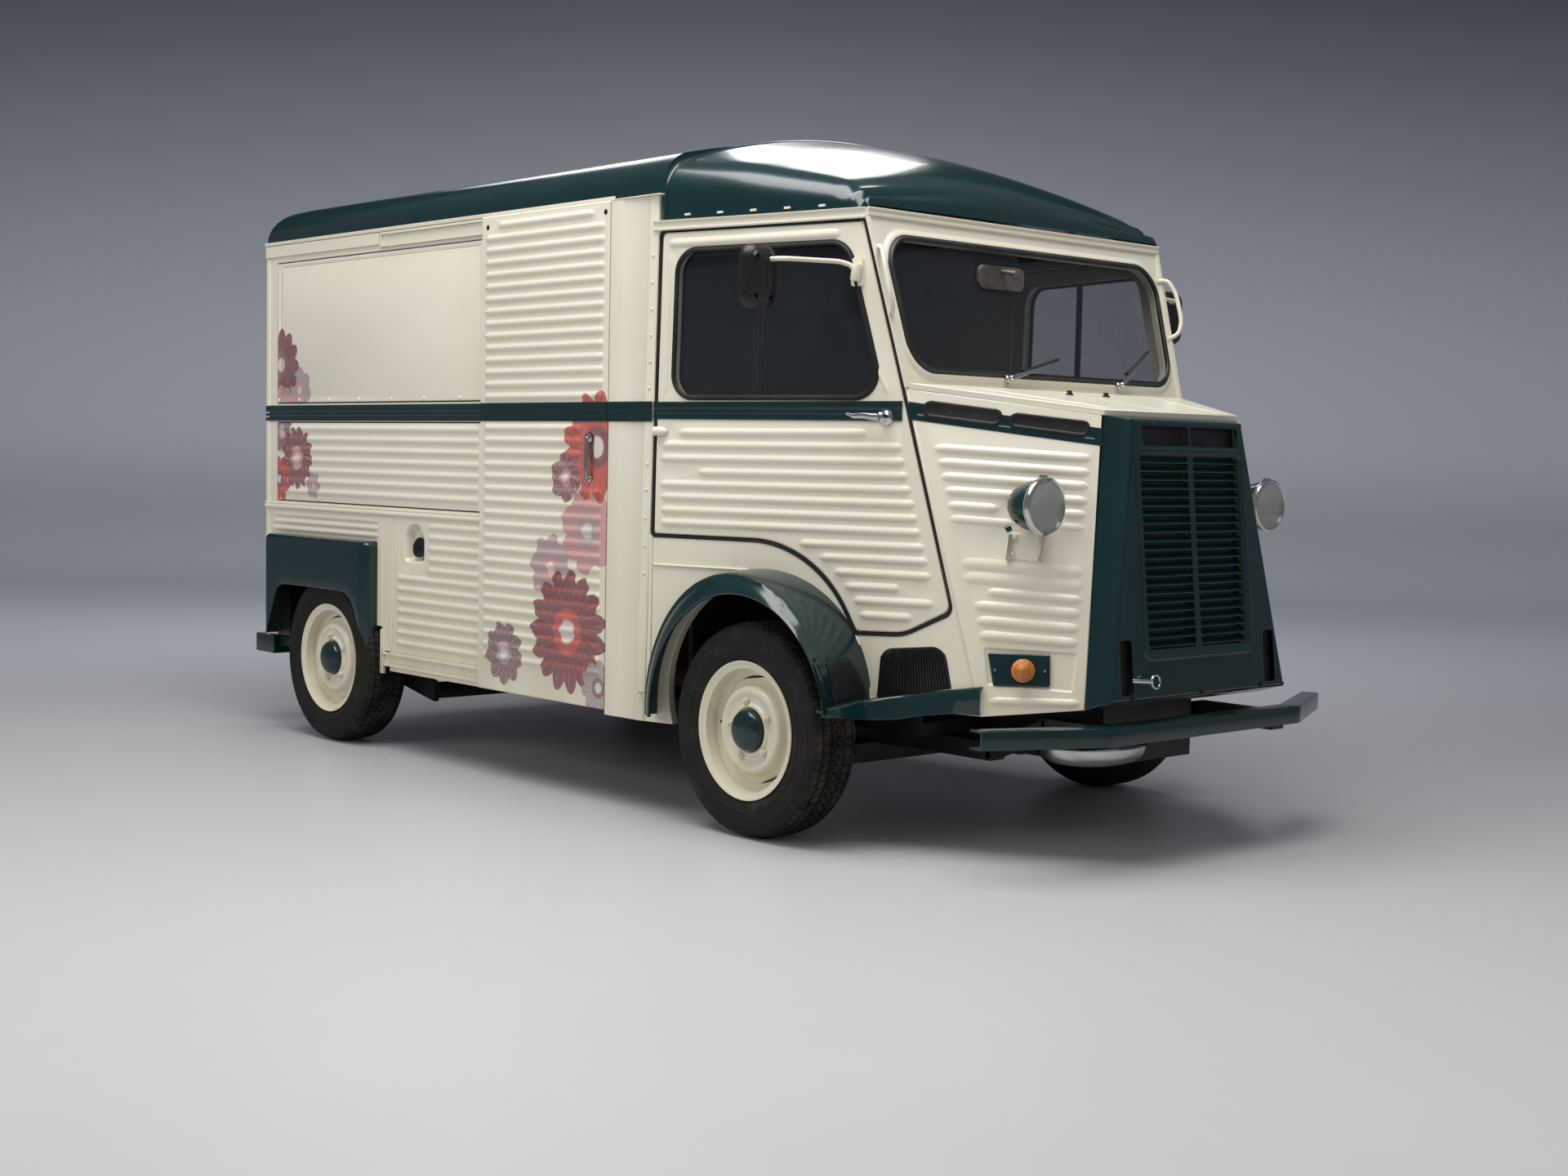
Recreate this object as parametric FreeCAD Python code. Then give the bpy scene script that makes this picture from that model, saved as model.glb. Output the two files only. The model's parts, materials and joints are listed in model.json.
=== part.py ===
import FreeCAD, Part
import math
import os

V = FreeCAD.Vector

# Frame: +X forward, +Y left, +Z up, millimetres, origin on the ground at the middle of the vehicle

# Wheels and axles
overallLength = 4260.0
noseX = overallLength / 2
rearBumperReach = 91.0
bodyRearX = -noseX + rearBumperReach
frontAxleX = noseX - 1066.0
rearAxleX = bodyRearX + 595.0
tyreRadius = 331.0
tyreWidth = 186.0
frontWheelY = 815.0
rearWheelY = 824.0
rimLipRadius = 216.0
rimSeatRadius = 196.0
rimWallThickness = 6.0
hubBoreRadius = 27.0
runningGap = 0.3
stubRadius = hubBoreRadius - runningGap
kingPinY = 775.0
steerClearRadius = 343.0
steerClearTopZ = 475.0

# Load body
loadFrontX = noseX - 1782.0
wallOuterY = 862.0
wallThickness = 25.0
wallInnerY = wallOuterY - wallThickness
sillBottomZ = 312.0
floorTopZ = 372.0
crossMemberShares = (0.058, 0.536, 0.77, 0.98)
railFrontX = noseX - 890.0
boardTopZ = floorTopZ + 4.0
boardHalfY = 665.0
boardMargin = 15.0
floorThickness = 40.0
wallTopZ = 1990.0
loadRoofCrownZ = 2225.0
loadRoofCrownRadius = 3300.0
loadRoofCornerRadius = 120.0
loadRoofEndRadius = 190.0
chassisBottomZ = 262.0
roofSkin = 25.0
gutterReach = 10.0
gutterHeight = 14.0

# Cab
cabRoofBaseZ = 1903.0
cabRoofRearX = noseX - 1540.0
sideStartX = noseX - 1571.0
sideStartY = 876.0
sideSlope = 0.2288
cabWallThickness = 30.0
pillarTopX = noseX - 793.0
pillarMidX = noseX - 640.0
pillarMidZ = 1372.0
pillarBottomX = noseX - 367.0
pillarBottomZ = 430.0
postFrontBottomX = noseX - 1581.0
postFrontTopX = noseX - 1550.0
postOuterY = 890.0
postFlatX = noseX - 1716.0
postBottomZ = 301.0
postTopZ = 1990.0
doorGap = 6.0

# Nose
shellRearTopX = noseX - 174.0
shellRearTopY = 326.0
shellRearTopZ = 1304.0
shellRearBottomX = noseX - 128.0
shellBottomZ = 462.0
shellFrontTopX = noseX - 118.0
shellFrontTopY = 271.0
shellFrontTopZ = 1298.0
shellFrontBottomX = noseX - 35.0
shellFrontBottomY = 431.0
shellFrontBottomZ = 486.0
shellWall = 20.0
louvreOuterY = 240.0
louvreInnerY = 13.0
louvreBottomZ = 632.0
louvreTopZ = 1190.0
louvreCount = 22
louvreThickness = 4.0
shellWindow = (6.0, 226.0, 1221.0, 1277.0)
shellSlot = (322.0, 378.0, 508.0, 664.0)
noseWall = 20.0

# Bumpers
bumperFrontX = noseX
bumperCornerY = 465.0
bumperEndX = noseX - 166.0
bumperEndY = 822.0
bumperTopZ = 427.0
bumperHeight = 55.0
bumperDepth = 60.0
bumperWall = 8.0

# Front fenders: round wheel opening, two shoulder sections and the root inside the cab side
archCentreX = frontAxleX - 3.0
archCentreZ = 340.0
archRadius = 405.0
archLip = 8.0
fenderSkin = 12.0
fenderLipY = 945.0
shoulderOuterY = 920.0
shoulderInnerY = 880.0
fenderRootY = 600.0
fenderRearFootZ = 330.0
fenderFrontFootZ = 452.0
fenderHubX = frontAxleX - 24.0
fenderHubZ = 380.0
rootCentreX = frontAxleX - 64.0
rootCentreZ = 436.0
rootRadius = 388.0
# Reach of each shoulder from the fender's hub, every 15 degrees from the rear foot over the wheel
shoulderOuter = (428, 421, 419, 421, 417, 414, 413, 409, 400, 399, 405, 409, 400)
shoulderInner = (448, 445, 447, 451, 448, 441, 433, 422, 413, 407, 401, 391, 378)
panelArchX = frontAxleX - 48.0
panelArchZ = 420.0
panelArchRadius = 372.0

# Rear fenders
rearFenderOuterY = 960.0
rearFenderFrontX = rearAxleX + 342.0
rearFenderBottomZ = 340.0
rearFenderTopZ = 798.0
rearFenderCorner = 75.0

# Sliding side door
slideDoorRearX = loadFrontX - 753.0
slideDoorFrontX = loadFrontX - 5.0
slideDoorBottomZ = 316.0
slideDoorTopZ = 1988.0
slideDoorInnerY = 876.0
slideDoorOuterY = 890.0
slideTravel = 685.0
slideLeverZ = 1150.0
slideLeverReach = 105.0
slideLeverInset = 138.0

# Serving hatch and counter flap
hatchRearX = bodyRearX + 88.0
hatchFrontX = slideDoorRearX - 25.0
hatchBottomZ = 1340.0
hatchTopZ = 1918.0
counterBottomZ = 941.0
counterTopZ = 1267.0
panelGap = 5.0
hingeRadius = 8.0
hingeSegment = 30.0

# Pressed ribs of the sheets
ribWidth = 30.0
ribHeight = 5.0
ribSlope = 8.0
ribEnd = 20.0
ribSink = 1.0
fenderRibWidth = 24.0
ribsUpperTopZ = 1952.0
ribsLowerTopZ = 1243.0
ribsUpperCount = 15
ribsLowerCount = 20



def box(x0, x1, y0, y1, z0, z1):
    return Part.makeBox(x1 - x0, y1 - y0, z1 - z0, V(x0, y0, z0))


def mirrored(shape):
    return shape.mirror(V(0, 0, 0), V(0, 1, 0))


def fused(shapes):
    if len(shapes) == 1:
        return shapes[0]
    return shapes[0].multiFuse(shapes[1:]).removeSplitter()


def prism(points, direction):
    wire = Part.makePolygon(points + [points[0]])
    return Part.Face(wire).extrude(direction)


def cylinder(radius, start, end):
    axis = V(*end).sub(V(*start))
    return Part.makeCylinder(radius, axis.Length, V(*start), axis)


def rib(start, end, outward, width=ribWidth):
    # Pressed rib: a low bar with sloping sides and ends, on a sheet's outer face
    along = end.sub(start)
    length = along.Length
    along.normalize()
    across = along.cross(outward)
    bar = Part.makeWedge(0, -ribSink, -width / 2, -width / 2 + ribSlope, ribEnd,
                         length, ribHeight, width / 2, width / 2 - ribSlope, length - ribEnd)
    bar.Placement = FreeCAD.Placement(FreeCAD.Matrix(along.x, outward.x, across.x, start.x,
                                                     along.y, outward.y, across.y, start.y,
                                                     along.z, outward.z, across.z, start.z, 0, 0, 0, 1))
    return bar


def level(x0, x1, y, heights, width=ribWidth):
    # Level ribs on an upright sheet that faces left or right
    outward = V(0, math.copysign(1, y), 0)
    return [rib(V(x0, y, z), V(x1, y, z), outward, width) for z in heights]


def steps(top, count, pitch=42.5):
    return [top - pitch * row for row in range(count)]


def hinged(fixed, moving, start, end, places, radius=hingeRadius):
    # Barrels on the axis from start to end: one on the moving piece between two on the fixed piece
    axis = V(*end).sub(V(*start)).normalize()

    def barrel(place, low, high, grow):
        foot = V(*start).add(V(axis).multiply(place + low))
        return Part.makeCylinder(radius + grow, high - low, foot, axis)

    half = hingeSegment / 2
    for place in places:
        inner = (-half, half)
        outers = ((-half - hingeSegment, -half - runningGap), (half + runningGap, half + hingeSegment))
        fixed = fixed.cut(barrel(place, -half - runningGap, half + runningGap, runningGap))
        moving = moving.fuse(barrel(place, inner[0], inner[1], 0))
        for low, high in outers:
            moving = moving.cut(barrel(place, low - runningGap, high + runningGap, runningGap))
            fixed = fixed.fuse(barrel(place, low, high, 0))
        moving = moving.fuse(barrel(place, inner[0], inner[1], 0))
    return fixed, moving


def roundedFace(corners, radii):
    # A flat polygon whose corners are rounded by tangent arcs
    count = len(corners)
    edges = []
    starts = []
    ends = []
    mids = []
    for index in range(count):
        point = corners[index]
        if radii[index] == 0:
            starts.append(point)
            ends.append(point)
            mids.append(point)
            continue
        toPrevious = corners[index - 1].sub(point).normalize()
        toNext = corners[(index + 1) % count].sub(point).normalize()
        half = toPrevious.getAngle(toNext) / 2
        reach = radii[index] / math.tan(half)
        centre = point.add(toPrevious.add(toNext).normalize().multiply(radii[index] / math.sin(half)))
        starts.append(point.add(V(toPrevious).multiply(reach)))
        ends.append(point.add(V(toNext).multiply(reach)))
        mids.append(centre.add(point.sub(centre).normalize().multiply(radii[index])))
    for index in range(count):
        if radii[index] > 0:
            edges.append(Part.Arc(starts[index], mids[index], ends[index]).toShape())
        following = (index + 1) % count
        if ends[index].distanceToPoint(starts[following]) > 0.001:
            edges.append(Part.LineSegment(ends[index], starts[following]).toShape())
    return Part.Face(Part.Wire(edges))


# Cab side plane: the right side, leaning inwards towards the nose


def sideY(x):
    return -(sideStartY - sideSlope * (x - sideStartX))


def onSide(x, z):
    return V(x, sideY(x), z)


def sideInward():
    length = math.hypot(1.0, sideSlope)
    return V(-sideSlope / length, 1.0 / length, 0)


def pillarX(z):
    # Leading edge of the cab side
    if z >= pillarMidZ:
        return pillarTopX + (cabRoofBaseZ - z) * (pillarMidX - pillarTopX) / (cabRoofBaseZ - pillarMidZ)
    return pillarMidX + (pillarMidZ - z) * (pillarBottomX - pillarMidX) / (pillarMidZ - pillarBottomZ)


def postX(z):
    # Front edge of the post behind the cab door
    return postFrontBottomX + (z - postBottomZ) * (postFrontTopX - postFrontBottomX) / (postTopZ - postBottomZ)


def sidePanel(corners, radii, thickness, outset=0.0):
    inward = sideInward()
    points = [onSide(x, z).sub(V(inward).multiply(outset)) for x, z in corners]
    return roundedFace(points, radii).extrude(V(inward).multiply(thickness + outset))


def beyondSide(offset):
    # Everything outside the right cab side plane, moved inwards by offset
    inward = V(sideInward()).multiply(offset)
    low = [V(x, sideY(x), 0).add(inward) for x in (sideStartX - 159, noseX - 230)]
    corners = [low[0], low[1], V(noseX - 230, -1400, 0), V(sideStartX - 159, -1400, 0)]
    return prism(corners, V(0, 0, 2400))


# Load body


def loadFloor():
    halfWidth = wallInnerY
    plate = box(bodyRearX + wallThickness, loadFrontX + 212, -halfWidth, halfWidth, floorTopZ - floorThickness, floorTopZ)
    cuts = []
    for side in (-1, 1):
        low, high = sorted((side * 690.0, side * 1000.0))
        cuts.append(box(rearHouseX0, rearHouseX1, low, high, 0, 1000))
    plate = plate.cut(cuts[0]).cut(cuts[1])
    rails = []
    for side in (-1, 1):
        low, high = sorted((side * 330.0, side * 400.0))
        rails.append(box(bodyRearX + 60, railFrontX, low, high, chassisBottomZ, floorTopZ - floorThickness))
    for share in crossMemberShares:
        x = bodyRearX + (loadFrontX - bodyRearX) * share
        rails.append(box(x, x + 60, -690, 690, 282, floorTopZ - floorThickness))
    board = box(bodyRearX + wallThickness + boardMargin, loadFrontX, -boardHalfY, boardHalfY, floorTopZ, boardTopZ)
    return fused([plate, board] + rails)


rearHouseX0 = rearAxleX - 410.0
rearHouseX1 = rearAxleX + 410.0
houseTopZ = 760.0
houseSkin = 15.0


def rearWheelHouse():
    outer = box(rearHouseX0, rearHouseX1, -wallInnerY, -675, floorTopZ, houseTopZ)
    inner = box(rearHouseX0 + houseSkin, rearHouseX1 - houseSkin, -wallInnerY - 1, -675 - houseSkin, 300, houseTopZ - houseSkin)
    return outer.cut(inner)


def wheelArchCut(margin):
    # Space for a rear wheel through the wall
    return box(rearHouseX0 + houseSkin + margin, rearHouseX1 - houseSkin - margin, -2000, 0, 200, houseTopZ - houseSkin - margin)


def rightWall():
    wall = box(bodyRearX + wallThickness, slideDoorRearX + 25, -wallOuterY, -wallInnerY, sillBottomZ, wallTopZ)
    wall = wall.cut(wheelArchCut(0))
    wall = wall.cut(box(hatchRearX, hatchFrontX, -900, -800, hatchBottomZ, hatchTopZ))
    wall = wall.cut(box(hatchRearX, hatchFrontX, -900, -800, counterBottomZ, counterTopZ))
    header = box(slideDoorRearX + 25, loadFrontX, -wallOuterY, -wallInnerY, 1925, wallTopZ)
    sill = box(slideDoorRearX + 25, loadFrontX, -wallOuterY, -wallInnerY, sillBottomZ, 390)
    ribs = level(bodyRearX + 50, rearAxleX + 330, -wallOuterY, (886, 857, 828), fenderRibWidth)
    ribs += level(slideDoorRearX - 380, slideDoorRearX - 25, -wallOuterY, steps(878, 4, 41))
    ribs += level(slideDoorRearX - 595, slideDoorRearX - 25, -wallOuterY, steps(675, 7, 41.3))
    return fused([wall, header, sill] + ribs)


def leftWall():
    wall = box(bodyRearX + wallThickness, loadFrontX, wallInnerY, wallOuterY, sillBottomZ, wallTopZ)
    first, last = bodyRearX + 55, loadFrontX - 28
    ribs = level(first, last, wallOuterY, steps(ribsUpperTopZ, ribsUpperCount))
    for z in steps(ribsLowerTopZ, ribsLowerCount):
        ribs += level(first if z > rearFenderTopZ + 20 else rearHouseX1 + 34, last, wallOuterY, [z])
    return fused([wall.cut(mirrored(wheelArchCut(0)))] + ribs)


rearOpenY = 660.0
rearOpenBottomZ = 385.0
rearOpenTopZ = 1890.0
rearSplitZ = 1330.0


def rearFrame():
    frame = box(bodyRearX, bodyRearX + wallThickness, -wallOuterY, wallOuterY, sillBottomZ, wallTopZ)
    return frame.cut(box(bodyRearX - 10, bodyRearX + 100, -rearOpenY, rearOpenY, rearOpenBottomZ, rearOpenTopZ))


def roofSection(x, halfWidth, baseZ, crownZ, crownRadius, cornerRadius):
    # Closed section: upright sides, rounded shoulders and a crowned top, all tangent
    crownCentreZ = crownZ - crownRadius
    reach = crownRadius - cornerRadius
    shoulderZ = crownCentreZ + math.sqrt(reach ** 2 - (halfWidth - cornerRadius) ** 2)
    direction = V(0, halfWidth - cornerRadius, shoulderZ - crownCentreZ).normalize()
    top = V(x, 0, crownCentreZ).add(V(direction).multiply(crownRadius))
    cornerCentre = V(x, halfWidth - cornerRadius, shoulderZ)
    bisector = direction.add(V(0, 1, 0)).normalize()
    middle = cornerCentre.add(bisector.multiply(cornerRadius))
    side = V(x, halfWidth, shoulderZ)
    base = V(x, halfWidth, baseZ)

    def flipped(point):
        return V(point.x, -point.y, point.z)

    edges = [
        Part.LineSegment(base, side).toShape(),
        Part.Arc(side, middle, top).toShape(),
        Part.Arc(top, V(x, 0, crownZ), flipped(top)).toShape(),
        Part.Arc(flipped(top), flipped(middle), flipped(side)).toShape(),
        Part.LineSegment(flipped(side), flipped(base)).toShape(),
        Part.LineSegment(flipped(base), base).toShape(),
    ]
    return Part.Wire(edges)


def loadRoofBody(inset, baseZ):
    section = roofSection(bodyRearX + inset, wallOuterY - inset, baseZ, loadRoofCrownZ - inset,
                          loadRoofCrownRadius - inset, loadRoofCornerRadius - inset)
    body = Part.Face(section).extrude(V(cabRoofRearX - bodyRearX, 0, 0))
    radius = loadRoofEndRadius - inset
    startX = bodyRearX + inset
    topZ = loadRoofCrownZ - inset
    endX = cabRoofRearX + 410
    outline = [
        Part.LineSegment(V(startX, -1000, baseZ), V(startX, -1000, topZ - radius)).toShape(),
        Part.Arc(V(startX, -1000, topZ - radius),
                 V(startX + radius * (1 - math.sqrt(0.5)), -1000, topZ - radius * (1 - math.sqrt(0.5))),
                 V(startX + radius, -1000, topZ)).toShape(),
        Part.LineSegment(V(startX + radius, -1000, topZ), V(endX, -1000, topZ)).toShape(),
        Part.LineSegment(V(endX, -1000, topZ), V(endX, -1000, baseZ)).toShape(),
        Part.LineSegment(V(endX, -1000, baseZ), V(startX, -1000, baseZ)).toShape(),
    ]
    profile = Part.Face(Part.Wire(outline)).extrude(V(0, 2000, 0))
    return body.common(profile)


def loadRoof():
    outer = loadRoofBody(0, wallTopZ)
    inner = loadRoofBody(roofSkin, wallTopZ - 20)
    inner = fused([inner, box(loadFrontX, cabRoofRearX + 50, -400, 400, wallTopZ - 20, wallTopZ - 5)])
    shell = outer.cut(inner)
    shell = shell.common(box(bodyRearX - 1, cabRoofRearX, -2000, 2000, wallTopZ, 3000))
    gutter = box(bodyRearX - gutterReach, loadFrontX, -wallOuterY - gutterReach, wallOuterY + gutterReach,
                 wallTopZ, wallTopZ + gutterHeight)
    gutter = gutter.cut(box(bodyRearX + 1, loadFrontX + 1, -wallOuterY + 1, wallOuterY - 1, wallTopZ - 1, wallTopZ + 100))
    return fused([shell, gutter])


cabRoofStations = (
    # distance from the roof's rear edge, crown height, crown radius, shoulder radius
    (0.0, 2248.0, 2350.0, 140.0),
    (110.0, 2226.0, 2350.0, 140.0),
    (260.0, 2194.0, 2400.0, 135.0),
    (410.0, 2152.0, 2500.0, 125.0),
    (530.0, 2112.0, 2800.0, 110.0),
    (630.0, 2068.0, 3500.0, 90.0),
    (700.0, 2018.0, 5000.0, 60.0),
    (740.0, 1964.0, 12000.0, 30.0),
    (756.0, 1920.0, 60000.0, 8.0),
)


def cabRoofBody(inset, baseZ, stations):
    wires = []
    for distance, crownZ, crownRadius, cornerRadius in stations:
        x = cabRoofRearX + distance
        halfWidth = -sideY(x) - inset
        corner = max(cornerRadius - inset, 4.0)
        wires.append(roofSection(x, halfWidth, baseZ, crownZ - inset, crownRadius, corner))
    return Part.makeLoft(wires, True, False)


def cabRoof():
    outer = cabRoofBody(0, cabRoofBaseZ, cabRoofStations)
    innerStations = [(distance - (0 if index else 10), crown, radius, corner)
                     for index, (distance, crown, radius, corner) in enumerate(cabRoofStations[:7])]
    inner = cabRoofBody(roofSkin, cabRoofBaseZ - 10, innerStations)
    return outer.cut(inner)


# Posts and cab shell


def doorPost():
    bottom = [V(loadFrontX, -wallInnerY, postBottomZ), V(loadFrontX, -postOuterY, postBottomZ),
              V(postFlatX, -postOuterY, postBottomZ), V(postFrontBottomX, sideY(postFrontBottomX), postBottomZ),
              V(postFrontBottomX, -wallInnerY, postBottomZ)]
    top = [V(p.x + (postFrontTopX - postFrontBottomX if p.x > postFlatX else 0), p.y, postTopZ) for p in bottom]
    top[3].y = sideY(postFrontTopX)
    wires = [Part.makePolygon(bottom + [bottom[0]]), Part.makePolygon(top + [top[0]])]
    return Part.makeLoft(wires, True, True)


# Cab door outline in x and z: rear top, rear bottom, then the seam over the wheel to the front
doorTopZ = 1870.0
doorRearGap = 14.0
doorFrontGap = 15.0
seamFlatZ = 909.0
seamCornerX = noseX - 941.0
seamRadius = 400.0
seamLowX = noseX - 793.0
seamLowZ = 646.0
seamSillX = noseX - 630.0
seamSillZ = 652.0
doorFrontLowX = noseX - 475.0
doorFrontLowZ = 728.0
doorThickness = 30.0


def doorOutline(shrink):
    top = doorTopZ - shrink
    rearTop = (postX(top) + doorRearGap + shrink, top)
    rearLow = (postX(seamFlatZ) + doorRearGap + shrink, seamFlatZ + shrink)
    arch = (seamCornerX + shrink / 2, seamFlatZ + shrink)
    low = (seamLowX + shrink / 2, seamLowZ + shrink)
    sill = (seamSillX, seamSillZ + shrink)
    front = (doorFrontLowX - shrink, doorFrontLowZ + shrink)
    mid = (pillarX(pillarMidZ) - doorFrontGap - shrink, pillarMidZ)
    frontTop = (pillarX(top) - doorFrontGap - shrink, top)
    corners = [rearTop, rearLow, arch, low, sill, front, mid, frontTop]
    radii = [20, 12, seamRadius, 14, 150, 30, 30, 20]
    return corners, radii


doorHingeLow = 1010.0
doorHingeHigh = 1640.0


def doorHinge():
    # The hinge line runs up the door's rear edge on the outer face
    low = onSide(postX(0) + doorRearGap, 0)
    high = onSide(postX(1000) + doorRearGap, 1000)
    return tuple(low), tuple(high)


windowRearX = noseX - 1488.0
windowTopZ = 1811.0
windowBottomZ = 1345.0
windowFrontGap = 68.0
windowCorner = 75.0


def windowOutline(grow):
    top = windowTopZ + grow
    bottom = windowBottomZ - grow
    corners = [(windowRearX - grow + 12, top), (windowRearX - grow, bottom),
               (pillarX(bottom) - doorFrontGap - windowFrontGap + grow, bottom),
               (pillarX(top) - doorFrontGap - windowFrontGap + grow, top)]
    return corners, [windowCorner + grow] * 4


# Rear and front end of each door rib: distance from the side's start, height
doorRibs = (
    (54, 1833, 697, 1836), (106, 1236, 803, 1241), (40, 1196, 926, 1200), (35, 1154, 936, 1158), (182, 1112, 949, 1116),
    (35, 1071, 960, 1075), (38, 1031, 973, 1034), (39, 989, 984, 992), (40, 949, 990, 951), (567, 904, 1000, 907),
    (640, 865, 1012, 868), (693, 823, 1024, 824), (732, 782, 930, 784), (763, 741, 1038, 744), (785, 698, 975, 700),
)


def cabDoor():
    corners, radii = doorOutline(doorGap / 2)
    panel = sidePanel(corners, radii, doorThickness)
    corners, radii = windowOutline(0)
    panel = panel.cut(sidePanel(corners, radii, doorThickness + 20, 20))
    outward = sideInward().multiply(-1)
    ribs = []
    for rearX, rearZ, frontX, frontZ in doorRibs:
        start, end = (onSide(sideStartX + x, z) for x, z in ((rearX, rearZ), (frontX, frontZ)))
        ribs.append(rib(start, end, outward))
    return fused([panel] + ribs)


glassThickness = 5.0
glassSetback = 12.0


def cabDoorGlass():
    corners, radii = windowOutline(-0.3)
    inward = sideInward()
    pane = sidePanel(corners, radii, glassThickness)
    pane.translate(V(inward).multiply(glassSetback))
    return pane


def cabSide():
    corners = [(postX(cabRoofBaseZ), cabRoofBaseZ), (postX(postBottomZ), postBottomZ),
               (panelArchX - panelArchRadius + 5, postBottomZ), (panelArchX - panelArchRadius + 5, pillarBottomZ),
               (pillarBottomX, pillarBottomZ), (pillarMidX, pillarMidZ), (pillarTopX, cabRoofBaseZ)]
    panel = sidePanel(corners, [0] * 7, cabWallThickness)
    corners, radii = doorOutline(-doorGap / 2)
    panel = panel.cut(sidePanel(corners, radii, cabWallThickness + 20, 20))
    arch = cylinder(panelArchRadius, (panelArchX, -1200, panelArchZ), (panelArchX, -400, panelArchZ))
    return panel.cut(arch).cut(doorPost())


# Windscreen: a flat frame that leans back between the cab sides


def screenPoint(y, z):
    lean = (pillarMidX - pillarTopX) / (cabRoofBaseZ - pillarMidZ)
    return V(pillarTopX + (cabRoofBaseZ - z) * lean, y, z)


def screenInward():
    lean = (pillarMidX - pillarTopX) / (cabRoofBaseZ - pillarMidZ)
    length = math.hypot(1.0, lean)
    return V(-1.0 / length, 0, -lean / length)


screenGlassTopHalf = 650.0
screenGlassBottomHalf = 624.0
screenGlassTopZ = 1828.0
screenGlassBottomZ = 1426.0
screenCorner = 95.0


def screenOutline(grow):
    topHalf = screenGlassTopHalf + grow
    bottomHalf = screenGlassBottomHalf + grow
    top = screenGlassTopZ + grow
    bottom = screenGlassBottomZ - grow
    corners = [screenPoint(-topHalf, top), screenPoint(topHalf, top), screenPoint(bottomHalf, bottom),
               screenPoint(-bottomHalf, bottom)]
    return roundedFace(corners, [screenCorner + grow] * 4)


def screenFrame():
    inward = screenInward()
    topY = -sideY(pillarTopX)
    midY = -sideY(pillarMidX)
    corners = [screenPoint(-topY, cabRoofBaseZ), screenPoint(topY, cabRoofBaseZ),
               screenPoint(midY, pillarMidZ), screenPoint(-midY, pillarMidZ)]
    panel = prism(corners, V(inward).multiply(cabWallThickness))
    surround = screenOutline(20)
    surround = surround.extrude(V(inward).multiply(-8))
    panel = fused([panel, surround])
    hole = screenOutline(0)
    hole.translate(V(inward).multiply(-20))
    panel = panel.cut(hole.extrude(V(inward).multiply(cabWallThickness + 60)))
    right = sidePanelKeep()
    return panel.cut(right).cut(mirrored(right))


def sidePanelKeep():
    # Room taken by the right cab side wall
    inward = sideInward()
    low, high = sideStartX - 159, noseX - 230
    corners = [onSide(low, 300), onSide(high, 300), onSide(high, 2000), onSide(low, 2000)]
    slab = prism([p.sub(V(inward).multiply(60)) for p in corners], V(inward).multiply(cabWallThickness + 60))
    return slab


def screenGlass():
    inward = screenInward()
    pane = screenOutline(-0.3)
    pane.translate(V(inward).multiply(10))
    return pane.extrude(V(inward).multiply(glassThickness))


# Cab floor with front wheel houses, firewall and engine hump
frontHouseX0 = frontAxleX - 372.0
frontHouseX1 = frontAxleX + 385.0
frontHouseY = 545.0
frontHouseTopZ = 800.0
firewallX = noseX - 668.0
humpY = 270.0
humpX = firewallX - 282.0
humpTopZ = 800.0


def cabInside(inset):
    # The space between the cab side walls
    inward = V(sideInward()).multiply(cabWallThickness + inset)
    rear = onSide(postX(postBottomZ), 0).add(inward)
    front = onSide(noseX - 330, 0).add(inward)
    corners = [V(rear.x, rear.y, 0), V(front.x, front.y, 0), V(front.x, -front.y, 0), V(rear.x, -rear.y, 0)]
    return prism(corners, V(0, 0, 2400))


def cabFloor():
    low = floorTopZ - floorThickness
    plate = box(loadFrontX + 212, firewallX, -900, 900, low, floorTopZ)
    hump = box(humpX, firewallX, -humpY, humpY, low, humpTopZ)
    body = fused([plate, hump])
    body = body.cut(box(humpX + houseSkin, firewallX + 5, -humpY + houseSkin, humpY - houseSkin, 0, humpTopZ - houseSkin))
    body = body.common(cabInside(0))
    for side in (-1, 1):
        start, end = sorted((side * (frontHouseY - houseSkin), side * 1000.0))
        body = body.cut(box(frontHouseX0, firewallX + 5, start, end, 0, frontHouseTopZ))
    return body


def frontWheelHouse():
    outer = box(frontHouseX0, firewallX, -1000, -frontHouseY + houseSkin, floorTopZ - floorThickness, frontHouseTopZ)
    inner = box(frontHouseX0 + houseSkin, firewallX + 5, -1001, -frontHouseY, 0, frontHouseTopZ - houseSkin)
    return outer.cut(inner).common(cabInside(0))


def firewall():
    plate = box(firewallX, firewallX + 20, -900, 900, pillarBottomZ, pillarMidZ - 20)
    plate = plate.cut(box(firewallX - 5, firewallX + 30, -humpY + houseSkin, humpY - houseSkin, 0, humpTopZ - houseSkin))
    cap = box(firewallX, pillarMidX, -900, 900, pillarMidZ - 40, pillarMidZ - 2)
    body = fused([plate, cap]).common(cabInside(0)).cut(screenFrame())
    for side in (-1, 1):
        low, high = sorted((side * frontHouseY, side * 1001.0))
        body = body.cut(box(firewallX - 5, firewallX + 30, low, high, 0, frontHouseTopZ - houseSkin))
    return body


# Nose


def noseCorners():
    # Right nose side: pillar line to the rear edge of the grille shell, in one plane
    upper = onSide(pillarMidX, pillarMidZ)
    lower = onSide(pillarBottomX, pillarBottomZ)
    front = V(shellRearTopX, -shellRearTopY, shellRearTopZ)
    normal = lower.sub(upper).cross(front.sub(upper)).normalize()
    if normal.y > 0:
        normal = normal.multiply(-1)
    # the lower front corner lies in the same plane, at the shell's foot
    z = shellBottomZ
    x = shellRearBottomX
    y = upper.y - (normal.x * (x - upper.x) + normal.z * (z - upper.z)) / normal.y
    return [upper, lower, V(x, y, z), front], normal


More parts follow.
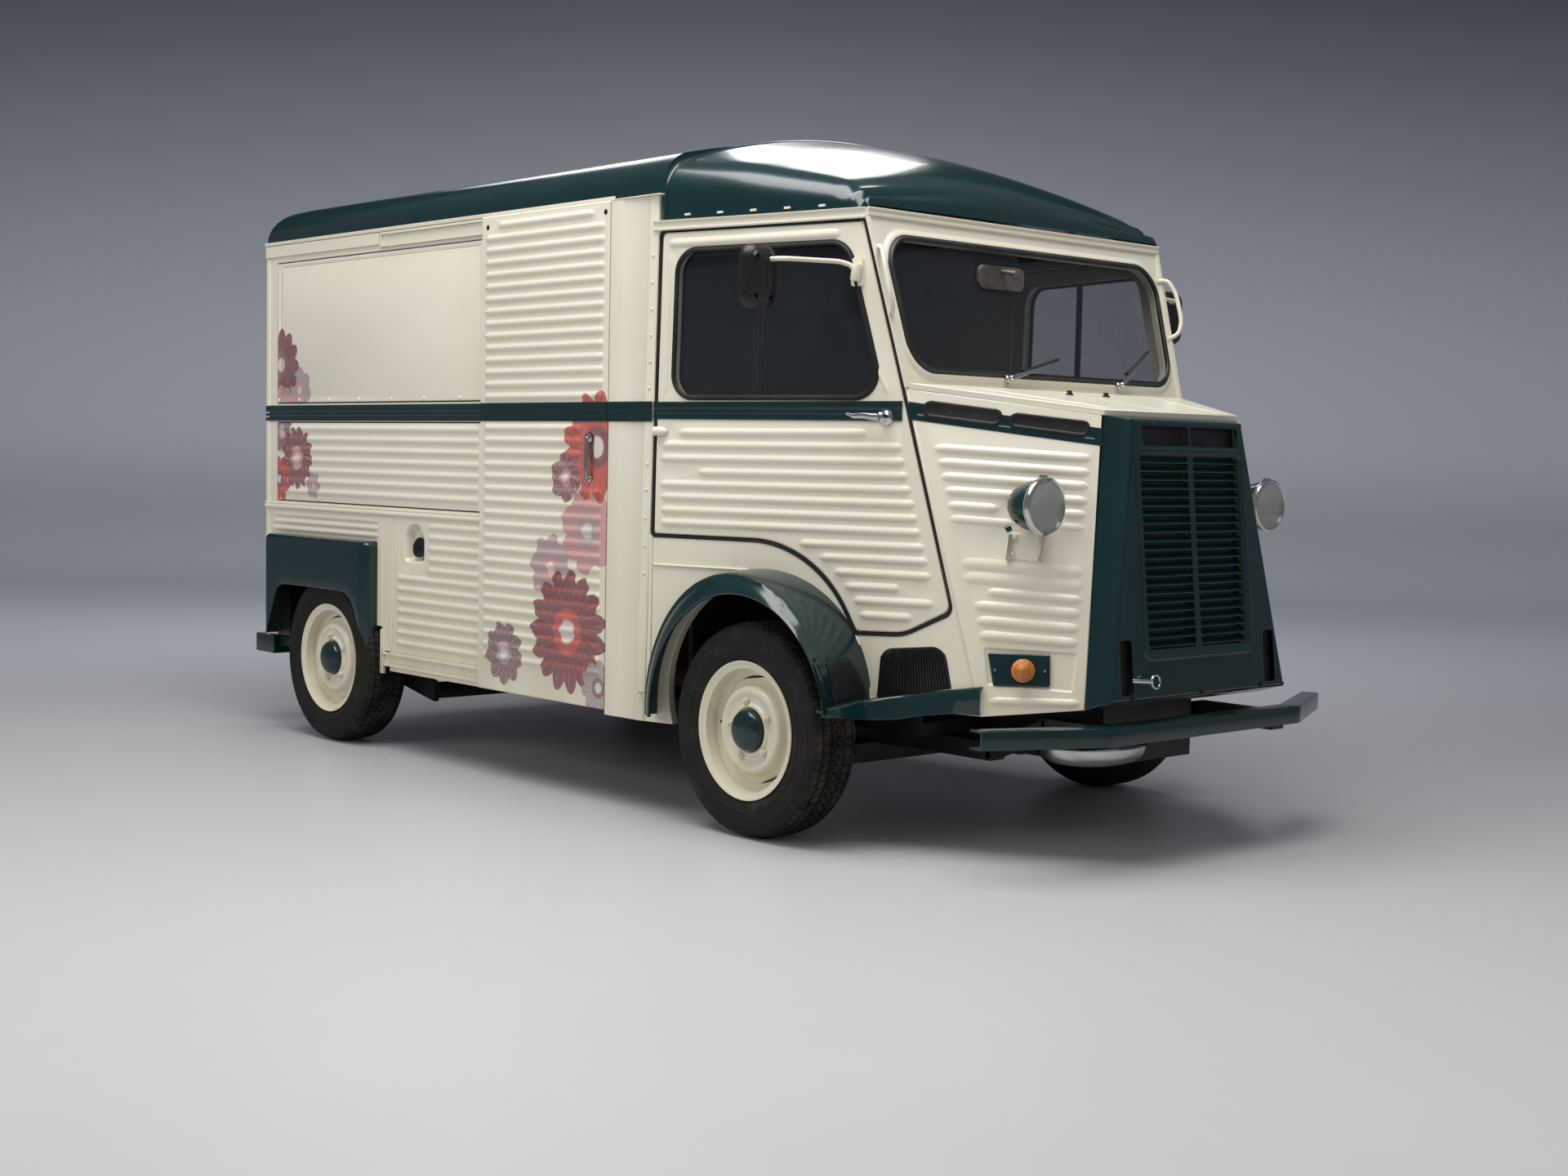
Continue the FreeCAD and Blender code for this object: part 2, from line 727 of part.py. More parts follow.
# Rear and front end of each nose rib: distance behind the vehicle's front, height
noseRibs = (
    (560, 1201, 186, 1179), (547, 1160, 185, 1138), (535, 1119, 183, 1099), (521, 1078, 345, 1068), (250, 1061, 181, 1056),
    (510, 1036, 380, 1028), (242, 1021, 180, 1017), (503, 997, 345, 986), (459, 870, 171, 852), (451, 829, 168, 811),
    (392, 789, 166, 773), (411, 749, 164, 734), (404, 706, 163, 691), (393, 664, 162, 650),
)


def noseSide():
    corners, normal = noseCorners()
    panel = prism(corners, V(normal).multiply(-noseWall)).cut(cabSide())
    upper = corners[0]

    def onNose(back, z):
        x = noseX - back
        return V(x, upper.y - (normal.x * (x - upper.x) + normal.z * (z - upper.z)) / normal.y, z)

    return fused([panel] + [rib(onNose(b0, z0), onNose(b1, z1), normal) for b0, z0, b1, z1 in noseRibs])


def grilleShell():
    corners, normal = noseCorners()
    footY = -corners[2].y
    rear = [V(shellRearTopX, -shellRearTopY, shellRearTopZ), V(shellRearTopX, shellRearTopY, shellRearTopZ),
            V(shellRearBottomX, footY, shellBottomZ), V(shellRearBottomX, -footY, shellBottomZ)]
    front = [V(shellFrontTopX, -shellFrontTopY, shellFrontTopZ), V(shellFrontTopX, shellFrontTopY, shellFrontTopZ),
             V(shellFrontBottomX, shellFrontBottomY, shellFrontBottomZ),
             V(shellFrontBottomX, -shellFrontBottomY, shellFrontBottomZ)]
    outer = Part.makeLoft([Part.makePolygon(rear + [rear[0]]), Part.makePolygon(front + [front[0]])], True, True)

    def shifted(points, inset, back):
        middleZ = (shellFrontTopZ + shellFrontBottomZ) / 2
        return [V(p.x - back, p.y - math.copysign(inset, p.y), p.z - math.copysign(inset, p.z - middleZ)) for p in points]

    innerRear = shifted(rear, shellWall, 30)
    innerFront = shifted(front, shellWall, shellWall)
    inner = Part.makeLoft([Part.makePolygon(innerRear + [innerRear[0]]),
                           Part.makePolygon(innerFront + [innerFront[0]])], True, True)
    shell = outer.cut(inner)
    for y0, y1, z0, z1 in (shellWindow, shellSlot, (louvreInnerY, louvreOuterY, louvreBottomZ, louvreTopZ)):
        opening = box(shellRearBottomX, noseX, y0, y1, z0, z1)
        shell = shell.cut(opening).cut(mirrored(opening))
    return fused([shell] + louvres())


def louvres():
    # Slats that slope back and up, across both columns and the bar between them
    slats = []
    slope = (shellFrontBottomX - shellFrontTopX) / (shellFrontTopZ - shellFrontBottomZ)
    pitch = (louvreTopZ - louvreBottomZ) / louvreCount
    for row in range(louvreCount):
        z = louvreBottomZ + pitch * (row + 0.3)
        x = shellFrontBottomX - (z - shellFrontBottomZ) * slope - 2
        profile = [V(x, -louvreOuterY - 2, z), V(x - 15, -louvreOuterY - 2, z + 13),
                   V(x - 15, -louvreOuterY - 2, z + 13 + louvreThickness), V(x, -louvreOuterY - 2, z + louvreThickness)]
        slats.append(prism(profile, V(0, 2 * louvreOuterY + 4, 0)))
    return slats


bonnetThickness = 18.0
bonnetGap = 8.0
bonnetHingeX = pillarMidX + 3.0
bonnetHingeZ = pillarMidZ + 12.0


def bonnet():
    rearX = pillarMidX + bonnetGap
    corners, normal = noseCorners()
    rearY = -corners[0].y - 4
    frontY = shellRearTopY - 2
    top = [V(rearX, -rearY, pillarMidZ + bonnetThickness), V(shellRearTopX, -frontY, shellRearTopZ + bonnetThickness),
           V(shellRearTopX, frontY, shellRearTopZ + bonnetThickness), V(rearX, rearY, pillarMidZ + bonnetThickness)]
    return prism(top, V(0, 0, -bonnetThickness + runningGap))


# Bumpers


def bumperOutline(inset):
    return [(bumperEndX - inset * 0.9, -bumperEndY + inset * 0.2), (bumperFrontX - inset, -bumperCornerY + inset * 0.35),
            (bumperFrontX - inset, bumperCornerY - inset * 0.35), (bumperEndX - inset * 0.9, bumperEndY - inset * 0.2)]


def frontBumper():
    low = bumperTopZ - bumperHeight
    outer = bumperOutline(0)
    inner = bumperOutline(bumperDepth)
    ring = [V(x, y, low) for x, y in outer] + [V(x, y, low) for x, y in reversed(inner)]
    body = prism(ring, V(0, 0, bumperHeight))
    outerPocket = bumperOutline(bumperWall)
    innerPocket = bumperOutline(bumperDepth + 5)
    pocket = [V(x, y, low + bumperWall) for x, y in outerPocket] + [V(x, y, low + bumperWall) for x, y in reversed(innerPocket)]
    body = body.cut(prism(pocket, V(0, 0, bumperHeight - 2 * bumperWall)))
    arms = []
    for side in (-1, 1):
        low2, high2 = sorted((side * 330.0, side * 400.0))
        arms.append(box(railFrontX, bumperFrontX - bumperDepth, low2, high2, chassisBottomZ, 325))
        arms.append(box(bumperFrontX - bumperDepth - 30, bumperFrontX - bumperWall - 8, low2, high2, chassisBottomZ + 30, low + bumperWall))
    return fused([body] + arms)


def rearBumper():
    corners = []
    for side in (-1, 1):
        low, high = sorted((side * 690.0, side * 868.0))
        block = box(-overallLength / 2, bodyRearX, low, high, 300, 376)
        arm = box(bodyRearX, bodyRearX + 60, low, high, 300, sillBottomZ)
        corners.append(block.fuse(arm))
    return Part.makeCompound([fused([c]) for c in corners])


# Fenders


def circleReach(angle, centreX, centreZ, radius):
    # Distance from the fender's hub to a circle, along a ray at the angle
    offsetX = fenderHubX - centreX
    offsetZ = fenderHubZ - centreZ
    along = offsetX * math.cos(angle) + offsetZ * math.sin(angle)
    return -along + math.sqrt(along ** 2 - offsetX ** 2 - offsetZ ** 2 + radius ** 2)


def fenderLoft(inset):
    # Ruled skin through the lip, two shoulders and the root
    angles = [math.radians(180 - 15 * step) for step in range(len(shoulderOuter))]
    lip = [circleReach(angle, archCentreX, archCentreZ, archRadius + archLip) for angle in angles]
    root = [circleReach(angle, rootCentreX, rootCentreZ, rootRadius) for angle in angles]
    if inset > 0:
        lip = [(near + far) / 2 for near, far in zip(lip, shoulderOuter)]
    stations = ((fenderLipY - inset, lip), (shoulderOuterY - inset / 2, shoulderOuter),
                (shoulderInnerY - inset / 2, shoulderInner), (fenderRootY, root))
    wires = []
    for y, reaches in stations:
        points = [V(fenderHubX + (reach - inset) * math.cos(angle), -y, fenderHubZ + (reach - inset) * math.sin(angle))
                  for angle, reach in zip(angles, reaches)]
        curve = Part.BSplineCurve()
        curve.interpolate(points)
        footFront = V(points[-1].x, -y, fenderRearFootZ - 40)
        footRear = V(points[0].x, -y, fenderRearFootZ - 40)
        wires.append(Part.Wire([curve.toShape(), Part.LineSegment(points[-1], footFront).toShape(),
                                Part.LineSegment(footFront, footRear).toShape(),
                                Part.LineSegment(footRear, points[0]).toShape()]))
    return Part.makeLoft(wires, True, True)


def valance():
    # Plate from the fender's front foot to the nose, with a ledge back to the cab side
    start = V(archCentreX + 428, -fenderLipY, 0)
    end = V(pillarBottomX, sideY(pillarBottomX), 0)
    along = end.sub(start)
    length = along.Length
    along.normalize()
    inward = V(-along.y, along.x, 0)
    outline = [(0, 426), (0.3, 424), (0.57, 443), (0.76, 453), (1, 440), (1, 520), (0.9, 519), (0.57, 502), (0.28, 476),
               (0, fenderFrontFootZ)]

    def plate(back, drop, foot):
        points = [start.add(V(along).multiply(s * length)).add(V(inward).multiply(back)).add(V(0, 0, z - drop))
                  for s, z in outline[5:]]
        if foot:
            points += [V(points[-1].x, points[-1].y, foot), V(points[0].x, points[0].y, foot)]
        else:
            points += [start.add(V(along).multiply(s * length)).add(V(0, 0, z)) for s, z in outline[:5]]
        return prism(points, V(inward).multiply(400))

    return plate(0, 0, 0).cut(plate(8, 8, 300))


def frontFender():
    shell = fenderLoft(0).cut(fenderLoft(fenderSkin))
    shell = shell.cut(cylinder(archRadius, (archCentreX, -fenderLipY - 1, archCentreZ),
                               (archCentreX, -fenderLipY + 45, archCentreZ)))
    shell = shell.cut(box(loadFrontX, 3000, -1200, 0, 0, fenderRearFootZ))
    shell = shell.cut(box(archCentreX, 3000, -1200, 0, 0, fenderFrontFootZ - 16))
    body = fused([shell, valance().cut(fenderLoft(0))]).common(beyondSide(0))
    # room for the steered wheel
    return body.cut(cylinder(steerClearRadius, (frontAxleX, -kingPinY, 300), (frontAxleX, -kingPinY, steerClearTopZ)))


def rearFender():
    x0 = bodyRearX
    x1 = rearFenderFrontX
    inset = 24.0
    shells = []
    for gap, corner, bottom in ((0, rearFenderCorner, rearFenderBottomZ), (inset, rearFenderCorner - inset, rearFenderBottomZ - 1)):
        rootY = -wallOuterY + (1 if gap else 0)
        plan = [V(x0 + gap, rootY, bottom), V(x0 + gap, -rearFenderOuterY + gap, bottom),
                V(x1 - gap, -rearFenderOuterY + gap, bottom), V(x1 - gap, rootY, bottom)]
        shells.append(roundedFace(plan, [0, corner, corner, 0]).extrude(V(0, 0, rearFenderTopZ - gap - bottom)))
    arch = [(rearAxleX - 296, 250), (rearAxleX - 291, 606), (rearAxleX + 229, 606), (rearAxleX + 284, 250)]
    lowX = rearAxleX - 291
    archFace = roundedFace([V(x, -1000, z) for x, z in arch], [0, 90, 110, 0])
    low = prism([V(x0 - 10, -1000, 250), V(x0 - 10, -1000, 495), V(lowX, -1000, 495), V(lowX, -1000, 250)], V(0, 140, 0))
    wheel = cylinder(tyreRadius + 5.5, (rearAxleX, -rearWheelY - tyreWidth / 2 - 6, tyreRadius), (rearAxleX, -700, tyreRadius))
    return shells[0].cut(shells[1]).cut(archFace.extrude(V(0, 140, 0))).cut(low).cut(wheel)


# Lamps
lampX = noseX - 198.0
lampY = 546.0
lampZ = 1041.0
lampRadius = 84.0


def headlamp():
    # Bowl turned about its own axis, with a rim, and a stalk back to the nose side
    depth = 125.0
    profile = [V(-14, 0, lampRadius - 8), V(0, 0, lampRadius), V(8, 0, lampRadius), V(8, 0, lampRadius - 6)]
    edges = [
        Part.LineSegment(V(-depth, 0, 0), V(-depth, 0, 18)).toShape(),
        Part.Arc(V(-depth, 0, 18), V(-78, 0, 60), profile[0]).toShape(),
        Part.LineSegment(profile[0], profile[1]).toShape(),
        Part.LineSegment(profile[1], profile[2]).toShape(),
        Part.LineSegment(profile[2], profile[3]).toShape(),
        Part.LineSegment(profile[3], V(0, 0, lampRadius - 8)).toShape(),
        Part.LineSegment(V(0, 0, lampRadius - 8), V(0, 0, 0)).toShape(),
        Part.LineSegment(V(0, 0, 0), V(-depth, 0, 0)).toShape(),
    ]
    bowl = Part.Face(Part.Wire(edges)).revolve(V(0, 0, 0), V(1, 0, 0), 360)
    bowl.translate(V(lampX, -lampY, lampZ))
    corners, normal = noseCorners()
    foot = V(lampX - 70, -lampY, lampZ - 120)
    distance = foot.sub(corners[0]).dot(normal)
    wallPoint = foot.sub(V(normal).multiply(distance))
    stalk = cylinder(14, (lampX - 60, -lampY, lampZ - 50), (foot.x, foot.y, foot.z))
    arm = cylinder(14, (foot.x, foot.y, foot.z), (wallPoint.x, wallPoint.y, wallPoint.z))
    knee = Part.makeSphere(14, foot)
    return fused([bowl, stalk, arm, knee])


def headlampLens():
    radius = lampRadius - 9
    bulge = 21.0
    edgeDepth = 6.0
    sphere = (radius ** 2 + bulge ** 2) / (2 * bulge)
    disc = Part.makeCylinder(radius, edgeDepth + bulge, V(runningGap, 0, 0), V(1, 0, 0))
    ball = Part.makeSphere(sphere, V(runningGap + edgeDepth + bulge - sphere, 0, 0))
    lens = disc.common(ball)
    lens.translate(V(lampX, -lampY, lampZ))
    return lens


def indicator():
    corners, normal = noseCorners()
    centre = V(noseX - 280, -518, 567)
    centre = centre.sub(V(normal).multiply(centre.sub(corners[0]).dot(normal)))
    base = cylinder(46, tuple(centre), tuple(centre.add(V(normal).multiply(14))))
    lens = cylinder(34, tuple(centre.add(V(normal).multiply(14))), tuple(centre.add(V(normal).multiply(50))))
    return fused([base, lens])


def tailLamp():
    return fused([cylinder(45, (bodyRearX, -760, 640), (bodyRearX - 35, -760, 640)),
                  cylinder(32, (bodyRearX - 34, -760, 640), (bodyRearX - 48, -760, 640))])


# Doors and flaps of the load body


def slidingDoor():
    panel = box(slideDoorRearX, slideDoorFrontX, -slideDoorOuterY, -slideDoorInnerY, slideDoorBottomZ, slideDoorTopZ)
    shoes = []
    face = -wallOuterY - railDepth - runningGap
    for x in (slideDoorRearX + 25, slideDoorFrontX - 65):
        for z in (1940, 338):
            shoes.append(box(x, x + 40, -slideDoorInnerY - 1, face, z, z + 36))
    first, last = slideDoorRearX + 22, slideDoorFrontX - 18
    ribs = level(first, last, -slideDoorOuterY, steps(ribsUpperTopZ, ribsUpperCount))
    for z in steps(ribsLowerTopZ, ribsLowerCount):
        end = last if abs(z - slideLeverZ) > slideLeverReach else slideDoorFrontX - slideLeverInset
        ribs += level(first, end, -slideDoorOuterY, [z])
    return fused([panel] + shoes + ribs)


railDepth = 11.0


def doorRails():
    upper = box(slideDoorRearX - slideTravel - 32, slideDoorFrontX, -wallOuterY - railDepth, -wallOuterY, 1932, 1986)
    lower = box(slideDoorRearX - slideTravel + 5, slideDoorFrontX, -wallOuterY - railDepth, -wallOuterY, 331, 384)
    return Part.makeCompound([upper, lower])


def servingHatch():
    return box(hatchRearX + panelGap, hatchFrontX - panelGap, -wallOuterY - 3, -wallInnerY, hatchBottomZ + panelGap,
               hatchTopZ - panelGap)


def counterFlap():
    panel = box(hatchRearX + panelGap, hatchFrontX - panelGap, -wallOuterY - 3, -wallInnerY, counterBottomZ + panelGap,
                counterTopZ - panelGap)
    return fused([panel] + level(hatchRearX + 31, hatchFrontX - 11, -wallOuterY - 3, steps(1238, 7)))


def rearTopFlap():
    flap = box(bodyRearX, bodyRearX + wallThickness, -rearOpenY + panelGap, rearOpenY - panelGap,
               rearSplitZ + panelGap / 2, rearOpenTopZ - panelGap)
    corners = [V(bodyRearX - 5, -430, 1450), V(bodyRearX - 5, 430, 1450), V(bodyRearX - 5, 430, 1800), V(bodyRearX - 5, -430, 1800)]
    hole = roundedFace(corners, [60] * 4).extrude(V(60, 0, 0))
    return flap.cut(hole)


def rearFlapGlass():
    x = bodyRearX + 10
    inset = 0.3
    corners = [V(x, -430 + inset, 1450 + inset), V(x, 430 - inset, 1450 + inset), V(x, 430 - inset, 1800 - inset),
               V(x, -430 + inset, 1800 - inset)]
    return roundedFace(corners, [60] * 4).extrude(V(glassThickness, 0, 0))


def rearDoorRight():
    return box(bodyRearX, bodyRearX + wallThickness, -rearOpenY + panelGap, -panelGap / 2, rearOpenBottomZ + panelGap,
               rearSplitZ - panelGap / 2)


# Wheels


def turned(points, centreX, centreY, centreZ):
    # Points are (across, radius) pairs, turned about the wheel's axle
    wire = Part.makePolygon([V(0, a, r) for a, r in points] + [V(0, points[0][0], points[0][1])])
    shape = Part.Face(wire).revolve(V(0, 0, 0), V(0, 1, 0), 360)
    shape.translate(V(centreX, centreY, centreZ))
    return shape


def tyre(x, y):
    half = tyreWidth / 2
    seat = rimSeatRadius + 0.3
    points = [(-half * 0.72, seat), (-half * 0.86, rimLipRadius + 4), (-half, rimLipRadius + 52), (-half * 0.95, tyreRadius - 42),
              (-half * 0.84, tyreRadius - 18), (-half * 0.66, tyreRadius - 3), (-half * 0.4, tyreRadius),
              (half * 0.4, tyreRadius), (half * 0.66, tyreRadius - 3), (half * 0.84, tyreRadius - 18),
              (half * 0.95, tyreRadius - 42), (half, rimLipRadius + 52), (half * 0.86, rimLipRadius + 4), (half * 0.72, seat),
              (half * 0.60, seat), (half * 0.62, rimLipRadius + 30), (half * 0.5, tyreRadius - 22), (-half * 0.5, tyreRadius - 22),
              (-half * 0.62, rimLipRadius + 30), (-half * 0.60, seat)]
    return turned(points, x, y, tyreRadius)


def rim(x, y, side):
    # The side is -1 on the right: the disc and hub face outwards
    half = tyreWidth / 2
    lip = half * 0.90
    seat = rimSeatRadius
    well = seat - 26
    wall = rimWallThickness
    points = [(-lip, seat + 18), (-half * 0.78, seat + 8), (-half * 0.72, seat), (-half * 0.30, seat), (-half * 0.22, well),
              (half * 0.22, well), (half * 0.30, seat), (half * 0.72, seat), (half * 0.78, seat + 8), (lip, seat + 18),
              (lip, seat + 18 - wall), (half * 0.84, seat + 3), (half * 0.81, seat - wall), (half * 0.34, seat - wall),
              (half * 0.26, well - wall), (-half * 0.26, well - wall), (-half * 0.34, seat - wall), (-half * 0.81, seat - wall),
              (-half * 0.84, seat + 3), (-lip, seat + 18 - wall)]
    barrel = turned([(a, r) for a, r in points], x, y, tyreRadius)
    out = side
    disc = turned([(out * 22, well - wall + 1), (out * 12, well - wall + 1), (out * 26, 130), (out * 52, 122), (out * 50, 70), (out * 40, 60),
                   (out * 40, hubBoreRadius), (out * 48, hubBoreRadius), (out * 48, 58), (out * 58, 68), (out * 60, 128), (out * 34, 138)],
                  x, y, tyreRadius)
    cap = turned([(out * 47, 0), (out * 47, 46), (out * 66, 46), (out * 80, 40), (out * 90, 24), (out * 93, 0)], x, y, tyreRadius)
    return fused([barrel, disc, cap])


# Axles and knuckles


knucklePinRadius = 18.0
knuckleHalf = 95.0
drumRadius = 88.0
rearDrumRadius = 110.0
axleBeamBottomZ = 200.0


def knuckle():
    # Right knuckle: king pin, brake drum and the stub that carries the wheel
    pin = cylinder(knucklePinRadius, (frontAxleX, -kingPinY, tyreRadius - knuckleHalf + runningGap),
                   (frontAxleX, -kingPinY, tyreRadius + knuckleHalf - runningGap))
    stub = cylinder(stubRadius, (frontAxleX, -kingPinY, tyreRadius), (frontAxleX, -frontWheelY - 44, tyreRadius))
    drum = cylinder(drumRadius, (frontAxleX, -kingPinY - 18, tyreRadius), (frontAxleX, -kingPinY - 60, tyreRadius))
    boss = cylinder(45, (frontAxleX, -kingPinY + 30, tyreRadius), (frontAxleX, -kingPinY - 20, tyreRadius))
    return fused([pin, boss, stub, drum])


def frontAxle():
    beam = box(frontAxleX - 60, frontAxleX + 60, -600, 600, axleBeamBottomZ, 262)
    parts = [beam]
    for side in (-1, 1):
        for z0, z1 in ((tyreRadius - knuckleHalf - 26, tyreRadius - knuckleHalf),
                       (tyreRadius + knuckleHalf, tyreRadius + knuckleHalf + 26)):
            low, high = sorted((side * 556.0, side * (kingPinY + 12)))
            parts.append(box(frontAxleX - 22, frontAxleX + 22, low, high, z0, z1))
        low, high = sorted((side * 556.0, side * 600.0))
        parts.append(box(frontAxleX - 50, frontAxleX + 50, low, high, axleBeamBottomZ, tyreRadius + knuckleHalf + 26))
    return fused(parts)


rearTubeRadius = 32.0
rearTubeX = rearAxleX + 440.0


def rearAxle():
    tubeZ = chassisBottomZ - rearTubeRadius
    tube = cylinder(rearTubeRadius, (rearTubeX, -706, tubeZ), (rearTubeX, 706, tubeZ))
    parts = [tube]
    for side in (-1, 1):
        low, high = sorted((side * 692.0, side * 714.0))
        parts.append(prism([V(rearTubeX + 35, low, tubeZ - 38), V(rearTubeX + 35, low, tubeZ + 38), V(rearAxleX, low, 375),
                            V(rearAxleX - 50, low, 365), V(rearAxleX - 50, low, 290)], V(0, high - low, 0)))
        parts.append(cylinder(stubRadius, (rearAxleX, side * 700, tyreRadius), (rearAxleX, side * (rearWheelY + 44), tyreRadius)))
        parts.append(cylinder(rearDrumRadius, (rearAxleX, side * 712, tyreRadius), (rearAxleX, side * 770, tyreRadius)))
        low, high = sorted((side * 440.0, side * 500.0))
        parts.append(box(rearTubeX - 30, rearTubeX + 30, low, high, tubeZ, floorTopZ - floorThickness))
    return fused(parts)


# Cab interior and machinery


seatRearX = loadFrontX + 272.0
seatY = 410.0
seatBottomZ = 804.0
seatTopZ = 925.0


def seats():
    made = []
    for side in (-1, 1):
        centre = side * seatY
        cushion = box(seatRearX, seatRearX + 440, centre - 225, centre + 225, seatBottomZ, seatTopZ)
        made.append(cushion)
    bases = []
    for cushion, side in zip(made, (-1, 1)):
        centre = side * seatY
        back = prism([V(seatRearX, centre - 225, 880), V(seatRearX + 70, centre - 225, 880),
                      V(seatRearX, centre - 225, 1350), V(seatRearX - 50, centre - 225, 1350),
                      V(seatRearX - 40, centre - 225, 880)], V(0, 450, 0))
        stand = box(seatRearX - 20, seatRearX + 60, centre - 150, centre + 100, floorTopZ, seatBottomZ + 10)
        bases.append(fused([cushion, back, stand]))
    return Part.makeCompound(bases)


def dashboard():
    return box(firewallX - 67, firewallX, -600, 600, 1180, 1300)


wheelCentre = V(noseX - 980, 400, 1190)


def steeringWheel():
    axis = V(0.55, 0, -0.835).normalize()
    ring = Part.makeTorus(215, 13, wheelCentre, axis)
    hub = cylinder(38, tuple(wheelCentre.sub(V(axis).multiply(15))), tuple(wheelCentre.add(V(axis).multiply(35))))
    foot = wheelCentre.add(V(axis).multiply(640))
    column = cylinder(22, tuple(wheelCentre), tuple(foot))
    across = V(0, 1, 0)
    other = V(axis).cross(across).normalize()
    spokes = []
    for turn in (90, 210, 330):
        direction = V(across).multiply(math.cos(math.radians(turn))).add(V(other).multiply(math.sin(math.radians(turn))))
        end = wheelCentre.add(direction.multiply(212))
        spokes.append(cylinder(8, tuple(wheelCentre.add(V(axis).multiply(10))), tuple(end)))
    column2 = column.common(box(loadFrontX, firewallX, -2000, 2000, 0, 3000))
    return fused([ring, hub, column2] + spokes)


def engineBlock():
    block = box(firewallX - 247, noseX - 230, -215, 215, 268, 745)
    foot = box(noseX - 530, noseX - 450, -330, 330, 285, 320)
    return fused([block, foot])


wiperPivotZ = 1414.0


def wipers():
    made = []
    inward = screenInward()
    for y in (-217.0, 327.0):
        tip = screenPoint(y - 330, 1500).sub(V(inward).multiply(22))
        foot = screenPoint(y, wiperPivotZ)
        knob = cylinder(9, tuple(foot.sub(V(inward).multiply(8.0))), tuple(foot.sub(V(inward).multiply(21))))
        arm = cylinder(5, tuple(foot.sub(V(inward).multiply(15))), tuple(tip))
        made.append(fused([knob, arm]))
    return Part.makeCompound(made)


def grabHandle():
    # Bent tube on the right screen pillar
    inward = screenInward()
    path = [(-680.0, 1600.0, 0.0), (-712.0, 1610.0, 34.0), (-712.0, 1765.0, 34.0), (-684.0, 1775.0, 0.0)]
    points = [screenPoint(y, z).sub(V(inward).multiply(out)) for y, z, out in path]
    parts = [cylinder(8, tuple(a), tuple(b)) for a, b in zip(points, points[1:])]
    parts += [Part.makeSphere(8, p) for p in points[1:-1]]
    return fused(parts).cut(cabSide()).cut(screenFrame())


# Mirror on the door
mirrorY = 985.0


def mirror():
    foot = onSide(noseX - 824, 1724)
    head = V(noseX - 935, -mirrorY + 20, 1690)
    arm = cylinder(8, tuple(foot), (foot.x, foot.y - 40, foot.z))
    reach = cylinder(8, (foot.x, foot.y - 40, foot.z), (head.x, head.y, foot.z + 20))
    corners = [V(head.x - 20, -mirrorY - 65, 1595), V(head.x - 20, -mirrorY - 65, 1785), V(head.x - 20, -mirrorY + 65, 1785),
               V(head.x - 20, -mirrorY + 65, 1595)]
    plate = roundedFace(corners, [40] * 4).extrude(V(42, 0, 0))
    knob = Part.makeSphere(12, V(foot.x, foot.y - 40, foot.z))
    return fused([arm, reach, knob, plate]).cut(cabDoor())


def export(name, shape):
    solids = shape.Solids
    if not shape.isValid() or not solids:
        print("BAD", name, shape.ShapeType, len(solids))
    if len(solids) == 1:
        shape = solids[0]
    shape.exportStep("parts/" + name + ".step")
    print(name, "solids", len(solids), "litres", round(shape.Volume / 1e6, 2))


def pair(name, shape):
    export(name + "_right", shape)
    export(name + "_left", mirrored(shape))


def joined(name, shape):
    export(name, Part.makeCompound([shape, mirrored(shape)]))


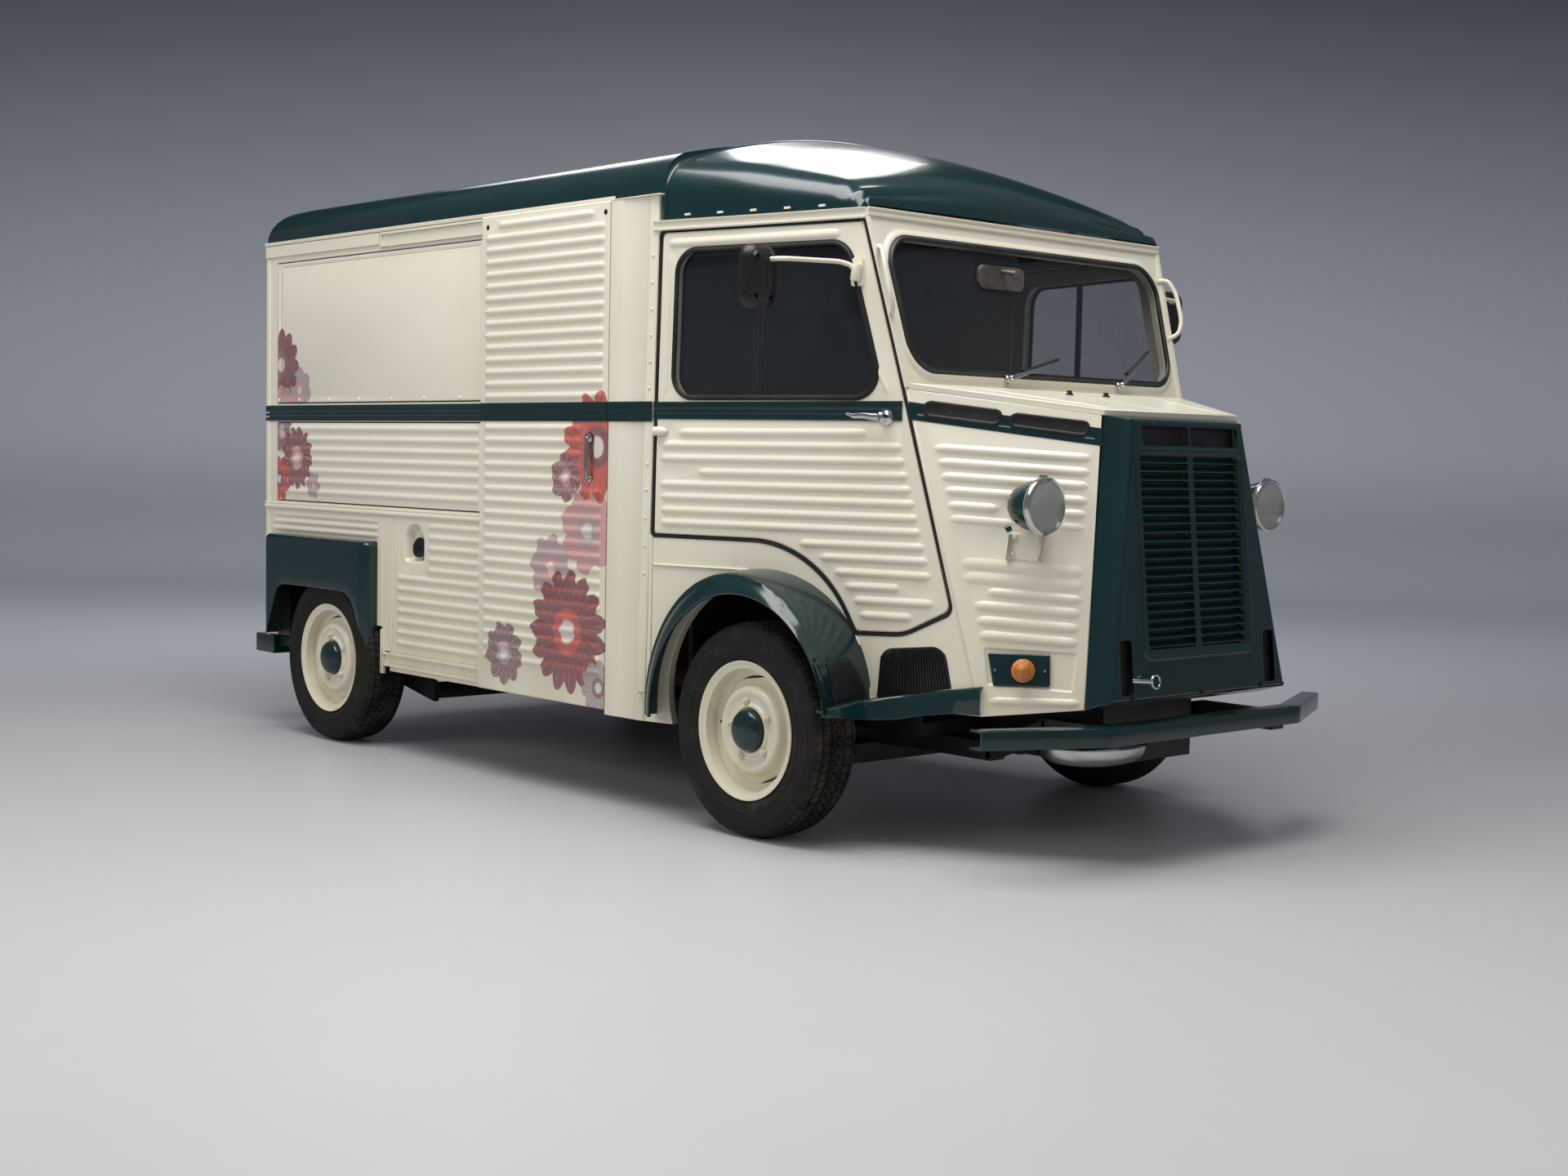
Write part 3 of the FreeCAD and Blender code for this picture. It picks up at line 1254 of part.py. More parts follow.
def main():
    os.makedirs("parts", exist_ok=True)
    export("load_floor", loadFloor())
    joined("rear_wheel_houses", rearWheelHouse())

    # The hatch hangs from its top edge and the counter flap folds down about its bottom edge
    hingePlaces = [(hatchFrontX - hatchRearX) * share for share in (0.1, 0.5, 0.9)]
    wall, hatch = hinged(rightWall(), servingHatch(), (hatchRearX, -wallOuterY, hatchTopZ - panelGap / 2),
                         (hatchFrontX, -wallOuterY, hatchTopZ - panelGap / 2), hingePlaces)
    wall, flap = hinged(wall, counterFlap(), (hatchRearX, -wallOuterY, counterBottomZ + panelGap / 2),
                        (hatchFrontX, -wallOuterY, counterBottomZ + panelGap / 2), hingePlaces)
    export("wall_right", wall)
    export("serving_hatch", hatch)
    export("counter_flap", flap)
    export("wall_left", leftWall())

    frame, topFlap = hinged(rearFrame(), rearTopFlap(), (bodyRearX, 0, rearOpenTopZ - panelGap / 2),
                            (bodyRearX, 1, rearOpenTopZ - panelGap / 2), (-450.0, 450.0))
    rearDoor = rearDoorRight()
    hingeY = rearOpenY - panelGap / 2
    frame, rearDoor = hinged(frame, rearDoor, (bodyRearX, -hingeY, 0), (bodyRearX, -hingeY, 1), (520.0, 1200.0))
    frame, leftDoor = hinged(frame, mirrored(rearDoorRight()), (bodyRearX, hingeY, 0), (bodyRearX, hingeY, 1), (520.0, 1200.0))
    export("rear_frame", frame)
    export("rear_top_flap", topFlap)
    export("rear_flap_glass", rearFlapGlass())
    export("rear_door_right", rearDoor)
    export("rear_door_left", leftDoor)

    export("load_roof", loadRoof())
    export("cab_roof", cabRoof())
    joined("door_posts", doorPost())
    export("cab_floor", cabFloor())
    joined("front_wheel_houses", frontWheelHouse())

    low, high = doorHinge()
    side, door = hinged(cabSide(), cabDoor(), low, high, (doorHingeLow, doorHingeHigh), 7.0)
    pair("cab_side", side)
    pair("cab_door", door)
    pair("cab_door_glass", cabDoorGlass())
    pair("mirror", mirror())

    screen, hood = hinged(screenFrame(), bonnet(), (bonnetHingeX, 0, bonnetHingeZ), (bonnetHingeX, 1, bonnetHingeZ),
                          (-480.0, 480.0))
    export("windscreen_frame", screen)
    export("bonnet", hood)
    export("firewall", firewall().cut(hood))
    export("windscreen_glass", screenGlass())
    joined("nose_sides", noseSide())
    export("grille_shell", grilleShell())
    export("front_bumper", frontBumper())
    export("rear_bumper", rearBumper())
    joined("front_fenders", frontFender())
    joined("rear_fenders", rearFender())
    joined("headlamps", headlamp())
    joined("headlamp_lenses", headlampLens())
    joined("indicators", indicator())
    joined("tail_lamps", tailLamp())
    export("wipers", wipers())
    joined("grab_handles", grabHandle())
    export("door_rails", doorRails())
    export("sliding_door", slidingDoor())
    export("seats", seats())
    export("dashboard", dashboard())
    export("steering_wheel", steeringWheel())
    export("engine_block", engineBlock())
    export("front_axle", frontAxle())
    export("rear_axle", rearAxle())
    pair("knuckle", knuckle())
    for end, x, y in (("front", frontAxleX, frontWheelY), ("rear", rearAxleX, rearWheelY)):
        export("tyre_" + end + "_right", tyre(x, -y))
        export("rim_" + end + "_right", rim(x, -y, -1))
        export("tyre_" + end + "_left", tyre(x, y))
        export("rim_" + end + "_left", rim(x, y, 1))


main()
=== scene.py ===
import bmesh
import bpy
import json
import math
from mathutils import Matrix, Vector
from mathutils.geometry import delaunay_2d_cdt

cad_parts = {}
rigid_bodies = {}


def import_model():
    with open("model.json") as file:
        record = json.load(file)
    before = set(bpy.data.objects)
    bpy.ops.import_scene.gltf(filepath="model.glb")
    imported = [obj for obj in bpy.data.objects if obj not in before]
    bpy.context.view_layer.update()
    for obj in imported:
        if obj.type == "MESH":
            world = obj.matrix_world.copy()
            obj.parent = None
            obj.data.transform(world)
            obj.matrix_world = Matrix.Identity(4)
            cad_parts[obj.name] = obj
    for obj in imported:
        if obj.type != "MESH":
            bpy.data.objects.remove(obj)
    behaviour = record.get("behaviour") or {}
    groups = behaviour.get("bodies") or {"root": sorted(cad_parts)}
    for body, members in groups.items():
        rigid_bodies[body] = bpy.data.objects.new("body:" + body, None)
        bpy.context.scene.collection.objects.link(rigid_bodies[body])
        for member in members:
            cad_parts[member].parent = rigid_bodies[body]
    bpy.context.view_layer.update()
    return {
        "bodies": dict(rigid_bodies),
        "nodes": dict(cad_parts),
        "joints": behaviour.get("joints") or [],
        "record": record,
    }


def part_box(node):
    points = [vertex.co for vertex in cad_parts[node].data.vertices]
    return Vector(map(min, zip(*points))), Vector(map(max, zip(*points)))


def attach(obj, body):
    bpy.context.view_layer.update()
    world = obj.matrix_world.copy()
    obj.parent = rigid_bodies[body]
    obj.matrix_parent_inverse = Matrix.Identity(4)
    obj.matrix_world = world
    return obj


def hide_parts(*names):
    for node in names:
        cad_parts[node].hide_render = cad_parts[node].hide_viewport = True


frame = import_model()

mm = 0.001


# Node trees: one class wraps a socket, one makes the nodes


class Link:
    def __init__(self, nodes, socket):
        self.nodes = nodes
        self.socket = socket

    def out(self, name):
        return Link(self.nodes, self.socket.node.outputs[name])

    def __add__(self, other):
        return self.nodes.math("ADD", self, other)

    def __radd__(self, other):
        return self.nodes.math("ADD", other, self)

    def __sub__(self, other):
        return self.nodes.math("SUBTRACT", self, other)

    def __rsub__(self, other):
        return self.nodes.math("SUBTRACT", other, self)

    def __mul__(self, other):
        return self.nodes.math("MULTIPLY", self, other)

    def __truediv__(self, other):
        return self.nodes.math("DIVIDE", self, other)


class Nodes:
    def __init__(self, tree):
        self.tree = tree
        tree.nodes.clear()

    def add(self, kind, settings=None, inputs=None, output=0):
        node = self.tree.nodes.new(kind)
        for name, value in (settings or {}).items():
            setattr(node, name, value)
        for key, value in (inputs or {}).items():
            if isinstance(value, Link):
                self.tree.links.new(value.socket, node.inputs[key])
            else:
                node.inputs[key].default_value = value
        return Link(self, node.outputs[output]) if len(node.outputs) else node

    def math(self, operation, *values):
        return self.add("ShaderNodeMath", {"operation": operation}, dict(enumerate(values)))

    def least(self, a, b):
        return self.math("MINIMUM", a, b)

    def step(self, value, low, high):
        # 0 below low, 1 above high, smooth between them
        return self.add("ShaderNodeMapRange", {"interpolation_type": "SMOOTHSTEP"},
                        {"Value": value, "From Min": low, "From Max": high})

    def mix(self, amount, first, second):
        return self.add("ShaderNodeMix", {"data_type": "RGBA"}, {0: amount, 6: first, 7: second}, 2)

    def place(self):
        return self.add("ShaderNodeTexCoord", output="Object")

    def parts(self, vector):
        split = self.add("ShaderNodeSeparateXYZ", inputs={0: vector})
        return split, split.out("Y"), split.out("Z")

    def noise(self, scale, detail=3.0, rough=0.5, vector=None):
        return self.add("ShaderNodeTexNoise", inputs={
            "Vector": vector or self.place(), "Scale": scale, "Detail": detail, "Roughness": rough})

    def bump(self, height, strength, distance=0.001):
        return self.add("ShaderNodeBump", inputs={"Height": height, "Strength": strength,
                "Distance": distance})

    def stretched(self, x, y, z):
        return self.add("ShaderNodeMapping", inputs={"Vector": self.place(), "Scale": (x, y, z)})


def colour(r, g, b):
    return (r, g, b, 1.0)


def newMaterial(name, tint, viewRough=0.5, viewMetal=0.0):
    material = bpy.data.materials.new(name)
    material.use_nodes = True
    material.diffuse_color = tint
    material.roughness = viewRough
    material.metallic = viewMetal
    return material, Nodes(material.node_tree)


def shade(nodes, **values):
    # one shader with these inputs, joined to the material's output
    inputs = {key.replace("_", " "): value for key, value in values.items()}
    shader = nodes.add("ShaderNodeBsdfPrincipled", inputs=inputs)
    nodes.add("ShaderNodeOutputMaterial", inputs={"Surface": shader})


# Finishes of the whole vehicle, in linear colour


finishes = {
    "cream": (0.75, 0.705, 0.575),
    "creamToneAndShade": (0.66, 0.595, 0.44),
    "creamDust": (0.42, 0.35, 0.24),
    "green": (0.0022, 0.0185, 0.0195),
    "greenWorn": (0.005, 0.026, 0.028),
    "black": (0.006, 0.006, 0.0065),
    "rubber": (0.008, 0.008, 0.0085),
    "tyre": (0.013, 0.0128, 0.0118),
    "treadDust": (0.075, 0.058, 0.043),
    "steel": (0.22, 0.21, 0.20),
    "amber": (0.72, 0.22, 0.015),
    "red": (0.42, 0.012, 0.01),
    "vinyl": (0.13, 0.035, 0.022),
    "burgundy": (0.17, 0.018, 0.024),
    "scarlet": (0.52, 0.05, 0.025),
    "rose": (0.60, 0.30, 0.27),
    "lilac": (0.42, 0.33, 0.34),
    "dusk": (0.20, 0.10, 0.10),
}


def tint(name):
    return colour(*finishes[name])


def creamBase(nodes):
    # sprayed coat over old sheet: broad tone drift, painted shade darker towards the bottom, soft dirt low
    # down and in runs
    z = nodes.parts(nodes.place())[2]
    drift = nodes.noise(1.3, 4.0, 0.6)
    runs = nodes.noise(1.0, 4.0, 0.6, nodes.stretched(9.0, 9.0, 0.8))
    # painted shade: the cream turns to the shade tone towards the bottom, over a random tone drift
    base = nodes.mix(nodes.step(drift, 0.35, 0.75) * 0.30 + nodes.step(z, 1.3, 0.4) * 0.42, tint("cream"),
                     tint("creamToneAndShade"))
    dirt = nodes.step(runs, 0.60, 0.80) * 0.16 + nodes.step(z, 0.62, 0.30) * nodes.step(runs, 0.35,
            0.7) * 0.26
    return nodes.mix(dirt, base, tint("creamDust"))


def creamSurface(nodes, base):
    wear = nodes.noise(26.0, 5.0, 0.62)
    peel = nodes.noise(520.0, 2.0, 0.5)
    dents = nodes.noise(5.0, 2.0, 0.5)
    normal = nodes.bump(peel * 0.05 + dents * 1.0, 0.32, 0.004)
    shade(nodes, Base_Color=base, Roughness=0.30 + wear * 0.14, Coat_Weight=0.35, Coat_Roughness=0.12,
          Normal=normal)


def makeCream():
    material, nodes = newMaterial("creamPaint", tint("cream"), 0.35)
    creamSurface(nodes, creamBase(nodes))
    return material


def makeWallCream():
    # the walls' cream, black on what the rear fenders cover
    material, nodes = newMaterial("wallPaint", tint("cream"), 0.35)
    x, _, z = nodes.parts(nodes.place())
    behind = nodes.step(x, -1.945, -1.935) * nodes.step(x, -1.135, -1.145) * nodes.step(z, 0.775, 0.765)
    creamSurface(nodes, nodes.mix(behind, creamBase(nodes), colour(0.008, 0.008, 0.008)))
    return material


def makeGreen():
    material, nodes = newMaterial("greenPaint", tint("green"), 0.2)
    drift = nodes.noise(2.2, 4.0, 0.6)
    specks = nodes.noise(70.0, 4.0, 0.7)
    ripple = nodes.noise(3.4, 2.0, 0.5)
    peel = nodes.noise(420.0, 2.0, 0.5)
    base = nodes.mix(nodes.step(drift, 0.3, 0.75) * 0.55 + nodes.step(specks, 0.68, 0.74) * 0.3,
                     tint("green"), tint("greenWorn"))
    normal = nodes.bump(peel * 0.03 + ripple * 1.4, 0.28, 0.005)
    shade(nodes, Base_Color=base, Roughness=0.16 + specks * 0.10, Coat_Weight=0.2, Coat_Roughness=0.04,
          Normal=normal)
    return material


def makeDull(name, key, worn, rough=0.55, scale=60.0, strength=0.3, metal=0.0):
    # dull black metal, rubber and plastic: grain, grey dust and an uneven sheen
    material, nodes = newMaterial(name, tint(key), rough, metal)
    grain = nodes.noise(scale, 5.0, 0.65)
    dust = nodes.noise(6.0, 5.0, 0.7)
    base = nodes.mix(nodes.step(dust, 0.45, 0.8) * 0.6, tint(key), worn)
    shade(nodes, Base_Color=base, Roughness=rough - 0.12 + grain * 0.24, Metallic=metal,
          Normal=nodes.bump(grain, strength, 0.0012))
    return material


def makeTyre():
    material, nodes = newMaterial("tyreRubber", tint("tyre"), 0.8)
    y = nodes.parts(nodes.place())[1]
    grain = nodes.noise(160.0, 4.0, 0.6)
    scuff = nodes.noise(11.0, 6.0, 0.72)
    across = nodes.math("ABSOLUTE", y)
    face = nodes.step(across, 0.885, 0.902)
    brown = nodes.step(scuff, 0.42, 0.70) * (1 - face * 0.75)
    base = nodes.mix(brown * 0.75, tint("tyre"), tint("treadDust"))
    base = nodes.mix(nodes.step(scuff, 0.55, 0.72) * face * 0.35, base, colour(0.06, 0.058, 0.055))
    shade(nodes, Base_Color=base, Roughness=0.62 + scuff * 0.3, Specular_IOR_Level=0.22,
          Normal=nodes.bump(grain, 0.35, 0.0008))
    return material


def makeGlass():
    # tinted sheet: dark, with a dusty film in patches
    material, nodes = newMaterial("tintedGlass", colour(0.02, 0.024, 0.028), 0.05)
    film = nodes.noise(9.0, 6.0, 0.7)
    base = nodes.mix(nodes.step(film, 0.5, 0.9) * 0.5, colour(0.03, 0.037, 0.046),
                     colour(0.075, 0.08, 0.088))
    shade(nodes, Base_Color=base, Roughness=0.02 + film * 0.05, Alpha=0.20 + film * 0.10, IOR=1.5)
    return material


def makeLampGlass():
    material, nodes = newMaterial("lampGlass", colour(0.8, 0.82, 0.8), 0.1)
    y = nodes.parts(nodes.place())[1]
    flutes = nodes.math("ABSOLUTE", nodes.math("SINE", y * 420.0))
    haze = nodes.noise(40.0, 3.0, 0.6)
    base = nodes.mix(haze, colour(0.42, 0.43, 0.40), colour(0.62, 0.62, 0.56))
    shade(nodes, Base_Color=base, Roughness=0.04 + haze * 0.08, Alpha=0.10 + flutes * 0.16, IOR=1.5,
          Normal=nodes.bump(flutes, 0.5, 0.002))
    return material


def makeLens(name, key, lines):
    material, nodes = newMaterial(name, tint(key), 0.15)
    z = nodes.parts(nodes.place())[2]
    rings = nodes.math("ABSOLUTE", nodes.math("SINE", z * lines))
    deep = nodes.noise(30.0, 3.0, 0.5)
    base = nodes.mix(rings * 0.45 + deep * 0.3, tint(key),
                     colour(*[value * 0.45 for value in finishes[key]]))
    shade(nodes, Base_Color=base, Roughness=0.10 + deep * 0.12, Coat_Weight=0.7, Coat_Roughness=0.05,
          Normal=nodes.bump(rings, 0.4, 0.0015))
    return material


def makeChrome():
    material, nodes = newMaterial("brightMetal", colour(0.7, 0.7, 0.7), 0.15, 1.0)
    pits = nodes.noise(90.0, 4.0, 0.7)
    cloud = nodes.noise(14.0, 4.0, 0.6)
    base = nodes.mix(nodes.step(pits, 0.58, 0.75) * 0.5, colour(0.66, 0.66, 0.65), colour(0.33, 0.31, 0.29))
    shade(nodes, Base_Color=base, Metallic=1.0, Roughness=0.09 + cloud * 0.20,
          Normal=nodes.bump(pits, 0.12, 0.0005))
    return material


def makeSteel():
    material, nodes = newMaterial("rawSteel", tint("steel"), 0.5, 0.8)
    cast = nodes.noise(48.0, 6.0, 0.7)
    stain = nodes.noise(7.0, 5.0, 0.7)
    base = nodes.mix(nodes.step(stain, 0.45, 0.7) * 0.7, tint("steel"), colour(0.085, 0.06, 0.045))
    shade(nodes, Base_Color=base, Metallic=0.75, Roughness=0.38 + cast * 0.3,
          Normal=nodes.bump(cast, 0.5, 0.0015))
    return material


def makeVinyl():
    # grained seat vinyl with creases
    material, nodes = newMaterial("seatVinyl", tint("vinyl"), 0.45)
    pebble = nodes.add("ShaderNodeTexVoronoi", {"feature": "DISTANCE_TO_EDGE"},
                       {"Vector": nodes.place(), "Scale": 420.0})
    tone = nodes.noise(8.0, 5.0, 0.65)
    base = nodes.mix(nodes.step(tone, 0.35, 0.7) * 0.6, tint("vinyl"), colour(0.075, 0.022, 0.016))
    shade(nodes, Base_Color=base, Roughness=0.36 + tone * 0.2,
          Normal=nodes.bump(nodes.least(pebble, 0.12) * 6.0 + tone * 2.0, 0.35, 0.0012))
    return material


def makeBoards():
    # floor covering of the load space: brown ply with long grain
    material, nodes = newMaterial("floorPly", colour(0.2, 0.13, 0.08), 0.6)
    grain = nodes.noise(14.0, 8.0, 0.7, nodes.stretched(0.5, 9.0, 9.0))
    z = nodes.parts(nodes.place())[2]
    wood = nodes.mix(grain, colour(0.24, 0.16, 0.095), colour(0.11, 0.065, 0.038))
    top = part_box("load_floor")[1][2]
    base = nodes.mix(nodes.step(z, top - 0.004, top - 0.001), colour(0.012, 0.012, 0.012), wood)
    shade(nodes, Base_Color=base, Roughness=0.5 + grain * 0.25, Normal=nodes.bump(grain, 0.3, 0.001))
    return material


# Painted pattern: petal rosettes, each with a centre, radius, petals, turn and two colours


patterns = {
    "door": (
        (-0.235, 0.455, 0.115, 9, 0.3, "dusk", "lilac"),
        (0.245, 0.905, 0.150, 7, 0.9, "rose", "lilac"),
        (0.040, 0.770, 0.120, 8, 0.2, "lilac", "rose"),
        (0.140, 0.560, 0.215, 15, 0.5, "burgundy", "scarlet"),
        (0.290, 1.185, 0.190, 13, 0.0, "scarlet", "burgundy"),
        (0.120, 1.080, 0.085, 6, 0.4, "dusk", "rose"),
        (0.315, 0.385, 0.095, 10, 0.7, "lilac", "dusk"),
    ),
    "hatch": (
        (-1.760, 1.395, 0.095, 7, 0.3, "lilac", "rose"),
        (-1.915, 1.500, 0.150, 12, 0.1, "burgundy", "dusk"),
        (-1.900, 1.330, 0.090, 8, 0.8, "rose", "lilac"),
    ),
    "flap": (
        (-1.905, 1.225, 0.085, 8, 0.5, "dusk", "lilac"),
        (-1.775, 1.120, 0.130, 13, 0.2, "burgundy", "rose"),
        (-1.925, 1.030, 0.095, 9, 0.6, "scarlet", "burgundy"),
        (-1.640, 1.010, 0.055, 6, 0.1, "lilac", "rose"),
    ),
}


def rosette(nodes, base, place, centreX, centreZ, radius, petals, turn, outer, inner):
    x, y, z = place
    across, up = x - centreX, z - centreZ
    reach = nodes.math("SQRT", across * across + up * up) / radius
    angle = nodes.math("ARCTAN2", up, across)
    lobe = nodes.math("ABSOLUTE", nodes.math("COSINE", angle * (petals / 2) + turn * 3.0))
    edge = 0.80 + lobe * 0.20
    mask = nodes.step(edge - reach, 0.0, 0.02)
    veins = nodes.math("ABSOLUTE", nodes.math("SINE", angle * petals + reach * 4.0 + turn))
    tone = nodes.mix(nodes.step(veins, 0.0, 0.35), tint(inner), tint(outer))
    heart = nodes.mix(nodes.step(reach, 0.16, 0.22), colour(0.70, 0.64, 0.56), tint(inner))
    ringed = nodes.mix(nodes.step(reach, 0.34, 0.40), heart, tone)
    rim = nodes.mix(nodes.step(edge - reach, 0.03, 0.06), tint(outer), ringed)
    washed = nodes.mix(nodes.noise(16.0, 4.0, 0.6) * 0.35, rim, tint("lilac"))
    # painted on the outer face only
    return nodes.mix(mask * nodes.step(y, -0.848, -0.852) * 0.94, base, washed)


def makePattern(name):
    material, nodes = newMaterial(name + "Pattern", tint("cream"), 0.35)
    place = nodes.parts(nodes.place())
    base = creamBase(nodes)
    for spot in patterns[name]:
        base = rosette(nodes, base, place, *spot)
    creamSurface(nodes, base)
    return material


looks = {
    "cream": (makeCream(), "cream_paint"),
    "wall": (makeWallCream(), "cream_paint"),
    "green": (makeGreen(), "green_paint"),
    "door": (makePattern("door"), "cream_paint"),
    "hatch": (makePattern("hatch"), "cream_paint"),
    "flap": (makePattern("flap"), "cream_paint"),
    "blackMetal": (makeDull("blackMetal", "black", colour(0.05, 0.048, 0.045), 0.5, 80.0, 0.25),
                   "black_metal"),
    "rubber": (makeDull("sealRubber", "rubber", colour(0.05, 0.05, 0.05), 0.48, 240.0, 0.15),
               "black_plastic"),
    "plastic": (makeDull("blackPlastic", "black", colour(0.035, 0.035, 0.038), 0.42, 300.0, 0.12),
                "black_plastic"),
    "tyre": (makeTyre(), "tyre"),
    "glass": (makeGlass(), "glass"),
    "lampGlass": (makeLampGlass(), "lamp_glass"),
    "amber": (makeLens("amberLens", "amber", 900.0), "amber_plastic"),
    "red": (makeLens("redLens", "red", 800.0), "red_plastic"),
    "chrome": (makeChrome(), "bright_metal"),
    "steel": (makeSteel(), "raw_metal"),
    "vinyl": (makeVinyl(), "seat_vinyl"),
    "boards": (makeBoards(), "black_metal"),
}
print("finishes made:", len(looks))


# Shapes are gathered in millimetres in the vehicle's frame, then made objects


class Shape:
    def __init__(self, points=(), faces=(), normals=None):
        self.points = []
        self.faces = []
        self.normals = []
        if points:
            self.add(points, faces, normals)

    def add(self, points, faces, normals=None):
        start = len(self.points)
        self.points += [Vector(point) for point in points]
        self.faces += [[start + index for index in face] for face in faces]
        self.normals += list(normals) if normals else [None] * len(faces)
        return self

    def join(self, *others):
        for other in others:
            self.add(other.points, other.faces, other.normals)
        return self

    def mirrored(self):
        flip = Vector((1, -1, 1))
        points = [point * flip for point in self.points]
        faces = [list(reversed(face)) for face in self.faces]
        normals = [None if corner is None else [normal * flip for normal in reversed(corner)]
                   for corner in self.normals]
        return Shape(points, faces, normals)

    def both(self):
        return Shape().join(self, self.mirrored())

    def moved(self, matrix):
        return Shape([matrix @ point for point in self.points], self.faces, self.normals)


def linked(name, data):
    thing = bpy.data.objects.new(name, data)
    bpy.context.scene.collection.objects.link(thing)
    return thing


def cleaned(mesh, weldGap=0.00002, sliver=0.000005):
    # close points welded, slivers dropped, faces turned outwards
    work = bmesh.new()
    work.from_mesh(mesh)
    bmesh.ops.remove_doubles(work, verts=work.verts, dist=weldGap)
    if sliver:
        bmesh.ops.dissolve_degenerate(work, edges=work.edges, dist=sliver)
    bmesh.ops.recalc_face_normals(work, faces=work.faces)
    work.to_mesh(mesh)
    work.free()


def finish(name, shape, look, body="body", hides=(), crease=35.0, bevel=0.0):
    mesh = bpy.data.meshes.new(name)
    mesh.from_pydata([point * mm for point in shape.points], [], shape.faces)
    ownNormals = any(normal is not None for normal in shape.normals)
    if not ownNormals:
        cleaned(mesh)
    mesh.shade_smooth()
    if ownNormals:
        corners = []
        for polygon, normal in zip(mesh.polygons, shape.normals):
            flat = polygon.normal.copy()
            corners += list(normal) if normal is not None else [flat] * polygon.loop_total
        mesh.normals_split_custom_set(corners)
    else:
        mesh.set_sharp_from_angle(angle=math.radians(crease))
    thing = linked(name, mesh)
    mesh.materials.append(looks[look][0])
    if bevel:
        cut = thing.modifiers.new("edges", "BEVEL")
        cut.width = bevel * mm
        cut.segments = 2
        cut.limit_method = "ANGLE"
        cut.angle_limit = math.radians(40)
        cut.harden_normals = True
    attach(thing, body)
    if hides:
        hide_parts(*hides)


def finishPair(body, *pieces):
    # both hands of each piece: name, right-hand shape, look, built piece that it replaces, bevel
    for side in ("right", "left"):
        for name, shape, look, built, bevel in pieces:
            finish(name + side.title(), shape if side == "right" else shape.mirrored(), look, body + side,
                   [built + side] if built else (), bevel=bevel)


def roundedLoop(corners, radii, steps=7):
    # flat outline whose corners are rounded by tangent arcs
    loop = []
    count = len(corners)
    radii = radii if isinstance(radii, (list, tuple)) else [radii] * count
    for index in range(count):
        point = Vector(corners[index])
        if radii[index] <= 0:
            loop.append(point)
            continue
        back = (Vector(corners[index - 1]) - point).normalized()
        ahead = (Vector(corners[(index + 1) % count]) - point).normalized()
        half = back.angle(ahead) / 2
        centre = point + (back + ahead).normalized() * (radii[index] / math.sin(half))
        first = point + back * (radii[index] / math.tan(half)) - centre
        last = point + ahead * (radii[index] / math.tan(half)) - centre
        turn = math.atan2(first.x * last.y - first.y * last.x, first.dot(last))
        pieces = max(2, min(24, int(steps * abs(turn) * max(1.0, radii[index] / 90.0))))
        for step in range(pieces + 1):
            angle = turn * step / pieces
            loop.append(centre + Vector((first.x * math.cos(angle) - first.y * math.sin(angle),
                                         first.x * math.sin(angle) + first.y * math.cos(angle))))
    return loop


def area(loop):
    return sum(a.x * b.y - b.x * a.y for a, b in zip(loop, loop[1:] + loop[:1])) / 2


def outwardOf(loop):
    # outward direction at each point of a flat outline
    sign = 1 if area(loop) > 0 else -1
    found = []
    for index, point in enumerate(loop):
        back = (point - loop[index - 1]).normalized()
        ahead = (loop[(index + 1) % len(loop)] - point).normalized()
        first, second = Vector((back.y, -back.x)) * sign, Vector((ahead.y, -ahead.x)) * sign
        middle = (first + second).normalized()
        found.append(middle / max(0.45, middle.dot(first)))
    return found


def insetLoop(loop, distance):
    return [point - away * distance for point, away in zip(loop, outwardOf(loop))]


def inside(point, loop):
    found = False
    last = loop[-1]
    for here in loop:
        if (here.y > point.y) != (last.y > point.y):
            if point.x < (last.x - here.x) * (point.y - here.y) / (last.y - here.y) + here.x:
                found = not found
        last = here
    return found


class Plane:
    # a sheet's plane: two directions for the flat outline, and outwards
    def __init__(self, origin, across, up):
        self.origin, self.across, self.up = Vector(origin), Vector(across), Vector(up)
        self.out = self.across.cross(self.up).normalized()

    def at(self, point, height=0.0):
        return self.origin + self.across * point[0] + self.up * point[1] + self.out * height

    def raised(self, height):
        return Plane(self.origin + self.out * height, self.across, self.up)


cabSlope = 0.2288
screenSlope = 0.288


def sideY(x):
    # the cab's right side narrows forwards
    return -(876.0 - cabSlope * (x - 559.0))


noseNormal = Vector((0.5796, -0.8059, 0.1205))
noseStart = Vector((1490.0, sideY(1490.0), 1372.0))
wallPlane = Plane((0, -862, 0), (1, 0, 0), (0, 0, 1))
doorPlane = Plane((0, -890, 0), (1, 0, 0), (0, 0, 1))
flapPlane = Plane((0, -865, 0), (1, 0, 0), (0, 0, 1))
cabPlane = Plane((0, sideY(0), 0), (1, cabSlope, 0), (0, 0, 1))
rearPlane = Plane((-2039, 0, 0), (0, -1, 0), (0, 0, 1))
screenPlane = Plane((1337 + 1903 * screenSlope, 0, 0), (0, 1, 0), (-screenSlope, 0, 1))
shellPlane = Plane((2012 + 1298 * 83 / 812, 0, 0), (0, 1, 0), (-83 / 812, 0, 1))


def nosePlaneOf():
    slopeX = -noseNormal.x / noseNormal.y
    slopeZ = -noseNormal.z / noseNormal.y
    start = noseStart.y - slopeX * noseStart.x - slopeZ * noseStart.z
    return Plane((0, start, 0), (1, slopeX, 0), (0, slopeZ, 1))


nosePlane = nosePlaneOf()


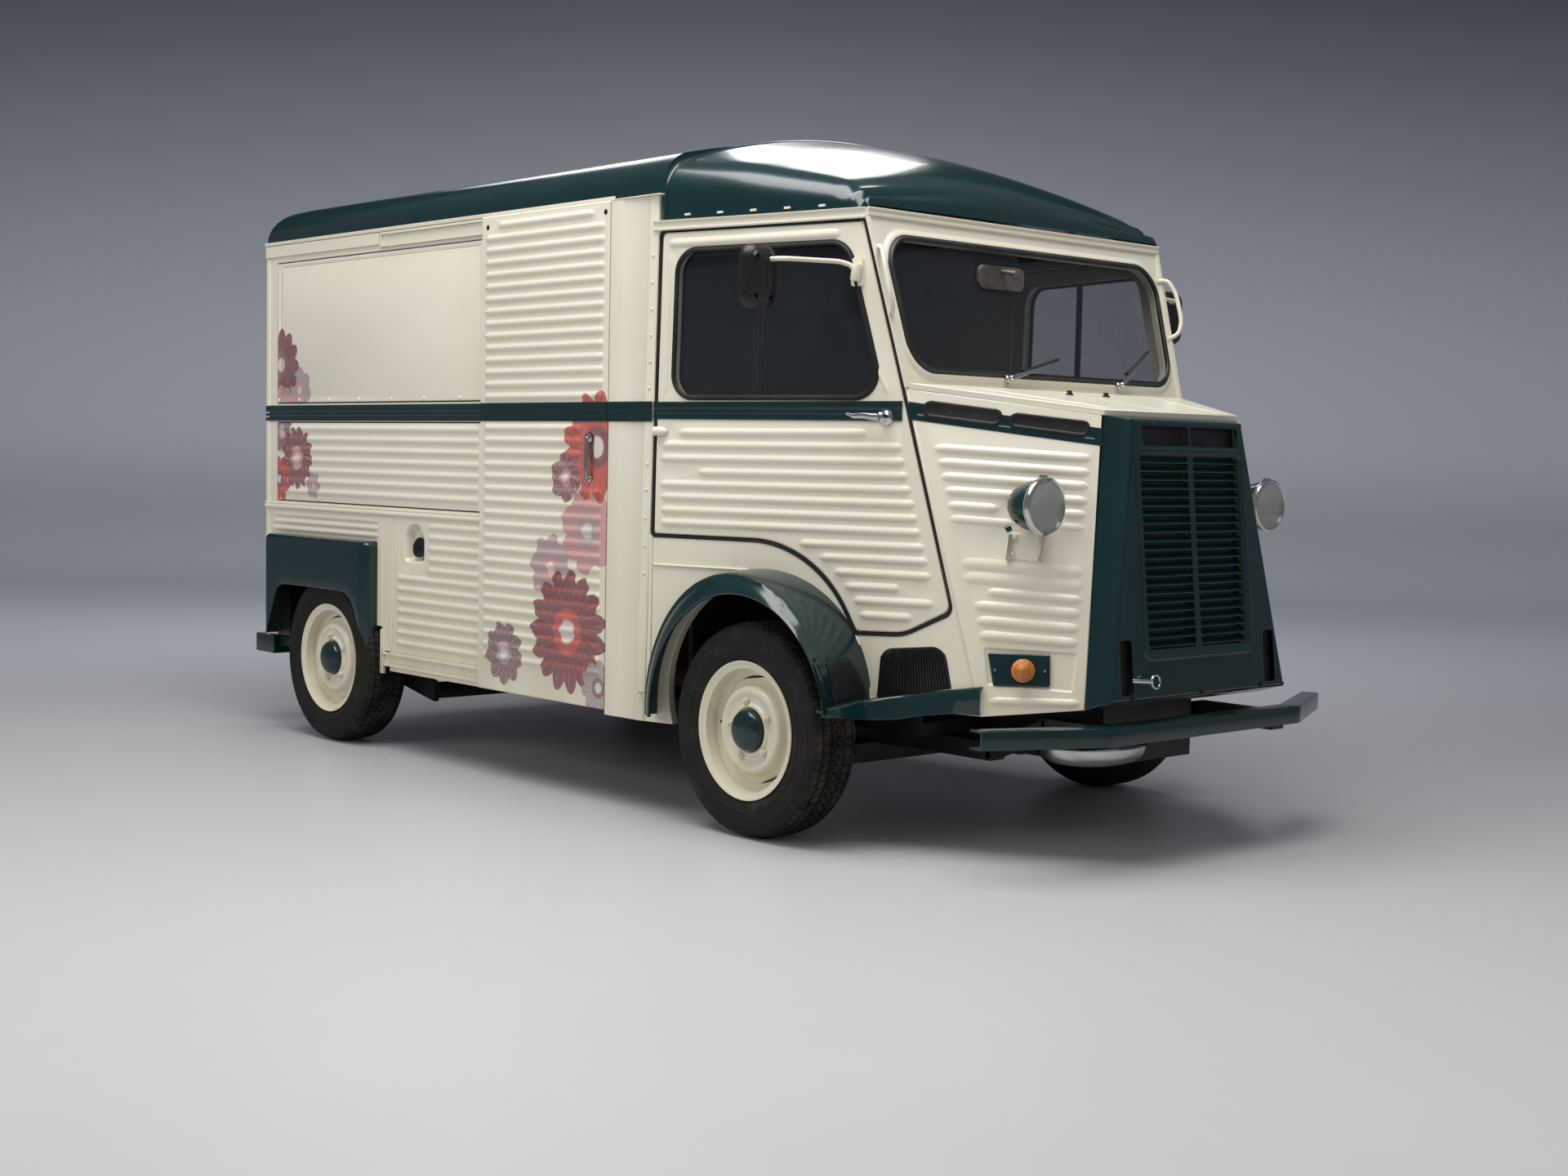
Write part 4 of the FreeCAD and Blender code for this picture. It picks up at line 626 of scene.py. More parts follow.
class Bead:
    # pressed bead between two points, with torpedo ends; a height below 0 is a groove
    def __init__(self, start, end, width=31.0, height=7.0, tip=26.0):
        self.start, self.end = Vector(start), Vector(end)
        self.along = (self.end - self.start).normalized()
        self.side = Vector((-self.along.y, self.along.x))
        self.length = (self.end - self.start).length
        self.tip = min(tip, self.length * 0.49)
        self.half, self.tall = width / 2, height

    def rings(self):
        made = []
        for share in (1.0, 0.86, 0.68, 0.45, 0.2):
            ring = []
            for base, sign in ((self.tip, -1), (self.length - self.tip, 1)):
                for step in range(9):
                    angle = math.pi * step / 8
                    along = base + sign * math.sin(angle) * share * self.tip
                    across = -sign * math.cos(angle) * share * self.half
                    ring.append(self.start + self.along * along + self.side * across)
            made.append(ring)
        return made

    def height(self, point):
        offset = point - self.start
        along, across = offset.dot(self.along), offset.dot(self.side)
        if abs(across) > self.half or along < 0 or along > self.length:
            return 0.0
        over = max(self.tip - along, along - self.length + self.tip, 0.0)
        near = (across / self.half) ** 2 + (over / self.tip) ** 2
        return self.tall * max(0.0, 1 - near) ** 1.35


class Pad:
    # raised or sunk area with rounded corners and a sloping wall
    def __init__(self, corners, corner, height, wall=12.0, steps=7):
        self.loop = roundedLoop(corners, corner, steps)
        self.tall, self.wall = height, wall
        self.low = Vector((min(p.x for p in self.loop), min(p.y for p in self.loop)))
        self.high = Vector((max(p.x for p in self.loop), max(p.y for p in self.loop)))

    def rings(self):
        return [insetLoop(self.loop, self.wall * share) for share in (0.0, 0.2, 0.5, 0.8, 1.0)]

    def height(self, point):
        if not (self.low.x - 1 < point.x < self.high.x + 1 and self.low.y - 1 < point.y < self.high.y + 1):
            return 0.0
        if not inside(point, self.loop):
            return 0.0
        gap = 1e9
        last = self.loop[-1]
        for here in self.loop:
            run = here - last
            share = max(0.0, min(1.0, (point - last).dot(run) / max(run.length_squared, 1e-9)))
            gap = min(gap, (point - last - run * share).length)
            last = here
        share = min(1.0, gap / self.wall)
        return self.tall * share * share * (3 - 2 * share)


def openEdges(faces):
    # edges that only one face has, in the order in which they are met
    edges = {}
    for face in faces:
        for a, b in zip(face, face[1:] + face[:1]):
            if (b, a) in edges:
                del edges[(b, a)]
            else:
                edges[(a, b)] = True
    return edges


def pressedPanel(plane, outline, depth, holes=(), beads=(), roll=2.0, rollWidth=5.0, sheet=False):
    # sheet metal with a rolled edge, pressed beads and a flat back
    loops = [[Vector(point) for point in loop] for loop in (outline, *holes)]
    points, edges, rolled = [], [], {}

    def addLoop(loop):
        start, count = len(points), len(loop)
        points.extend(loop)
        edges.extend((start + index, start + (index + 1) % count) for index in range(count))

    for number, loop in enumerate(loops):
        away = outwardOf(loop)
        inward = -1 if number else 1
        for share in (0.0, 0.35, 1.0) if roll else (0.0,):
            ring = [point - out * (share * rollWidth * inward) for point, out in zip(loop, away)]
            addLoop(ring)
            for point, out in zip(ring, away):
                drop = (1 - share) ** 2 * roll
                lean = out.normalized() * inward * (1 - share) * (0.9 if roll else 0)
                rolled[(round(point.x, 2), round(point.y, 2))] = (-drop, lean)
    for bead in beads:
        for ring in bead.rings():
            addLoop(ring)
    found, _, triangles = delaunay_2d_cdt(points, edges, [], 0, 0.005)[:3]
    kept = []
    for triangle in triangles:
        middle = sum((found[index] for index in triangle), Vector((0, 0))) / 3
        if inside(middle, loops[0]) and not any(inside(middle, loop) for loop in loops[1:]):
            a, b, c = (found[index] for index in triangle)
            turn = (b - a).cross(c - a)
            if abs(turn) > 1e-4:
                kept.append(list(triangle) if turn > 0 else list(reversed(triangle)))
    used = sorted({index for triangle in kept for index in triangle})
    number = {index: place for place, index in enumerate(used)}

    def heightAt(point):
        return sum(bead.height(point) for bead in beads)

    front, slopes = [], []
    for index in used:
        point = found[index]
        edge = rolled.get((round(point.x, 2), round(point.y, 2)))
        if edge:
            front.append(plane.at(point, edge[0] + heightAt(point)))
            slopes.append((plane.out + plane.across * edge[1].x + plane.up * edge[1].y).normalized())
            continue
        height = heightAt(point)
        eps = 0.4
        across = (heightAt(point + Vector((eps, 0))) - heightAt(point - Vector((eps, 0)))) / (2 * eps)
        up = (heightAt(point + Vector((0, eps))) - heightAt(point - Vector((0, eps)))) / (2 * eps)
        front.append(plane.at(point, height))
        slopes.append((plane.across + plane.out * across).cross(plane.up + plane.out * up).normalized())
    faces = [[number[index] for index in triangle] for triangle in kept]
    normals = [[slopes[index] for index in face] for face in faces]
    count = len(front)
    back = [plane.at(found[index], heightAt(found[index]) - depth if sheet else -depth) for index in used]
    rim = openEdges(faces)
    faces += [[count + index for index in reversed(face)] for face in faces]
    normals += [[-slopes[index - count] for index in face] if sheet else [-plane.out] * 3
                for face in faces[len(normals):]]
    for a, b in rim:
        faces.append([b, a, count + a, count + b])
        normals.append(None)
    return Shape(front + back, faces, normals)


def gridShape(rows, closedRows=False, closedColumns=False):
    points = [point for row in rows for point in row]
    width = len(rows[0])
    faces = []
    for r in range(len(rows) - (0 if closedRows else 1)):
        for c in range(width - (0 if closedColumns else 1)):
            after, beside = (r + 1) % len(rows), (c + 1) % width
            faces.append([r * width + c, r * width + beside, after * width + beside, after * width + c])
    return Shape(points, faces)


def capped(shape, width, rows):
    # closes the two end rings of a grid of closed rings
    shape.faces.append(list(range(width)))
    shape.faces.append([(rows - 1) * width + index for index in reversed(range(width))])
    shape.normals += [None, None]
    return shape


def lofted(rows):
    # a skin over a row of closed rings, with both ends closed
    return capped(gridShape(rows, False, True), len(rows[0]), len(rows))


def circle(count):
    # cosine and sine at even steps round a circle
    return [(math.cos(math.tau * step / count), math.sin(math.tau * step / count)) for step in range(count)]


def framesAlong(path, closed, lift=None):
    # side and lift directions along a path
    made = []
    count = len(path)
    side = None
    for index, point in enumerate(path):
        back = path[index - 1] if closed or index else None
        ahead = path[(index + 1) % count] if closed or index < count - 1 else None
        run = ((ahead or point) - (back or point)).normalized()
        if lift is not None:
            side = run.cross(Vector(lift)).normalized()
        elif side is None:
            side = run.cross(Vector((0, 0, 1)) if abs(run.z) < 0.9 else Vector((1, 0, 0))).normalized()
        else:
            side = (side - run * side.dot(run)).normalized()
        up = side.cross(run).normalized()
        widen = 1.0
        if back is not None and ahead is not None:
            half = (point - back).normalized().angle((ahead - point).normalized(), 0) / 2
            widen = 1 / max(0.5, math.cos(half))
        made.append((point, side, up, widen))
    return made


def sweep(path, profile, closed=False, lift=None):
    # a closed profile of (side, lift) pairs carried along a path
    path = [Vector(point) for point in path]
    rows = []
    for point, side, up, widen in framesAlong(path, closed, lift):
        rows.append([point + side * (a * widen) + up * b for a, b in profile])
    return gridShape(rows, True, True) if closed else lofted(rows)


def tube(path, radius, sides=10, closed=False):
    return sweep(path, [(radius * c, radius * s) for c, s in circle(sides)], closed)


def curved(corners, radius, steps=6):
    # a path whose corners are eased by arcs
    corners = [Vector(corner) for corner in corners]
    path = [corners[0]]
    for before, corner, after in zip(corners, corners[1:], corners[2:]):
        back, ahead = (before - corner), (after - corner)
        reach = min(radius, back.length * 0.48, ahead.length * 0.48)
        start, end = corner + back.normalized() * reach, corner + ahead.normalized() * reach
        for step in range(steps + 1):
            share = step / steps
            path.append(start * (1 - share) ** 2 + corner * (2 * share * (1 - share)) + end * share ** 2)
    return path + [corners[-1]]


def spun(profile, centre, axis, steps=48, closed=False):
    # (along, radius) pairs turned about an axis
    centre, axis = Vector(centre), Vector(axis).normalized()
    side = axis.cross(Vector((0, 0, 1)) if abs(axis.z) < 0.9 else Vector((1, 0, 0))).normalized()
    up = side.cross(axis)
    rows = [[centre + axis * along + (side * c + up * s) * radius for c, s in circle(steps)]
            for along, radius in profile]
    return gridShape(rows, True, True) if closed else lofted(rows)


def block(x0, x1, y0, y1, z0, z1):
    points = [(x, y, z) for x in (x0, x1) for y in (y0, y1) for z in (z0, z1)]
    return Shape(points, [[0, 1, 3, 2], [4, 6, 7, 5], [0, 4, 5, 1], [2, 3, 7, 6], [0, 2, 6, 4],
                          [1, 5, 7, 3]])


def slab(points, push):
    # a flat polygon given thickness
    points = [Vector(point) for point in points]
    push = Vector(push)
    count = len(points)
    faces = [list(range(count)), [count + index for index in reversed(range(count))]]
    faces += [[index, (index + 1) % count, count + (index + 1) % count, count + index]
              for index in range(count)]
    return Shape(points + [point + push for point in points], faces)


def loopOn(plane, loop, height=0.0):
    return [plane.at(point, height) for point in loop]


# Geometry Nodes: a tree with named inputs, evaluated once and kept as a plain mesh


def grown(name, look, sizes, build):
    tree = bpy.data.node_groups.new(name, "GeometryNodeTree")
    tree.interface.new_socket("Geometry", in_out="OUTPUT", socket_type="NodeSocketGeometry")
    kinds = {int: "NodeSocketInt", float: "NodeSocketFloat", tuple: "NodeSocketVector"}
    identifiers = {}
    for key, value in sizes.items():
        identifiers[key] = tree.interface.new_socket(key, in_out="INPUT",
                socket_type=kinds[type(value)]).identifier
    nodes = Nodes(tree)
    source = nodes.add("NodeGroupInput")
    made = build(nodes, {key: source.out(key) for key in sizes})
    real = nodes.add("GeometryNodeRealizeInstances", inputs={0: made})
    painted = nodes.add("GeometryNodeSetMaterial", inputs={"Geometry": real, "Material": looks[look][0]})
    nodes.add("NodeGroupOutput", inputs={0: painted})
    holder = linked(name + "Holder", bpy.data.meshes.new(name + "Seed"))
    modifier = holder.modifiers.new("rule", "NODES")
    modifier.node_group = tree
    for key, value in sizes.items():
        modifier[identifiers[key]] = value
    graph = bpy.context.evaluated_depsgraph_get()
    graph.update()
    mesh = bpy.data.meshes.new_from_object(holder.evaluated_get(graph))
    holder.modifiers.remove(modifier)
    bpy.data.objects.remove(holder)
    shape = Shape([point.co * 1000 for point in mesh.vertices],
                  [list(polygon.vertices) for polygon in mesh.polygons])
    bpy.data.meshes.remove(mesh)
    return shape


def domeRow(nodes, sizes):
    # small domes at even steps on a line, facing one way
    line = nodes.add("GeometryNodeMeshLine", {"mode": "END_POINTS"}, {
        "Count": sizes["Count"], "Start Location": sizes["Start"], 3: sizes["End"]})
    dome = nodes.add("GeometryNodeMeshUVSphere",
                     inputs={"Segments": 10, "Rings": 6, "Radius": sizes["Radius"]})
    flat = nodes.add("GeometryNodeTransform", inputs={"Geometry": dome, "Scale": (1.0, 1.0, 0.6)})
    turn = nodes.add("FunctionNodeAlignRotationToVector", {"axis": "Z"}, {"Vector": sizes["Facing"]})
    return nodes.add("GeometryNodeInstanceOnPoints",
                     inputs={"Points": line, "Instance": flat, "Rotation": turn})


def domes(start, end, count, radius, facing):
    return grown("rivetLine", "cream", {
        "Count": int(count), "Start": tuple(Vector(start) * mm), "End": tuple(Vector(end) * mm),
        "Radius": radius * mm, "Facing": tuple(Vector(facing))}, domeRow)


def barRow(nodes, sizes):
    # bars of one size at even steps: slats, clips and vanes
    line = nodes.add("GeometryNodeMeshLine", {"mode": "OFFSET"}, {
        "Count": sizes["Count"], "Start Location": sizes["Start"], "Offset": sizes["Step"]})
    bar = nodes.add("GeometryNodeMeshCube", inputs={"Size": sizes["Size"]})
    turned = nodes.add("GeometryNodeTransform", inputs={"Geometry": bar, "Rotation": sizes["Tilt"]})
    return nodes.add("GeometryNodeInstanceOnPoints", inputs={"Points": line, "Instance": turned})


def bars(look, start, step, count, size, tilt=(0.0, 0.0, 0.0)):
    return grown("barLine", look, {
        "Count": int(count), "Start": tuple(Vector(start) * mm), "Step": tuple(Vector(step) * mm),
        "Size": tuple(Vector(size) * mm), "Tilt": tuple(tilt)}, barRow)


def boltRing(nodes, sizes):
    # bolt heads on a circle about the Y axis
    ring = nodes.add("GeometryNodeMeshCircle", {"fill_type": "NONE"},
                     {"Vertices": sizes["Count"], "Radius": sizes["Circle"]})
    head = nodes.add("GeometryNodeMeshCylinder", inputs={
        "Vertices": 6, "Radius": sizes["Head"], "Depth": sizes["Height"]}, output="Mesh")
    cap = nodes.add("GeometryNodeMeshUVSphere", inputs={"Segments": 8, "Rings": 5, "Radius": sizes["Cap"]})
    raised = nodes.add("GeometryNodeTransform", inputs={"Geometry": cap, "Translation": sizes["Lift"]})
    both = nodes.add("GeometryNodeJoinGeometry", inputs={0: head})
    nodes.tree.links.new(raised.socket, both.socket.node.inputs[0])
    placed = nodes.add("GeometryNodeInstanceOnPoints", inputs={"Points": ring, "Instance": both})
    return nodes.add("GeometryNodeTransform", inputs={"Geometry": placed,
            "Rotation": (math.pi / 2, 0.0, 0.0)})


def treadBand(nodes, sizes):
    # tread blocks on a circle about the Y axis, one band for each call
    ring = nodes.add("GeometryNodeMeshCircle", {"fill_type": "NONE"},
                     {"Vertices": sizes["Count"], "Radius": sizes["Circle"]})
    lump = nodes.add("GeometryNodeMeshCube", inputs={"Size": sizes["Block"]})
    skewed = nodes.add("GeometryNodeTransform", inputs={"Geometry": lump, "Rotation": sizes["Skew"]})
    turn = nodes.add("FunctionNodeAlignRotationToVector", {"axis": "X"},
                     {"Vector": nodes.add("GeometryNodeInputPosition")})
    placed = nodes.add("GeometryNodeInstanceOnPoints",
                       inputs={"Points": ring, "Instance": skewed, "Rotation": turn})
    return nodes.add("GeometryNodeTransform", inputs={"Geometry": placed, "Rotation": sizes["Turn"]})


def rect(x0, x1, z0, z1, radius=0.0):
    return roundedLoop([(x0, z0), (x1, z0), (x1, z1), (x0, z1)], radius)


# Load body walls


walls = {
    "rearX": -2014.0, "archX": (-1839.0, -1049.0), "archTopZ": 745.0, "upperRibsZ": (886.0, 857.0, 828.0),
    "hatchHole": (-1951.0, -430.0, 1340.0, 1918.0), "flapHole": (-1951.0, -430.0, 941.0, 1267.0),
    "fuelHole": (-957.0, -801.0, 729.0, 893.0), "stripZ": (1269.0, 1334.0),
    "stripHeights": ((0, 0.0), (5, 0.02), (7, 0.10), (7, 0.20), (4, 0.27), (4, 0.30), (7, 0.36), (7, 0.46),
                     (4, 0.53), (4, 0.56), (7, 0.62), (7, 0.90), (5, 0.98), (0, 1.0)),
}


def stripRun(path, lowZ, highZ, outwards, scale=1.0, sunk=1.0):
    # painted moulding along a path of (x, y); its heights follow the list above
    rows = []
    for (x, y), out in zip(path, outwards):
        out = Vector(out).normalized()
        z0, z1 = (lowZ, highZ) if not callable(lowZ) else (lowZ(x), highZ(x))
        ring = [Vector((x, y, z0 + (z1 - z0) * share)) + out * (height * scale)
                for height, share in walls["stripHeights"]]
        ring += [Vector((x, y, z1)) - out * sunk, Vector((x, y, z0)) - out * sunk]
        rows.append(ring)
    return lofted(rows)


def rightWall():
    size = walls
    (a0, a1), top = size["archX"], size["archTopZ"]
    outline = [(size["rearX"], 382), (a0, 382), (a0, top), (a1, top), (a1, 312), (348, 312), (348, 390),
               (-380, 390),
               (-380, 1925), (348, 1925), (348, 1990), (size["rearX"], 1990)]
    holes = [rect(*size[key]) for key in ("hatchHole", "flapHole", "fuelHole")]
    beads = [Bead((-1990, z), (-1114, z), 25, 5, 18) for z in size["upperRibsZ"]]
    finish("wallRight", pressedPanel(wallPlane, outline, 25, holes, beads, roll=0), "wall",
           hides=["wall_right"])


accessPanel = {
    "x": (-1024.0, -421.0), "z": (388.0, 898.0), "pocketX": (-951.0, -807.0), "pocketZ": (735.0, 888.0),
    "shortZ": (878.0, 837.0, 796.0, 755.0, 714.0),
    "longZ": (675.0, 634.0, 592.0, 551.0, 509.0, 468.0, 427.0),
}


def fuelPanel():
    size = accessPanel
    (x0, x1), (z0, z1) = size["x"], size["z"]
    (p0, p1), (q0, q1) = size["pocketX"], size["pocketZ"]
    beads = [Bead((-786, z), (x1 - 8, z), 29, 6.5) for z in size["shortZ"]]
    beads += [Bead((-1002, z), (x1 - 8, z), 29, 6.5) for z in size["longZ"]]
    beads.append(Pad([(p0, q0), (p1, q0), (p1, q1), (p0, q1)], [24, 24, 70, 70], -38, 24))
    plane = Plane((0, -864, 0), (1, 0, 0), (0, 0, 1))
    panel = pressedPanel(plane, rect(x0, x1, z0, z1, 6), 1.6, (), beads, roll=1.2, rollWidth=4, sheet=True)
    finish("fuelPanel", panel, "cream")
    lean = (0.05, -1.0, 0.15)
    cap = spun([(0, 0), (0, 24), (7, 24), (9, 30), (18, 31), (21, 38), (30, 38), (33, 34), (33.5, 22),
                (31, 18), (31, 0)], (-866, -823, 792), lean, 40)
    cap.join(spun([(0, 0), (0, 9), (4, 8), (5, 0)], (-864, -853.5, 797), lean, 16))
    finish("fuelCap", cap, "plastic")


trimSizes = {
    # the ledge over the panels: out from the wall, and height
    "ledge": ((0, 908), (8, 909), (10.5, 914), (10.5, 921), (7, 926), (9, 931), (8, 935), (0, 936)),
    # moulding over the hatch, post between arch and panel, rear corner: x, x, out, z, z
    "bands": ((-2040, -1139, 8, 1942, 1988), (-1040, -1030, 5, 388, 905), (-1106, -1040, 2.5, 388, 905),
              (-1951, -430, 2, 1919, 1926), (-2040, -2016, 4, 386, 1940), (-1142, -1104, 4, 480, 905)),
    "rivetsX": (-1929, -1763, -1525, -1289, -1052, -818, -574), "rivetsZ": 1355,
}


def sillAndTrim():
    trim, ledge = Shape(), trimSizes["ledge"]
    rows = [[Vector((x, -862 - out, z)) for out, z in ledge] + [Vector((x, -860, 936)),
            Vector((x, -860, 908))]
            for x in (-2040, -1400, -900, -418)]
    trim.join(lofted(rows))
    for x0, x1, out, z0, z1 in trimSizes["bands"]:
        trim.join(block(x0, x1, -862 - out, -860, z0, z1))
    finish("wallTrim", trim, "cream", bevel=1.6)
    strip = stripRun([(-2041, -861), (-1200, -861), (-382, -861)], *walls["stripZ"], [(0, -1, 0)] * 3)
    finish("wallStripRight", strip, "green")
    z = trimSizes["rivetsZ"]
    rivets = [domes((x, -865, z), (x + 1, -865, z), 1, 7.5, (0, -1, 0)) for x in trimSizes["rivetsX"]]
    finish("hatchRivets", Shape().join(*rivets), "cream", "serving_hatch")


def channel(x0, x1, z0, z1, out, lip, plate=2.2):
    # C-shaped rail that opens outwards
    y = -862.0
    profile = [(0, z0), (out, z0), (out, z0 + lip), (out - plate, z0 + lip), (out - plate, z0 + plate),
               (plate, z0 + plate),
               (plate, z1 - plate), (out - plate, z1 - plate), (out - plate, z1 - lip), (out, z1 - lip),
               (out, z1), (0, z1)]
    rows = [[Vector((x, y - a, z)) for a, z in profile] for x in (x0, x1)]
    return lofted(rows)


trackSizes = {
    # each rail's ends, heights, reach from the wall and lip
    "rails": ((-1122, 343, 1932, 1986, 11, 8), (-1085, 343, 331, 384, 11, 9)),
    # end stops and the guide's bracket
    "stops": ((-1126, -1121, -873, -862, 1928, 1990), (-1089, -1084, -873, -862, 322, 388),
              (-1102, -1086, -872, -860, 300, 330), (-1106, -1098, -872, -860, 300, 470)),
}


def doorTracks():
    rails = Shape().join(*[channel(*rail) for rail in trackSizes["rails"]])
    rails.join(*[block(*stop) for stop in trackSizes["stops"]])
    finish("doorTracks", rails, "cream", hides=["door_rails"])


# Sliding door: pressed ribs, a strip, and a lever in a recess


slidingSizes = {
    "x": (-405.0, 343.0), "z": (316.0, 1988.0), "ribs": (-380.0, 324.0), "pitch": 42.6,
    "topRibZ": 1952.0, "lowRibZ": 1246.0, "upperCount": 15, "lowerCount": 20,
    "recess": (216.0, 276.0, 1062.0, 1238.0),
}


def slidingDoor():
    size = slidingSizes
    (x0, x1), (z0, z1), (r0, r1) = size["x"], size["z"], size["ribs"]
    h0, h1, h2, h3 = size["recess"]
    beads = [Bead((r0 + 80, size["topRibZ"]), (r1 - 62, size["topRibZ"] + 2), 30, 7)]
    for row in range(1, size["upperCount"]):
        z = size["topRibZ"] - size["pitch"] * row
        beads.append(Bead((r0, z), (r1, z), 31, 7.5))
    for row in range(size["lowerCount"]):
        z = size["lowRibZ"] - size["pitch"] * row
        beads.append(Bead((r0, z), ((h0 - 10) if h2 - 16 < z < h3 + 16 else r1, z), 31, 7.5))
    beads.append(Pad([(h0, h2), (h1, h2), (h1, h3), (h0, h3)], 28, -11, 14))
    panel = pressedPanel(doorPlane, rect(x0, x1, z0, z1, 5), 14, (), beads, roll=2.2, rollWidth=6)
    finish("slidingDoorSkin", panel, "door", "sliding_door", ["sliding_door"])
    strip = stripRun([(x0 + 1, -890), (0, -890), (x1 - 1, -890)], *walls["stripZ"], [(0, -1, 0)] * 3, 0.5)
    finish("slidingDoorStrip", strip, "green", "sliding_door")
    shoes = Shape()
    for x in (x0 + 25, x1 - 65):
        shoes.join(block(x, x + 40, -877, -873.4, 1940, 1976), block(x, x + 40, -877, -873.4, 338, 374))
    finish("slidingDoorShoes", shoes, "steel", "sliding_door", bevel=1)
    screws = Shape()
    for x, z in ((x0 + 40, 1950), (x1 - 22, 1953)):
        screws.join(spun([(0, 0), (0, 9), (1.5, 9), (1.5, 5), (4.5, 4.5), (5, 0)], (x, -889.5, z),
                         (0, -1, 0), 18))
    finish("slidingDoorScrews", screws, "plastic", "sliding_door")
    lever = [(246, -898, 1212), (245, -901, 1180), (244, -902, 1140), (245, -900, 1104), (246, -897, 1078)]
    rows = []
    for (x, y, z), wide, thick in zip(lever, (11, 9, 8.5, 10, 12), (4, 5, 5, 5, 4)):
        rows.append([Vector((x + wide * c, y + thick * s, z)) for c, s in circle(14)])
    handle = lofted(rows)
    handle.join(spun([(0, 0), (0, 17), (7, 17), (10, 13), (12, 7), (12, 0)], (246, -889, 1214), (0, -1, 0),
                     28))
    handle.join(spun([(0, 0), (0, 13), (8, 13), (11, 9), (11, 0)], (246, -884, 1078), (0, -1, 0), 24))
    handle.join(spun([(0, 0), (0, 6), (2.5, 5), (3, 0)], (246, -901, 1214), (0, -1, 0), 14))
    finish("slidingDoorLever", handle, "chrome", "sliding_door")


# Hatch over the counter and the flap under it


hatchSizes = {
    "x": (-1946.0, -435.0), "hatchZ": (1345.0, 1913.0), "flapZ": (946.0, 1262.0), "topRibZ": 1239.0,
    "ribPitch": 42.5, "ribs": 7,
}


def hatchAndFlap():
    size = hatchSizes
    x0, x1 = size["x"]
    beads = [Bead((x0 + 24, 1370), (x0 + 24, 1893), 9, -1.6, 9),
             Bead((x0 + 40, 1894), (x1 - 12, 1894), 9, -1.6, 9)]
    hatch = pressedPanel(flapPlane, rect(x0, x1, *size["hatchZ"], 4), 28, (), beads, roll=2, rollWidth=5)
    finish("hatchSkin", hatch, "hatch", "serving_hatch", ["serving_hatch"])
    heights = [size["topRibZ"] - size["ribPitch"] * row for row in range(size["ribs"])]
    ribs = [Bead((x0 + 26, z), (x1 - 6, z), 31, 7, 22) for z in heights]
    flap = pressedPanel(flapPlane, rect(x0, x1, *size["flapZ"], 4), 28, (), ribs, roll=2, rollWidth=5)
    finish("flapSkin", flap, "flap", "counter_flap", ["counter_flap"])
    stay = Shape()
    for x in (x0 + 60, x1 - 60):
        stay.join(block(x - 8, x + 8, -842, -836.5, 1352, 1900))
    finish("hatchFrame", stay, "cream", "serving_hatch", bevel=1)


leftSizes = {
    "pitch": 42.6, "upper": (1955.0, 15), "lower": (1240.0, 22), "overArchZ": 830.0, "rearX": 1985.0,
    "archX": 1015.0, "frontX": -320.0,
}


def leftWall():
    # the far wall is ribbed from end to end, with the same strip; its plane's x runs backwards
    size = leftSizes
    outline = [(-348, 312), (1049, 312), (1049, 745), (1839, 745), (1839, 312), (2014, 312), (2014, 1990),
               (-348, 1990)]
    plane = Plane((0, 862, 0), (-1, 0, 0), (0, 0, 1))
    heights = [top - size["pitch"] * row for top, count in (size["upper"], size["lower"])
               for row in range(count)]
    beads = [Bead((size["frontX"], z), (size["rearX"] if z > size["overArchZ"] else size["archX"], z), 31,
                  7) for z in heights]
    finish("wallLeft", pressedPanel(plane, outline, 25, (), beads, roll=2), "wall", hides=["wall_left"])
    strip = stripRun([(-2041, 861), (-800, 861), (347, 861)], *walls["stripZ"], [(0, 1, 0)] * 3)
    finish("wallStripLeft", strip, "green")


# Roofs: crowned sections with rounded shoulders


roofs = {
    "crownZ": 2225.0, "crownRadius": 3300.0, "shoulder": 120.0, "endRadius": 190.0, "baseZ": 1990.0,
    "half": 862.0,
    "rearX": -2039.0, "frontX": 590.0, "skin": 25.0,
    # rain gutter: out from the wall, and up
    "gutter": ((0, 0), (9, 0), (10, 2), (10, 13), (8, 14), (7.5, 4), (0, 3)),
    # x, crown height, crown radius, shoulder radius over the cab
    "cab": ((590.0, 2244.0, 2350.0, 140.0), (700.0, 2223.0, 2350.0, 140.0), (850.0, 2191.0, 2400.0, 135.0),
            (1000.0, 2149.0, 2500.0, 125.0), (1120.0, 2109.0, 2800.0, 110.0),
            (1220.0, 2065.0, 3500.0, 90.0), (1290.0, 2015.0, 5000.0, 60.0), (1330.0, 1962.0, 12000.0, 30.0),
            (1346.0, 1920.0, 60000.0, 8.0)),
}


def roofRing(x, half, baseZ, crownZ, crownRadius, shoulder, topLimit=None, soft=30.0):
    centreZ = crownZ - crownRadius
    reach = crownRadius - shoulder
    shoulderZ = centreZ + math.sqrt(reach ** 2 - (half - shoulder) ** 2)
    lean = math.atan2(half - shoulder, shoulderZ - centreZ)
    ring = [(half, baseZ), (half, baseZ + (shoulderZ - baseZ) * 0.5)]
    for step in range(13):
        angle = math.pi / 2 - (math.pi / 2 - lean) * step / 12
        ring.append((half - shoulder + shoulder * math.sin(angle), shoulderZ + shoulder * math.cos(angle)))
    for step in range(1, 25):
        angle = lean * (1 - step / 24)
        ring.append((crownRadius * math.sin(angle), centreZ + crownRadius * math.cos(angle)))
    full = [(-y, z) for y, z in ring] + [(y, z) for y, z in reversed(ring[:-1])]
    made = []
    for y, z in full:
        if topLimit is not None:
            gap = topLimit - z
            z = topLimit - soft * math.log1p(math.exp(min(40.0, gap / soft))) if gap < 8 * soft else z
            z = max(z, baseZ)
        made.append(Vector((x, y, z)))
    return made


